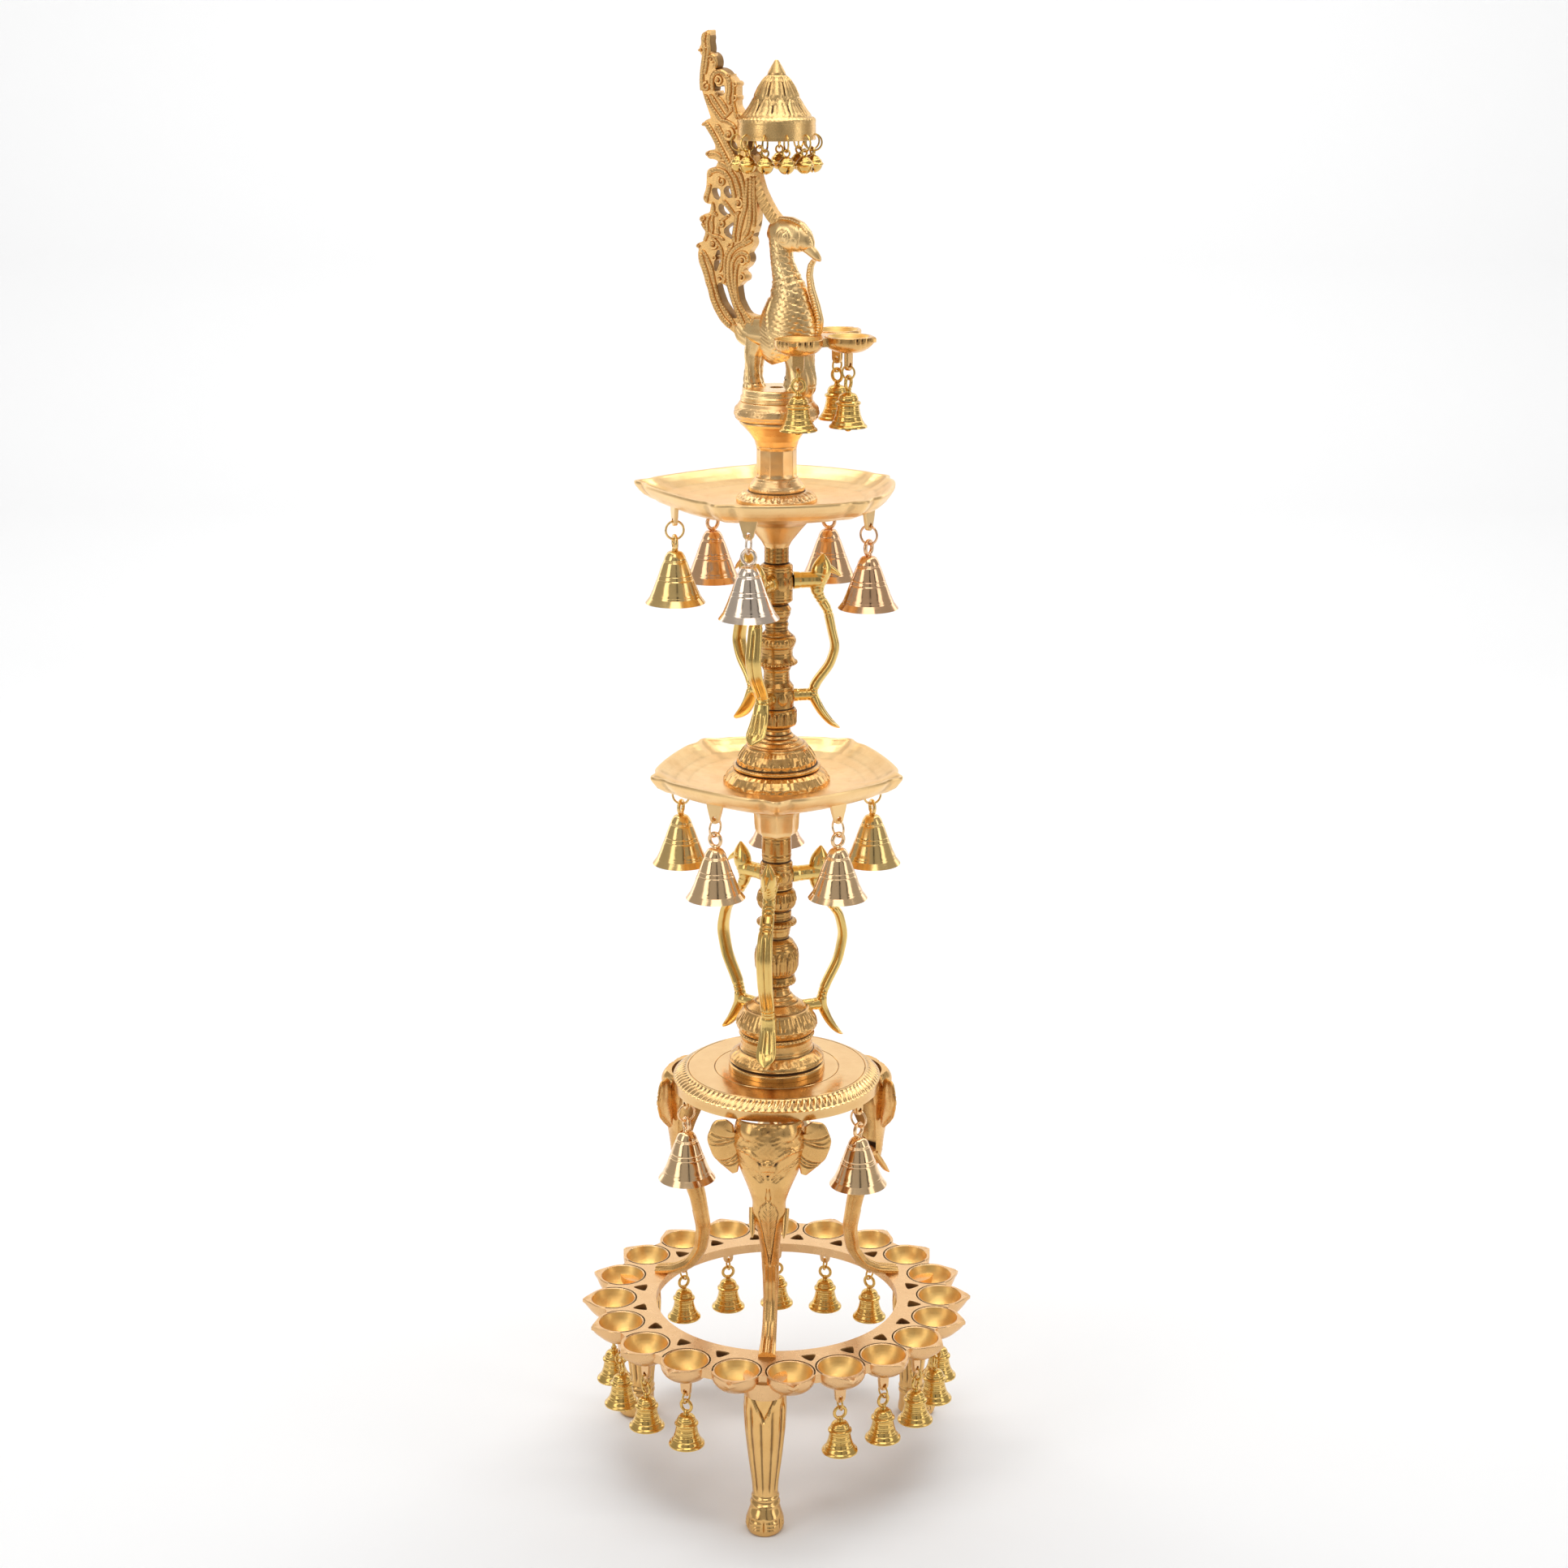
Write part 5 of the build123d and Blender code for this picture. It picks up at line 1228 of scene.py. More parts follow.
# %% [markdown]
# ## Trays
# Two five-cornered dishes, spun smooth. The outline is a chain of arcs, each through two corners and a
# middle point, and the rows of the grid are that outline scaled, blended into a circle at the hub. A
# round dish with its corners pulled out would lose the true arcs of the sides.


# %% Five-cornered dishes
TRAY_EDGE_R = 90.0


def arc_through(start, middle, end, count):
    """Arc through a, b, c: the centre is a + (b - a) (|w|^2 - w) / (w* - w), w = (c - a) / (b - a)."""
    a, b, c = (complex(*p) for p in (start, middle, end))
    w = (c - a) / (b - a)
    centre = a + (b - a) * (abs(w) ** 2 - w) / (w.conjugate() - w)
    angles = np.unwrap([np.angle(p - centre) for p in (a, b, c)])
    return centre + abs(a - centre) * np.exp(1j * np.linspace(angles[0], angles[-1], count, endpoint=False))


def dish_outline(tips, per_side=50, blunt=0.034):
    """Closed outline in millimetres; corners are eased and drawn in a little on both sides."""
    corners = [(r * math.cos(math.radians(a)), r * math.sin(math.radians(a))) for r, a in tips]
    arcs = []
    for i, corner in enumerate(corners):
        following = corners[(i + 1) % len(corners)]
        bisector = np.array(corner) + np.array(following)
        middle = bisector / np.linalg.norm(bisector) * TRAY_EDGE_R
        arcs.append(arc_through(corner, middle, following, per_side))
    outline = np.concatenate(arcs)
    tip = np.abs((np.arange(len(outline)) + per_side / 2) % per_side - per_side / 2) / per_side
    outline = outline * (1 - blunt * np.exp(-(((tip - 0.10) / 0.05) ** 2)))
    for _ in range(3):
        outline = (np.roll(outline, 1) + 2 * outline + np.roll(outline, -1)) / 4
    return outline


# share of the outline, drop below the rim, blend from a circle (0) to the outline (1), the circle's radius
DISH_ROWS = (
    (0.54, 20.0, 0.4, 50.0), (0.7, 18.6, 0.6, 66), (0.82, 16.4, 0.8, 77), (0.9, 13.2, 0.9, 84),
    (0.945, 10.0, 1, 88), (0.968, 7.0, 1, 90), (0.986, 4.6, 1, 90), (0.998, 2.6, 1, 90),
    (1.0, 1.0, 1, 90), (0.995, 0.2, 1, 90), (0.984, 0, 1, 90), (0.968, 0.5, 1, 89), (0.95, 1.8, 1, 88),
    (0.91, 4.4, 0.95, 84), (0.84, 8.0, 0.8, 77), (0.74, 10.8, 0.55, 68), (0.62, 12.2, 0.3, 57),
    (0.52, 12.5, 0.15, 48), (0.4, 12.5, 0, 36), (0.0, 12.5, 0, 12), (0.0, 12.5, 0, 5.2),
)
DISH_R = 95
DISH_STEP = 1.9


def dish_patches(node_name, tips, hub, hub_facets, bell_names):
    """Hub, underside, rim and floor as one closed grid, with its lugs.

    Each row is blend * share * outline + (1 - blend) * circle."""
    rim_z, hub_z = top_of(node_name) / MM, foot_of(node_name) / MM
    outline = dish_outline(tips)
    around = np.angle(outline)
    rows = [(0.0, hub_z + h, 0.0, r) for r, h in hub]
    rows += [(share, rim_z - drop, blend, r) for share, drop, blend, r in DISH_ROWS]
    rows = np.array(rows, float)
    reach = np.where(rows[:, 2] > 0, rows[:, 0] * DISH_R, rows[:, 3])
    keys = np.concatenate(([0], np.cumsum(np.hypot(*np.diff(np.stack((reach, rows[:, 1])))))))
    dense_at = np.unique(np.concatenate((np.arange(0, keys[-1], DISH_STEP), keys)))
    share, height, mix, circle = (np.interp(dense_at, keys, column) for column in rows.T)
    facet = 1 + hub_facets * (np.cos(TAU / 16) / np.cos(around % (TAU / 8) - TAU / 16) - 1)
    on_hub = np.clip((rim_z - 20 - height) / 6, 0, 1)[:, None]
    round_part = np.exp(1j * around)[None, :] * circle[:, None] * (1 + on_hub * (facet[None, :] - 1))
    flat = (mix[:, None] * share[:, None] * outline[None, :]) + (1 - mix[:, None]) * round_part
    # short strokes punched along the underside of the band
    under = band(height, rim_z - 12.0, rim_z - 7.6, 0.8) * (share > 0.86) * (share < 0.975)
    punched = 0.7 * under[:, None] * np.abs(np.sin(around[None, :] * 70))
    flat = flat * (1 - punched / DISH_R)
    grid = np.stack(np.broadcast_arrays(flat.real, flat.imag, height[:, None]), -1)
    return [sheet(grid * MM, closed_rows=True)] + lugs_for(bell_names, (rim_z - 7) * MM, 20 * MM)


# tips: radius and heading in degrees of each corner; hubs: radius and height above the hub's foot
MIDDLE_TIPS = [(104, -90 + 72 * i) for i in range(5)]
MIDDLE_HUB = (
    (5.2, 0), (15, 0), (16, 1), (17.2, 4), (17.6, 8), (17.9, 15), (18.8, 19), (22, 21.5), (30, 26),
    (40, 32),
)
TOP_TIPS = [(113, 170), (98, 242), (98, 314), (98, 26), (98, 98)]
TOP_HUB = ((5.2, 0), (9.4, 0), (10, 1), (11.5, 4), (15.5, 9), (19.5, 14), (24, 19), (32, 23), (42, 26.5))
for name, tips, hub, facets, bells in (
    ("middle_tray", MIDDLE_TIPS, MIDDLE_HUB, 1.6, "middle_bell"),
    ("top_tray", TOP_TIPS, TOP_HUB, 0.0, "top_bell"),
):
    dish = dish_patches(name, tips, hub, facets, bells)
    mark_turning(piece(f"{name}_spun", dish, "dish_brass", "stand", [name]))

# %% [markdown]
# ## Peacock and tail
# The bird is drawn in its own plane, s along the way it looks and h above its foot, then turned to its
# facing. The tail is openwork: ribbed strands and spiral curls, cast in one with the plate between. Cut
# out of the plate alone they would be flat; as bars of their own they are round and catch the light.

# %% Where the bird stands and looks
bird_foot = foot_of("peacock") / MM
cluster_middle = np.mean(cluster_lamps, axis=0)
facing = heading_of(cluster_middle)


def in_plane(stations):
    """(s, h, half in the plane, half across the plane) as stations of a path in the bird's plane."""
    return [(s, 0.0, bird_foot + h, in_half, across_half) for s, h, in_half, across_half in stations]


def scales(p, q, size):
    """Edges of overlapping round scales: 1 on an arc of radius 0.55 round each staggered cell."""
    row = np.floor(q / size)
    u = (p / size + 0.5 * (row % 2)) % 1 - 0.5
    v = 1 - (q / size) % 1
    return np.clip(1 - np.abs(np.hypot(u, v) - 0.55) / 0.13, 0, 1)


# %% Bird relief
def body_relief(t, a, points):
    """Scales over the breast and neck, long feathers towards the tail, a beaded collar."""
    p = points[..., 0]
    h = points[..., 2] - bird_foot
    q = h + 0.35 * p
    wing = np.clip((2.0 - p) / 1.0, 0, 1) * band(h, 30, 78, 3)
    feathers = np.abs(np.sin(p * 0.55 + h * 1.15))
    edge = strokes(p, h, [[(1, 78), (-2, 66), (0, 52), (4, 40)]], 1.2)
    collar = strokes(p, h, [[(-12, 80), (30, 92)]], 1.8) + strokes(p, h, [[(-12, 86), (30, 98)]], 1.2)
    beads = 0.7 + 0.3 * np.cos(a * 34)
    calm = np.clip(1 - collar - edge, 0, 1)
    plumage = (wing - 1) * 0.55 * scales(p, q, 4.4) - 0.35 * wing * feathers
    return calm * plumage + 0.7 * collar * beads + 0.7 * edge


def head_relief(t, a, points):
    """Eye of two rings round a small ball, a cheek line and a crown line on both sides."""
    p = points[..., 0]
    h = points[..., 2] - bird_foot
    distance = np.hypot(p - 9.5, h - 123.5)
    rings = lines(distance, (3.2,), 0.7) + lines(distance, (5.4,), 0.7)
    cheek = strokes(p, h, [[(20, 131), (22, 124), (20, 117), (23, 112)], [(15, 123), (19, 121)]], 0.8)
    return -0.6 * rings - 0.6 * cheek + 0.6 * np.clip(1 - distance / 1.6, 0, 1)


def drape_relief(t, a, points):
    """Folds of a cloth: upright pleats that open into scallops at the hem."""
    h = points[..., 2] - bird_foot
    return -0.7 * np.abs(np.sin(a * 6 + 0.10 * h)) * (h > 3) - 0.5 * lines(h, (12.5,), 0.8)


def beaded(length, pitch=2.2, amount=0.6):
    """Relief of pearls along a strap with a groove on both sides of them."""

    def relief(t, a, points):
        aside = np.abs(np.cos(a))
        rail = np.clip(1 - np.abs(aside - 0.55) / 0.16, 0, 1)
        return amount * (0.5 + 0.5 * np.cos(t * length / pitch * TAU)) * (aside < 0.45) - amount * rail

    return relief


IN_PLANE = (0, 1, 0)
NECK_AND_BODY = [
    (11, 31, 9, 15), (9.5, 36, 13, 21), (9, 42, 15.5, 25), (10, 54, 17, 25), (10.6, 67, 15.5, 21.5),
    (11, 79, 12.5, 16), (8.5, 91, 9.4, 11.2), (4.8, 103, 8.2, 9.0), (3.6, 114, 8.0, 8.8),
    (2.2, 124, 7.0, 8.6), (1.0, 131, 4.0, 5.0), (0.6, 134, 1.0, 1.2),
]
HEAD = (
    (-7, 123, 3, 2), (-3, 124, 9, 5.5), (4, 124.5, 11.8, 8.4), (11, 123.6, 12.4, 9.2),
    (18, 121.8, 11, 8.6), (24, 119, 8.6, 6.8), (28, 116, 5.2, 4.4), (30, 114, 1.4, 1.2),
)
BILL = (
    (21, 118, 4.6, 4.4), (27, 114.4, 4.4, 3.8), (32, 110.2, 3.6, 3.2), (35.4, 107, 2.2, 2.2),
    (36.6, 105.6, 0.6, 0.6),
)
BRIDLE = (
    (-4, 133.5, 1.0, 3.0), (4, 136.2, 1.5, 4.4), (13, 135.6, 1.6, 4.6), (21, 132.4, 1.6, 4.4),
    (27, 126, 1.5, 4.0), (29.6, 118, 1.4, 3.4), (29, 112.5, 0.8, 2.2),
)
STRING = (
    (31, 106, 2.0, 2.2), (28.4, 102, 2.4, 2.6), (27.4, 95, 2.6, 2.8), (29, 85, 2.9, 3.0),
    (33, 73, 3.2, 3.2), (36, 62, 3.3, 3.2), (35.4, 54, 2.8, 2.8), (32, 47, 1.5, 1.5),
)
RUMP = (
    (4, 47, 14, 14), (-8, 50, 14.5, 12), (-18, 50, 14, 9), (-26, 52, 12.5, 6.2), (-31, 56, 8, 5.6),
    (-34, 59, 1, 3),
)
BACK_DRAPE = (
    (-14, 44, 11, 13), (-18, 35, 9.5, 8.5), (-19, 26, 9, 6.5), (-20, 16, 9.5, 7.0), (-19, 8, 11.5, 9.0),
)
FRONT_DRAPE = (
    (16, 46, 13, 12), (19, 36, 11, 12), (20, 27, 9.6, 11.6), (20.5, 18, 10, 12.6), (19.5, 13, 10.6, 13.2),
    (15, 8, 11, 11),
)
DRUM = (
    (5.3, 0), (27, 0), (27.5, 0.6), (27.5, 3.6), (27, 4.2), (26.2, 5), (26.2, 8.6), (25, 9.8), (5.3, 10),
)


def upright(stations):
    """(s, h, half across the plane, half along s) as stations of a path that climbs."""
    return [(s, 0, bird_foot + h, across, along) for s, h, across, along in stations]


def rump_relief(t, a, points):
    """Long feathers side by side, which begin behind the body."""
    return -0.6 * np.abs(np.sin(np.cos(a) * 8)) * (t > 0.2)


def drum_relief(a, r, h):
    """Four turned lines round the drum under the bird."""
    return -0.3 * lines(h, (1.6, 2.8, 6.0, 7.4), 0.35) + 0 * a


drum_profile = fine(mm_profile(bird_foot * MM, DRUM), 0.6 * MM)
peacock_patches = [
    carried(upright(NECK_AND_BODY), 210, 132, (1, 0, 0), body_relief, passes=24),
    carried(in_plane(HEAD), 110, 80, IN_PLANE, head_relief, passes=10),
    carried(in_plane(BILL), 50, 36, IN_PLANE, passes=5),
    carried(in_plane(BRIDLE), 90, 28, IN_PLANE, beaded(50), passes=5),
    carried(in_plane(STRING), 120, 28, IN_PLANE, beaded(62), passes=6),
    carried(in_plane(RUMP), 70, 72, IN_PLANE, rump_relief, passes=6),
    carried(upright(BACK_DRAPE), 60, 72, (1, 0, 0), drape_relief, passes=5),
    carried(upright(FRONT_DRAPE), 70, 84, (1, 0, 0), drape_relief, passes=5),
    lathe(drum_profile, 120, mm_relief(bird_foot * MM, drum_relief, 20), closed=True),
]
piece("peacock_chased", placed(peacock_patches, facing), "peacock_brass", "stand", ["peacock"])

# %% Strands on both faces of the plate
PLATE_HALF = 4.3
STRAND_RISE = 2.2


def strand(path, half, rise=STRAND_RISE, cols=8, step=0.7, ends=3.0, twist=2.3):
    """Bar in the bird's plane, round on both faces, which stands out of the plate by its rise.

    Across the bar u runs from -1 to 1, and the face is at plate - 1 + (1 + rise) * sqrt(1 - |u|^2.5), less
    slanting nicks that fade as 1 - u^2. The half width shrinks at the ends like a quarter circle."""
    path = np.array(path, float)
    length = np.hypot(*np.diff(path, axis=0).T).sum()
    rows = max(14, int(length / step))
    line = eased([(s, h, 0, 0, 0) for s, h in path], rows, passes=max(2, rows // 12))[:, :2]
    along = np.linspace(0, length, rows)[:, None]
    way = unit(np.gradient(line, axis=0))
    side = np.stack((-way[:, 1], way[:, 0]), -1)
    end = np.clip(np.minimum(length - along, along + 1.0) / ends, 0, 1)
    width = half * 1.1 * np.sqrt(1 - (1 - end) ** 2) + 0.05
    u = np.sin(np.linspace(-math.pi / 2, math.pi / 2, cols + 1))[None, :]
    nicks = 0.75 * (0.5 + 0.5 * np.cos(along / twist * TAU + 1.5 * u)) * (1 - u**2)
    face = PLATE_HALF - 1.0 + (1.0 + rise) * np.sqrt(1 - np.abs(u) ** 2.5) - nicks
    across = np.concatenate((u, u[:, -2:0:-1]), 1) * width
    height = np.concatenate((face, -face[:, -2:0:-1]), 1) + 0 * along
    flat = line[:, None] + side[:, None] * across[..., None]
    return sheet(np.stack((flat[..., 0], height, flat[..., 1] + bird_foot), -1) * MM)


def curl(s, h, size, start, hand):
    """Spiral strand whose radius shrinks to a fifth while it turns, round a button on each face."""
    t = np.linspace(0, 1, 26)
    angle = math.radians(start) + hand * t * 1.3 * TAU
    radius = size * (1 - 0.8 * t)
    path = np.stack((s + radius * np.cos(angle), h + radius * np.sin(angle)), -1)
    half, top = 0.30 * size + 0.2, PLATE_HALF + STRAND_RISE
    ends = ((top + 0.5, 0.3), (top + 0.3, 0.7), (top - 0.4, 1.0))
    ball = [(s, -y, bird_foot + h, w * half, w * half) for y, w in ends]
    ball += [(s, y, bird_foot + h, w * half, w * half) for y, w in ends[::-1]]
    bar = strand(path, half, STRAND_RISE + 0.3, 6, 0.6, 2.0, 90.0)
    return [bar, carried(ball, 14, 12, (1, 0, 0), passes=1)]


# %% Where the strands and curls of the tail run: half width, points (s, h) in millimetres
STRANDS = (
    (2.4, [(-37, 54), (-43.5, 59.5), (-48.5, 67), (-52, 74.5), (-53.5, 81), (-55.5, 86.5), (-57.5, 93.5),
           (-60.5, 101), (-62.5, 108)]),
    (1.5, [(-33.5, 56), (-39, 63), (-45, 70.5), (-48.5, 79), (-50.5, 86.5), (-51.5, 92), (-53, 98),
           (-56.5, 104.5), (-60.5, 110.5)]),
    (2.0, [(-23, 52), (-27, 58.5), (-32, 68), (-35.5, 77.5), (-38, 85.5), (-39, 93.5), (-38.5, 101),
           (-37.5, 107), (-34, 111.5), (-28.5, 115), (-23, 117), (-18, 119.5)]),
    (1.8, [(-14.5, 52), (-21, 58.5), (-27.5, 67.5), (-32, 76), (-34.5, 84.5), (-35.5, 93.5),
           (-35.5, 101.5), (-32.5, 106.5), (-28.5, 109.5), (-24, 109.5), (-21, 106), (-23, 102)]),
    (1.6, [(-18.5, 58), (-26.5, 66), (-30.5, 73.5), (-32, 82), (-32.5, 90), (-32, 96.5), (-30.5, 101),
           (-28, 104.5)]),
    (1.4, [(-42.5, 86.5), (-41, 92), (-41.5, 99), (-41, 105.5), (-38.5, 110), (-36, 113.5), (-34, 117)]),
    (1.3, [(-46, 94.5), (-44, 99), (-43.5, 105.5), (-44, 111), (-47, 115.5), (-49.5, 118), (-52.5, 120)]),
    (1.6, [(-33, 117), (-33.5, 122.5), (-32.5, 128), (-31.5, 133.5), (-31, 138), (-28, 140)]),
    (1.6, [(-30, 118), (-29, 124.5), (-27.5, 130.5), (-25.5, 137), (-23.5, 143.5), (-23, 152.5),
           (-22, 164.5)]),
    (1.9, [(-25, 121.5), (-22, 126), (-20, 133.5), (-19.5, 143.5), (-19.5, 154.5), (-19, 166)]),
    (1.2, [(-16.5, 129), (-16, 137), (-16.5, 146), (-17, 157), (-16.5, 166)]),
    (1.4, [(-32.5, 137), (-35.5, 140.5), (-39, 144.5), (-42.5, 148)]),
    (2.0, [(-33, 149.5), (-34, 154.5), (-36.5, 162.5), (-41, 168), (-47, 170), (-52.5, 168.5),
           (-55, 164.5)]),
    (1.9, [(-28.5, 150.5), (-29, 156), (-32, 164), (-36.5, 169.5), (-42.5, 174), (-46, 175.5)]),
    (1.9, [(-24.5, 142.5), (-24.5, 150.5), (-25.5, 158), (-27.5, 165.5), (-31.5, 172), (-36.5, 178.5)]),
    (1.5, [(-26, 117), (-23, 120), (-19.5, 122.5), (-17.5, 126)]),
    (1.5, [(-58.5, 117), (-56.5, 121.5), (-56, 126), (-56.5, 130.5), (-55, 135), (-52.5, 136)]),
    (1.3, [(-52.5, 122.5), (-51.5, 127), (-52, 132.5), (-51, 137), (-50.5, 141.5), (-51.5, 146)]),
    (1.4, [(-56.5, 145.5), (-56, 150.5), (-54.5, 154.5), (-53.5, 159)]),
    (1.3, [(-46, 122.5), (-47.5, 126), (-46, 130), (-42.5, 133.5), (-38.5, 135.5)]),
    (1.4, [(-60.5, 130), (-57.5, 126), (-54.5, 122.5), (-50.5, 121), (-46, 120.5), (-41.5, 118)]),
    (2.1, [(-28.5, 170.5), (-33, 179), (-38, 186), (-42, 193), (-45.5, 198.5), (-48, 203)]),
    (2.1, [(-35, 169.5), (-40.5, 178.5), (-45, 186), (-49, 192.5), (-52.5, 198), (-57, 204)]),
    (1.6, [(-31.5, 174.5), (-35, 182), (-39, 188.5), (-41, 193)]),
    (1.5, [(-43.5, 178.5), (-48, 181.5), (-52.5, 181.5), (-55, 181)]),
    (1.7, [(-43.5, 205.5), (-49, 211.5), (-54, 218), (-57.5, 224.5)]),
    (1.6, [(-40, 207.5), (-44.5, 213), (-49, 219), (-53, 224.5)]),
    (1.4, [(-38, 212), (-41, 217), (-44.5, 221), (-47, 223)]),
    (1.9, [(-59.5, 227), (-60, 233.5), (-59.5, 241), (-58.5, 247.5), (-57.5, 254), (-58, 260),
           (-58.5, 265.5), (-56.5, 269)]),
    (1.6, [(-57.5, 239), (-56, 245), (-55, 251.5), (-54, 257.5), (-55, 262.5), (-54, 268)]),
    (1.9, [(-51, 227), (-51.5, 231.5), (-51.5, 236.5), (-49, 240), (-44.5, 241), (-40, 239), (-37, 234),
           (-36.5, 227.5), (-38, 222), (-37, 217)]),
    (1.6, [(-49, 243.5), (-48, 247.5), (-49, 251), (-51.5, 252.5), (-54, 251)]),
    (1.4, [(-33.5, 233.5), (-33, 228.5), (-33.5, 223.5), (-33.5, 218.5), (-32, 212.5), (-30.5, 207)]),
    (1.5, [(-44.5, 206), (-40, 205.5), (-34, 203), (-31, 199.5)]),
    (1.4, [(-40, 208.5), (-36, 212.5), (-35, 217)]),
    (1.4, [(-26.5, 205.5), (-26, 197), (-23, 188.5), (-19.5, 180.5), (-18.5, 170.5)]),
)
CURLS = (
    (-51, 114.5, 3.9, 90, -1), (-43.5, 161.5, 3.3, 120, 1), (-29.5, 145.5, 3.7, 80, -1),
    (-50.5, 104.5, 2.0, 60, -1), (-45, 89, 2.9, 150, -1), (-43.5, 130.5, 2.9, 130, 1),
    (-54, 158, 1.6, 200, 1), (-26.5, 103.5, 3.3, 90, -1), (-27, 91, 3.1, 100, -1),
    (-59.5, 133.5, 2.4, 270, -1), (-37.5, 113.5, 1.8, 90, 1), (-56.5, 149, 2.2, 60, 1),
    (-38.5, 136, 1.5, 0, 1), (-63.5, 113, 1.5, 100, 1), (-56, 88, 1.6, 30, -1),
    (-24.5, 115.5, 1.6, 40, 1), (-31, 138, 1.4, 0, -1), (-48.5, 137, 1.6, 90, 1),
    (-37.5, 195.5, 4.7, 80, -1), (-56, 230, 3.4, 80, 1), (-51.5, 249.5, 2.4, 100, -1),
    (-46, 234.5, 3.2, 100, -1), (-32, 232, 1.9, 90, -1), (-32.5, 222, 2.2, 90, -1),
    (-61, 256.5, 1.3, 180, 1), (-35, 214, 2.1, 60, 1), (-47, 199.5, 2.1, 60, 1), (-47, 224.5, 1.9, 90, 1),
    (-58.5, 203, 1.3, 200, 1), (-55, 181, 1.7, 60, 1), (-28.5, 209.5, 1.9, 0, 1),
    (-38, 238.5, 1.5, 30, -1), (-56, 259, 1.5, 30, -1),
)


def flat_plate(outline, windows, low, high, upright=False):
    """Plate between two levels with windows; upright turns it from the floor plan into the bird's plane."""
    loops = [np.array(loop, float) for loop in (outline, *windows)]
    flat = np.concatenate(loops)
    triangles = np.array(tessellate_polygon([[Vector((*p, 0)) for p in loop] for loop in loops]))
    a, b, c = flat[triangles].transpose(1, 0, 2)
    clockwise = (b - a)[:, 0] * (c - a)[:, 1] - (b - a)[:, 1] * (c - a)[:, 0] < 0
    triangles[clockwise] = triangles[clockwise][:, ::-1]
    walls, start, count = [], 0, len(flat)
    for number, loop in enumerate(loops):
        following = np.roll(loop, -1, axis=0)
        area = (loop[:, 0] * following[:, 1] - following[:, 0] * loop[:, 1]).sum()
        j = start + np.arange(len(loop))
        k = start + (np.arange(len(loop)) + 1) % len(loop)
        wall = np.stack((j, k, k + count, j + count), -1)
        walls.append(wall if (area > 0) == (number == 0) else wall[:, ::-1])
        start += len(loop)
    levels = np.repeat((low, high), count)
    points = np.concatenate((np.tile(flat, (2, 1)), levels[:, None]), 1)
    faces = [t[::-1] for t in triangles] + [t + count for t in triangles]
    quads = np.concatenate(walls)
    if upright:
        points = points[:, [0, 2, 1]] + (0, 0, bird_foot)
        quads, faces = quads[:, ::-1], [f[::-1] for f in faces]
    return points * MM, quads, faces


def eased_loop(points, rounds=2):
    """Closed outline with its corners cut: in each round an edge keeps only its middle half."""
    p = np.array(points, float)
    for _ in range(rounds):
        after = np.roll(p, -1, axis=0)
        p = np.stack((0.75 * p + 0.25 * after, 0.25 * p + 0.75 * after), 1).reshape(-1, 2)
    return p


def grown(loop, amount):
    """Loop moved sideways by an amount, outwards where it is positive."""
    way = np.roll(loop, -1, axis=0) - np.roll(loop, 1, axis=0)
    side = unit(np.stack((way[:, 1], -way[:, 0]), -1))
    following = np.roll(loop, -1, axis=0)
    area = (loop[:, 0] * following[:, 1] - following[:, 0] * loop[:, 1]).sum()
    return loop + side * amount * np.sign(area)


def window_shade_lining(window):
    """Painted shade with some patina on the wall of a window: a dark lining, a tube as deep as the plate."""
    outer, inner = grown(window, 0.2), grown(window, -0.25)
    top = PLATE_HALF - 0.15
    rows = [(outer, -top), (outer, top), (inner, top), (inner, -top)]
    grid = [np.stack((loop[:, 0], np.full(len(loop), y), loop[:, 1] + bird_foot), -1) for loop, y in rows]
    return sheet(np.array(grid) * MM, closed_rows=True)


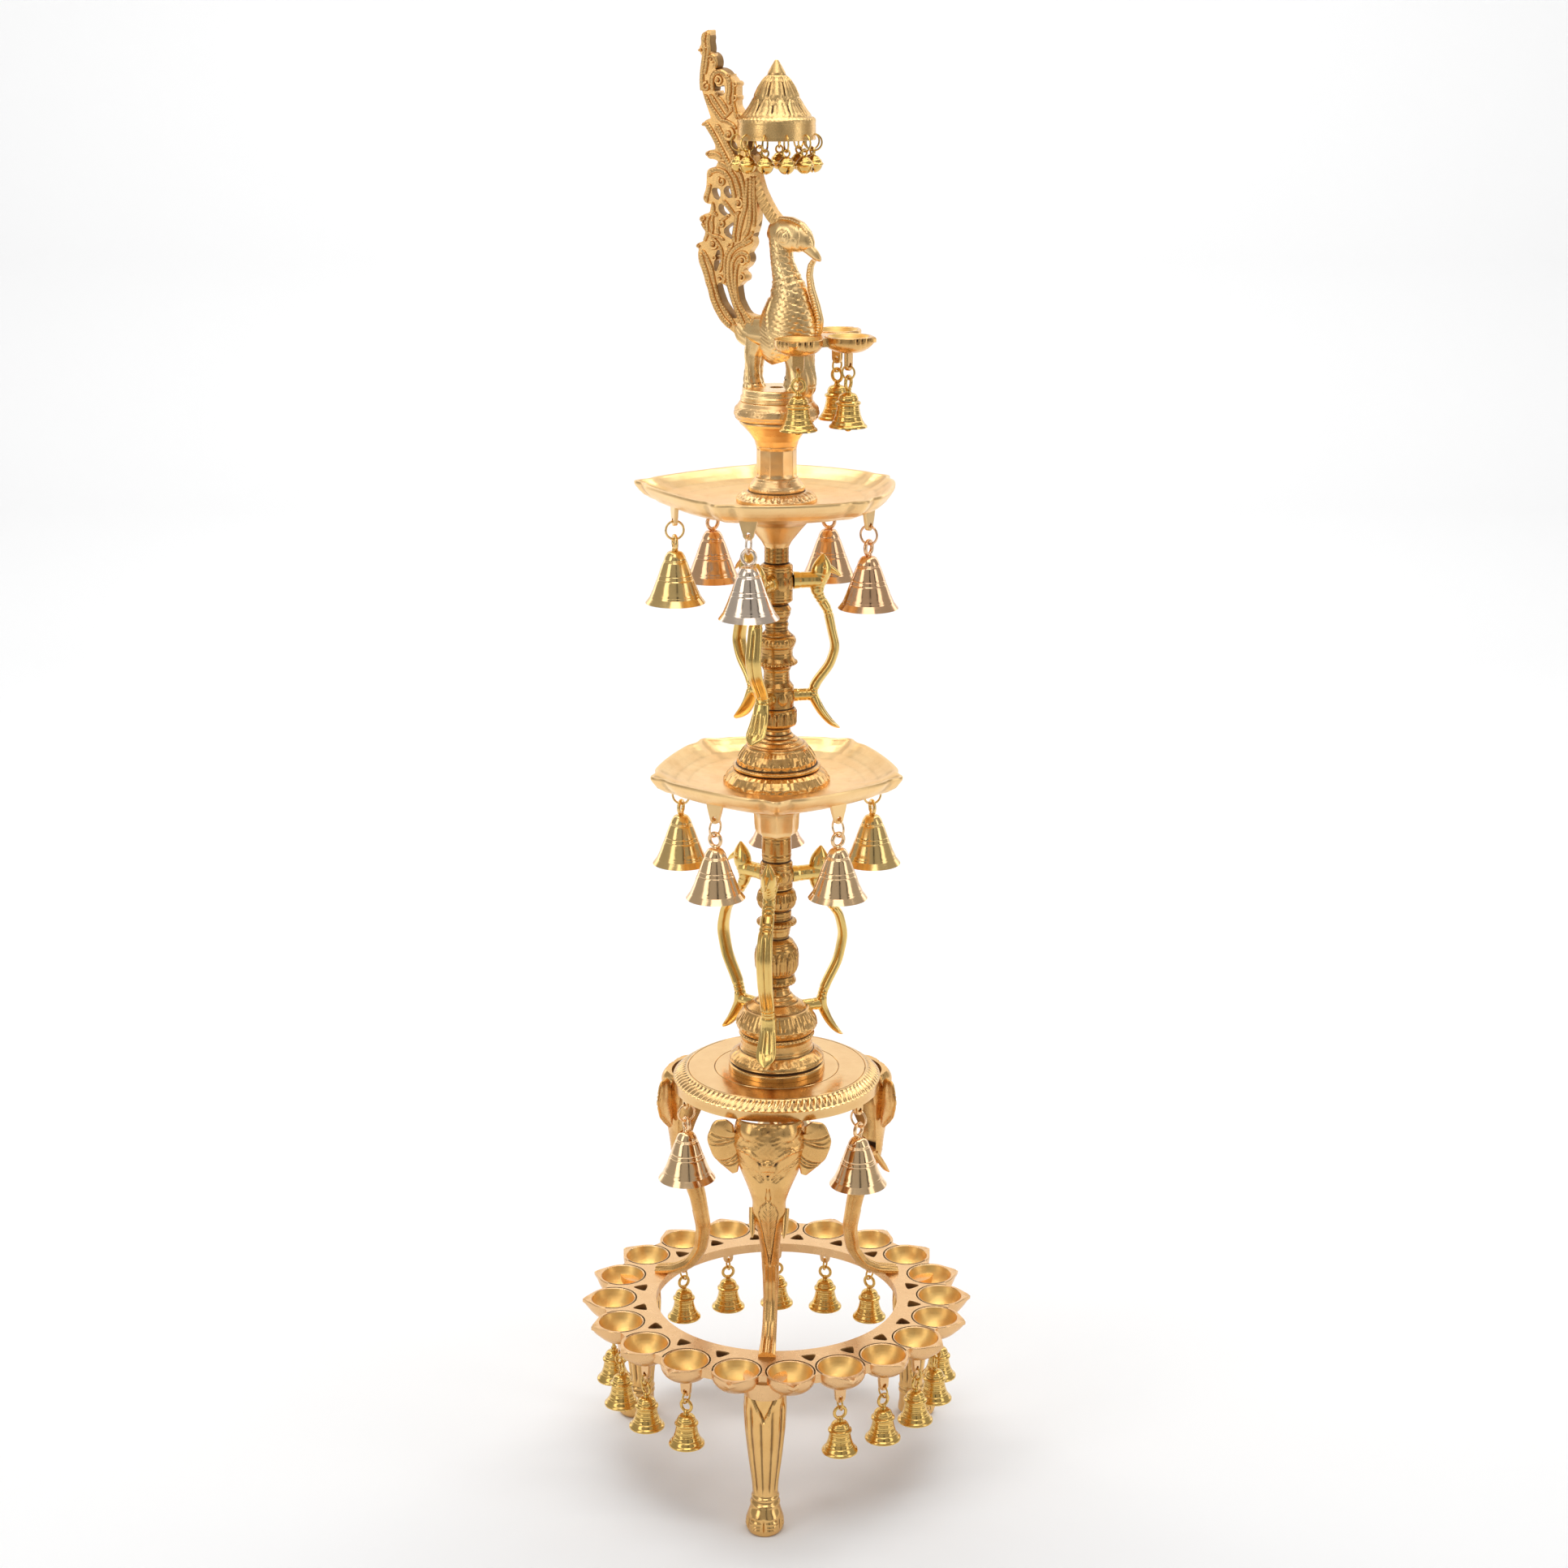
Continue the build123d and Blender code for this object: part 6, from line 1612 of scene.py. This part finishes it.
STRAP = [(3, 131.5), (-3.5, 138), (-9, 146.5), (-13.5, 155), (-16.5, 164), (-18.5, 173), (-20.5, 182)]
TAIL_PLATE = (
    (-19.5, 44.5), (-29, 46.5), (-38, 52), (-43.5, 57.5), (-48.5, 64.5), (-53, 70.5), (-54.5, 76.5),
    (-55.5, 80), (-58, 84.5), (-59.5, 91), (-62, 97), (-64, 101.5), (-64.5, 108), (-63.5, 110.5),
    (-65, 113), (-64, 115.5), (-59.5, 116.5), (-58, 121), (-57.5, 124.5), (-59, 128), (-61.5, 131),
    (-61.5, 135), (-58.5, 137), (-54, 138), (-53.5, 141.5), (-52.5, 144.5), (-56.5, 144.5), (-59.5, 147),
    (-59.5, 150), (-57, 156), (-56.5, 162), (-56.5, 168.5), (-53.5, 171), (-48.5, 172), (-48, 173.5),
    (-46.5, 176), (-50, 177.5), (-54.5, 177.5), (-56.5, 180), (-56.5, 182.5), (-54, 184), (-49, 184.5),
    (-49, 187), (-50.5, 190.5), (-53, 194.5), (-56, 198.5), (-59, 203), (-58, 205), (-55, 206.5),
    (-52.5, 207), (-54, 211), (-56, 216), (-58, 221), (-60, 227), (-61, 233.5), (-60.5, 240),
    (-59.5, 246.5), (-59.5, 251.5), (-61.5, 254.5), (-62, 258), (-60.5, 260), (-60.5, 264), (-59, 267.5),
    (-56.5, 270), (-53, 271), (-52.5, 268.5), (-53.5, 263), (-53, 258), (-52.5, 254.5), (-49, 254),
    (-47.5, 252), (-47, 248.5), (-48, 245), (-49, 242.5), (-45.5, 241.5), (-40, 241), (-36, 238.5),
    (-33, 235.5), (-30.5, 231.5), (-30.5, 227), (-30.5, 226.5), (-30.5, 220), (-30.5, 216.5),
    (-27.5, 212.5), (-26.5, 206), (-26, 198.5), (-23, 191), (-19, 183), (-17, 174.5), (-16, 164.5),
    (-16, 160), (-15.5, 153.5), (-14, 144.5), (-13.5, 137), (-14.5, 130), (-16, 125.5), (-18, 122),
    (-16.5, 118), (-17.5, 114.5), (-20, 111.5), (-21.5, 108), (-19.5, 104), (-21.5, 100), (-25, 97.5),
    (-26.5, 96), (-23.5, 93), (-25, 89), (-28, 86.5), (-30, 84.5), (-32, 81), (-32, 76.5), (-30, 72),
    (-26, 67.5), (-20.5, 63.5), (-14.5, 63), (-6.5, 65.5), (-1, 68.5),
)
TAIL_WINDOWS = (
    ((-48, 85.5), (-44, 85.5), (-39, 83), (-37, 76.5), (-34, 69), (-30, 61), (-37.5, 61), (-43.5, 68),
     (-47, 76.5)),
    ((-48.5, 109), (-46, 111), (-45, 104.5), (-47, 100), (-49.5, 94), (-50.5, 99)),
    ((-42, 126), (-38, 128.5), (-35, 131), (-32.5, 131), (-32, 124.5), (-33.5, 119), (-37, 120.5),
     (-41, 122.5)),
    ((-46, 144), (-43.5, 144.5), (-37, 138), (-38, 136), (-42.5, 137), (-46, 140)),
    ((-52, 155.5), (-47.5, 156), (-45, 154.5), (-46, 148), (-49.5, 149), (-51, 152)),
    ((-42, 155.5), (-38, 158.5), (-36, 155.5), (-34.5, 151), (-38, 149.5), (-41, 152.5)),
    ((-50, 234), (-48, 229.5), (-44, 229.5), (-41.5, 231.5), (-41, 225), (-45, 224), (-49, 226.5)),
    ((-38, 190), (-35, 191.5), (-32.5, 190), (-30.5, 186), (-28, 182), (-29, 179), (-31.5, 180.5),
     (-35.5, 186)),
)
strand_patches = [strand(path, half) for half, path in STRANDS] + [strand(STRAP, 4.2, 0.2, twist=4.5)]
curl_patches = [patch for values in CURLS for patch in curl(*values)]
piece("tail_strands", placed(strand_patches, facing), "tail_brass", "stand", ["peacock_tail"])
piece("tail_curls", placed(curl_patches, facing), "tail_brass", "stand")
windows = [grown(eased_loop(window), 0.7) for window in TAIL_WINDOWS]
ground = flat_plate(eased_loop(TAIL_PLATE), windows, -PLATE_HALF, PLATE_HALF, upright=True)
# sunk=0.3 darkens the whole plate between the strands: painted shade
piece("tail_ground", placed([ground], facing), "tail_brass", "stand", sunk=0.3)
# dark strips along the foot of each strand and dark linings in the windows: painted shade, with some patina
shade_strips = [strand(path, half + 0.8, 0.16, 4, 0.9, 3.0, 90.0) for half, path in STRANDS]
shade_strips += [window_shade_lining(window) for window in windows]
piece("tail_painted_shade", placed(shade_strips, facing), "shade_and_patina_brass", "stand")
print("tail", sum(len(p[1]) for p in strand_patches), "and", sum(len(p[1]) for p in curl_patches), "quads")

# %% [markdown]
# ## Oil lamps
# Each lamp is a round bowl with a pointed lip. A rim point lies at R(a) from the bowl's middle: on the
# circle, or past the tangent on the straight flank of the lip, R(a) = r / cos(tangent - |a|). A half
# ball with its lip pulled out would do for one lamp; the formula makes all of a size alike.


# %% Lamp cups
def from_lip(a):
    """Angle away from the lip, the same to both sides."""
    return np.abs((a + math.pi) % TAU - math.pi)


def notched(a, notches, width):
    """1 at each notch beside the lip, with a bell curve to both sides: exp(-(angle / width)^2)."""
    return sum(np.exp(-(((from_lip(a) - n) / width) ** 2)) for n in notches)


def rim_radius(a, outer, tip):
    """Distance from the bowl's middle to its outline in the direction a, the lip at a = 0."""
    tangent = math.acos(outer / tip)
    turn = from_lip(a)
    blunt_tip = 0.35 * np.exp(-((turn / 0.06) ** 2))
    return np.where(turn < tangent, outer / np.cos(tangent - turn), outer) - blunt_tip


def cup_patch(centre, heading, mouth, outer, tip, rim, depth, lip_height, cols=72, notches=()):
    """Bowl from the middle of its inside up to the rim, out along the lip and down to the underside.

    The inside is part of a ball: z = base - sqrt(ball^2 - r^2), ball = (mouth^2 + depth^2) / (2 depth)."""
    brim, wall = 3.0, outer - mouth
    ball = (mouth**2 + depth**2) / (2 * depth)
    a = np.linspace(0, TAU, cols, endpoint=False)
    edge = rim_radius(a, outer, tip)
    base = rim - depth + ball
    rows = [(r + 0 * a, base - math.sqrt(ball**2 - r**2) + 0 * a) for r in np.linspace(0.2, mouth, 14)]
    rows[-1] = (mouth + 0 * a, rim - 0.45 + 0 * a)
    for share, drop in ((0.0, 0.12), (0.14, 0.0), (0.4, 0.0), (0.7, 0.0), (0.93, 0.0), (1.0, 0.14)):
        r = mouth + 0.4 + (edge - 0.25 - mouth - 0.4) * share
        spout = np.clip(np.cos(a), 0, 1) * np.exp(-(r * np.sin(a) / 1.5) ** 2) * share * 1.3
        rows.append((r, rim - drop - spout))
    cut = notched(a, notches, 0.05)
    for drop in (0.5, 1.2, 2.2, brim):
        rows.append((edge - 1.3 * cut - 0.02 * drop, rim - drop - 0.4 * np.cos(a) * (edge - outer) * 0.2))
    fall = depth + wall - brim
    cut = notched(a, notches, 0.06)
    for t in np.linspace(0.07, 1, 14):
        z = rim - brim - fall * math.sin(t * math.pi / 2)
        reach = max(0.0, 1 - (rim - z) / lip_height) ** 0.8
        r = outer * math.cos(t * math.pi / 2) ** 0.8 + (edge - outer) * reach - cut * max(0.0, 1 - 3 * t)
        rows.append((np.maximum(r, 0.3), z + 0 * a))
    radius, z = (np.array(part) for part in zip(*rows))
    x = centre[0] + radius * np.cos(a + heading)
    y = centre[1] + radius * np.sin(a + heading)
    return sheet(np.stack((x, y, z), -1) * MM)


def bowl_lining(centre, mouth, rim, depth, thick=0.12):
    """Thin polished skin of a bowl, so that the spun inside has its own finish."""
    ball = (mouth**2 + depth**2) / (2 * depth)
    r = np.linspace(0.3, mouth - 0.15, 12)
    z = rim - depth + ball - np.sqrt(ball**2 - r**2) + thick
    profile = list(zip(r * MM, z * MM)) + list(zip(r[::-1] * MM, (z[::-1] - thick * 0.8) * MM))
    return lathe(profile, 56, centre=(centre[0] * MM, centre[1] * MM), closed=True)


def inner_arc(centre, heading, radius, spread, steps=16):
    """Points round a bowl on the side that faces the column, in order of growing heading."""
    a = heading + np.linspace(spread, -spread, steps)
    return list(zip(centre[0] - radius * np.cos(a), centre[1] - radius * np.sin(a)))


# %% Ring of lamps
RIM = openings["ring_lamp_01"][1][2] / MM
RING_MOUTH, RING_OUTER, RING_TIP, RING_DEPTH = 17.5, 20.1, 25.5, 14.0
PLATE_LOW = RIM - 7.5
RING_INNER_R = 99.5
LEAF_R = 113.5
lamps = sorted(((heading_of(c) % TAU, c / MM) for c in ring_lamps), key=lambda row: row[0])
ring_outline = [p for h, c in lamps for p in inner_arc(c, h, RING_MOUTH + 1.2, math.radians(110))]
circle = np.linspace(0, TAU, 240, endpoint=False)
inner_circle = np.stack((RING_INNER_R * np.cos(circle), RING_INNER_R * np.sin(circle)), -1)
LEAF = ((-4.4, -6.2), (-5.0, 0), (-4.4, 6.2), (-1.5, 5.4), (3, 3.2), (7.2, 0), (3, -3.2), (-1.5, -5.4))
leaf_headings = []
for (before, _), (after, _) in zip(lamps, lamps[1:] + [(lamps[0][0] + TAU, None)]):
    between = (before + after) / 2
    if min(abs((between - leg + math.pi) % TAU - math.pi) for leg in leg_headings) > math.radians(4):
        leaf_headings.append(between)


def leaf_loop(heading):
    """Leaf-shaped window between two bowls, its tip outwards."""
    leaf = eased_loop(LEAF) + (LEAF_R, 0)
    c, s = math.cos(heading), math.sin(heading)
    return leaf @ np.array(((c, s), (-s, c)))


# share of the window's outline, drop below the rim
POCKET_ROWS = ((0.03, 5.2), (0.7, 5.0), (0.93, 4.4), (0.97, 0.5), (1.0, 0.4), (1.0, 7.0), (0.03, 7.0))


def leaf_shade_pocket(heading):
    """Painted shade in a leaf window: a dark, rough floor, wall and underside round the window's outline."""
    middle = np.array((LEAF_R * math.cos(heading), LEAF_R * math.sin(heading)))
    loop = leaf_loop(heading) - middle
    rows = []
    for size, drop in POCKET_ROWS:
        rows.append(np.concatenate((middle + loop * size, np.full((len(loop), 1), RIM - drop)), 1))
    return sheet(np.array(rows) * MM)


ring_windows = [inner_circle[::-1]] + [leaf_loop(h) for h in leaf_headings]
ring_patches = [flat_plate(ring_outline, ring_windows, PLATE_LOW, RIM)]
ring_patches += [cup_patch(c, h, RING_MOUTH, RING_OUTER, RING_TIP, RIM, RING_DEPTH, 11.0) for h, c in lamps]
ring_patches += lugs_for("ring_bell", (RIM - 13) * MM, 11 * MM)
leg_boss = [(17 * MM, 117.5 * MM), (17.4 * MM, 118.5 * MM), (17.4 * MM, (PLATE_LOW + 1) * MM)]
for heading in leg_headings:
    leg_spot = (LEG_R * MM * math.cos(heading), LEG_R * MM * math.sin(heading))
    ring_patches.append(lathe(leg_boss, 64, centre=leg_spot))
piece("ring_of_lamps", ring_patches, "ring_brass", "stand", ["diya_ring"], sharp=30)
bowls = [bowl_lining(c, RING_MOUTH, RIM, RING_DEPTH) for _, c in lamps]
linings = piece("ring_bowl_linings", bowls, "bowl_brass", "stand", ())
mark_turning(linings, [c for _, c in lamps])
# the leaf windows get a dark floor and walls: painted shade
piece("ring_leaf_shade_pockets", [leaf_shade_pocket(h) for h in leaf_headings], "shade_pocket_brass", "stand")

# %% Cluster of three small lamps in front of the bird
SMALL_RIM = openings["cluster_lamp_1"][1][2] / MM
SMALL_MOUTH, SMALL_OUTER, SMALL_TIP, SMALL_DEPTH = 15.5, 18.1, 23.1, 10.0
CLUSTER_R = 26
WEB_R = 18
CLUSTER_MIDDLE = np.array((CLUSTER_R * math.cos(facing), CLUSTER_R * math.sin(facing)))
small = [(heading_of(c[:2] / MM - CLUSTER_MIDDLE), c / MM) for c in cluster_lamps]
small.sort(key=lambda row: row[0])
NOTCHES = (0.26, 0.50, 0.74)
web = [p for h, c in small for p in inner_arc(c, h, SMALL_MOUTH + 1.0, math.radians(62))]
web += [(WEB_R * math.cos(facing + b), WEB_R * math.sin(facing + b)) for b in (0.55, 0.2, -0.2, -0.55)]
cluster_patches = [
    cup_patch(c, h, SMALL_MOUTH, SMALL_OUTER, SMALL_TIP, SMALL_RIM, SMALL_DEPTH, 8.0, 150, NOTCHES)
    for h, c in small
]
cluster_patches.append(flat_plate(web, [], SMALL_RIM - 7, SMALL_RIM - 0.6))
for name, (spot, axis) in hinges.items():
    if name.startswith("cluster_bell"):
        turn = heading_of(axis)
        lug = lug_patches(0, spot.z, (SMALL_RIM - 10) * MM, 9 * MM)
        cluster_patches += placed(lug, turn, (spot.x, spot.y, 0))
piece("cluster_cups", cluster_patches, "cast_brass", "stand", ["diya_cluster"], sharp=30)
bowls = [bowl_lining(c, SMALL_MOUTH, SMALL_RIM, SMALL_DEPTH) for _, c in small]
linings = piece("cluster_bowl_linings", bowls, "bowl_brass", "stand", ())
mark_turning(linings, [c for _, c in small])

# %% [markdown]
# ## Floor, light and camera
# Polished metal shows its surroundings, so the lights are wide soft boxes whose reflections run down the
# round pieces as long streaks, with darker gaps between them. A picture of a room could light it too, but
# boxes are placed and sized one by one. The floor and backdrop are plain and pale.

# %% Floor and backdrop in one sweep
def sweep(width, depth, height, bend):
    """Flat floor that bends up into a wall: (y, z) runs straight, round a quarter circle, straight."""
    turn = np.linspace(0, math.pi / 2, 4)
    y = np.concatenate(([-depth], depth - bend + bend * np.sin(turn), [depth]))
    z = np.concatenate(([0.0], bend - bend * np.cos(turn), [height]))
    x = np.array((-width, width))
    grid = np.stack(np.broadcast_arrays(x[None, :], y[:, None], z[:, None]), -1)
    return sheet(grid, closed_cols=False, caps=(False, False))


def plain_material(name, colour, roughness):
    """Matt paper."""
    made = bpy.data.materials.new(name)
    made.use_nodes = True
    shader = made.node_tree.nodes["Principled BSDF"]
    shader.inputs["Base Color"].default_value = colour + (1,)
    shader.inputs["Roughness"].default_value = roughness
    return made


paper = plain_material("studio_paper", (0.9, 0.9, 0.9), 0.9)
points, quads, _ = sweep(6.0, 4.0, 5.0, 1.2)
floor_mesh = bpy.data.meshes.new("studio_floor")
floor_mesh.from_pydata(points.tolist(), [], quads.tolist())
floor_mesh.shade_smooth()
floor_mesh.materials.append(paper)
studio_floor = bpy.data.objects.new("studio_floor", floor_mesh)
bpy.context.scene.collection.objects.link(studio_floor)


# %% Soft boxes
def soft_box(name, spot, aim, width, height, watts):
    """Area light at a spot, turned so that its -Z looks at the aim."""
    light = bpy.data.lights.new(name, "AREA")
    light.shape = "RECTANGLE"
    light.size = width
    light.size_y = height
    light.energy = watts
    made = bpy.data.objects.new(name, light)
    made.location = spot
    made.rotation_euler = (Vector(aim) - Vector(spot)).to_track_quat("-Z", "Y").to_euler()
    bpy.context.scene.collection.objects.link(made)
    return made


middle = Vector((0, 0, cad_high.z / 2))
soft_box("key_left", (-1.6, -1.3, 1.5), middle, 0.9, 2.0, 9)
soft_box("fill_right", (1.9, -0.9, 1.1), middle, 0.7, 2.0, 6)
soft_box("top_front", (0.1, -1.4, 3.0), middle, 1.6, 1.0, 9)
soft_box("rim_left", (-1.3, 1.3, 1.2), middle, 0.5, 2.0, 4)
soft_box("rim_right", (1.3, 1.3, 1.4), middle, 0.5, 2.0, 4)
soft_box("wall_light", (0, 1.2, 3.6), (0, 4.0, 1.2), 5.0, 0.8, 80)
soft_box("floor_light", (0, 0.4, 4.2), (0, 0.9, 0), 4.0, 3.0, 60)

# %% Dark cards on the camera's side: only reflections see them, as the polished bells' dark streaks
CARD_DISTANCE = 2.5
CARD_LOW, CARD_HIGH = 0.1, 2.6
card_paper = plain_material("dark_card", (0.02, 0.018, 0.016), 0.9)
for name, angle, width in (("card_left", 232, 0.5), ("card_middle", 281, 0.35), ("card_right", 322, 0.5)):
    a = math.radians(angle)
    across = np.array((-math.sin(a), math.cos(a))) * width / 2
    foot = np.array((math.cos(a), math.sin(a))) * CARD_DISTANCE
    ends = ((-1, CARD_LOW), (1, CARD_LOW), (1, CARD_HIGH), (-1, CARD_HIGH))
    corners = [(*(foot + s * across), z) for s, z in ends]
    card_mesh = bpy.data.meshes.new(name)
    card_mesh.from_pydata(corners, [], [(0, 1, 2, 3)])
    card_mesh.materials.append(card_paper)
    card = bpy.data.objects.new(name, card_mesh)
    card.visible_camera = False
    bpy.context.scene.collection.objects.link(card)

world = bpy.data.worlds.new("studio")
world.use_nodes = True
world.node_tree.nodes["Background"].inputs["Color"].default_value = (1, 1, 1, 1)
world.node_tree.nodes["Background"].inputs["Strength"].default_value = 0.4
bpy.context.scene.world = world
bpy.context.scene.view_settings.view_transform = "Standard"

# %% Camera, at eye level with the top tray and looking a little down
CAMERA_SPOT = (0.0, -2.1743, 1.1984)
CAMERA_DIP = 15.94
camera_data = bpy.data.cameras.new("camera")
camera_data.lens = 66.15
camera_data.sensor_width = 36
camera_data.shift_x = 0.0047
camera = bpy.data.objects.new("camera", camera_data)
camera.location = CAMERA_SPOT
camera.rotation_euler = (math.radians(90 - CAMERA_DIP), 0, 0)
bpy.context.scene.collection.objects.link(camera)
bpy.context.scene.camera = camera
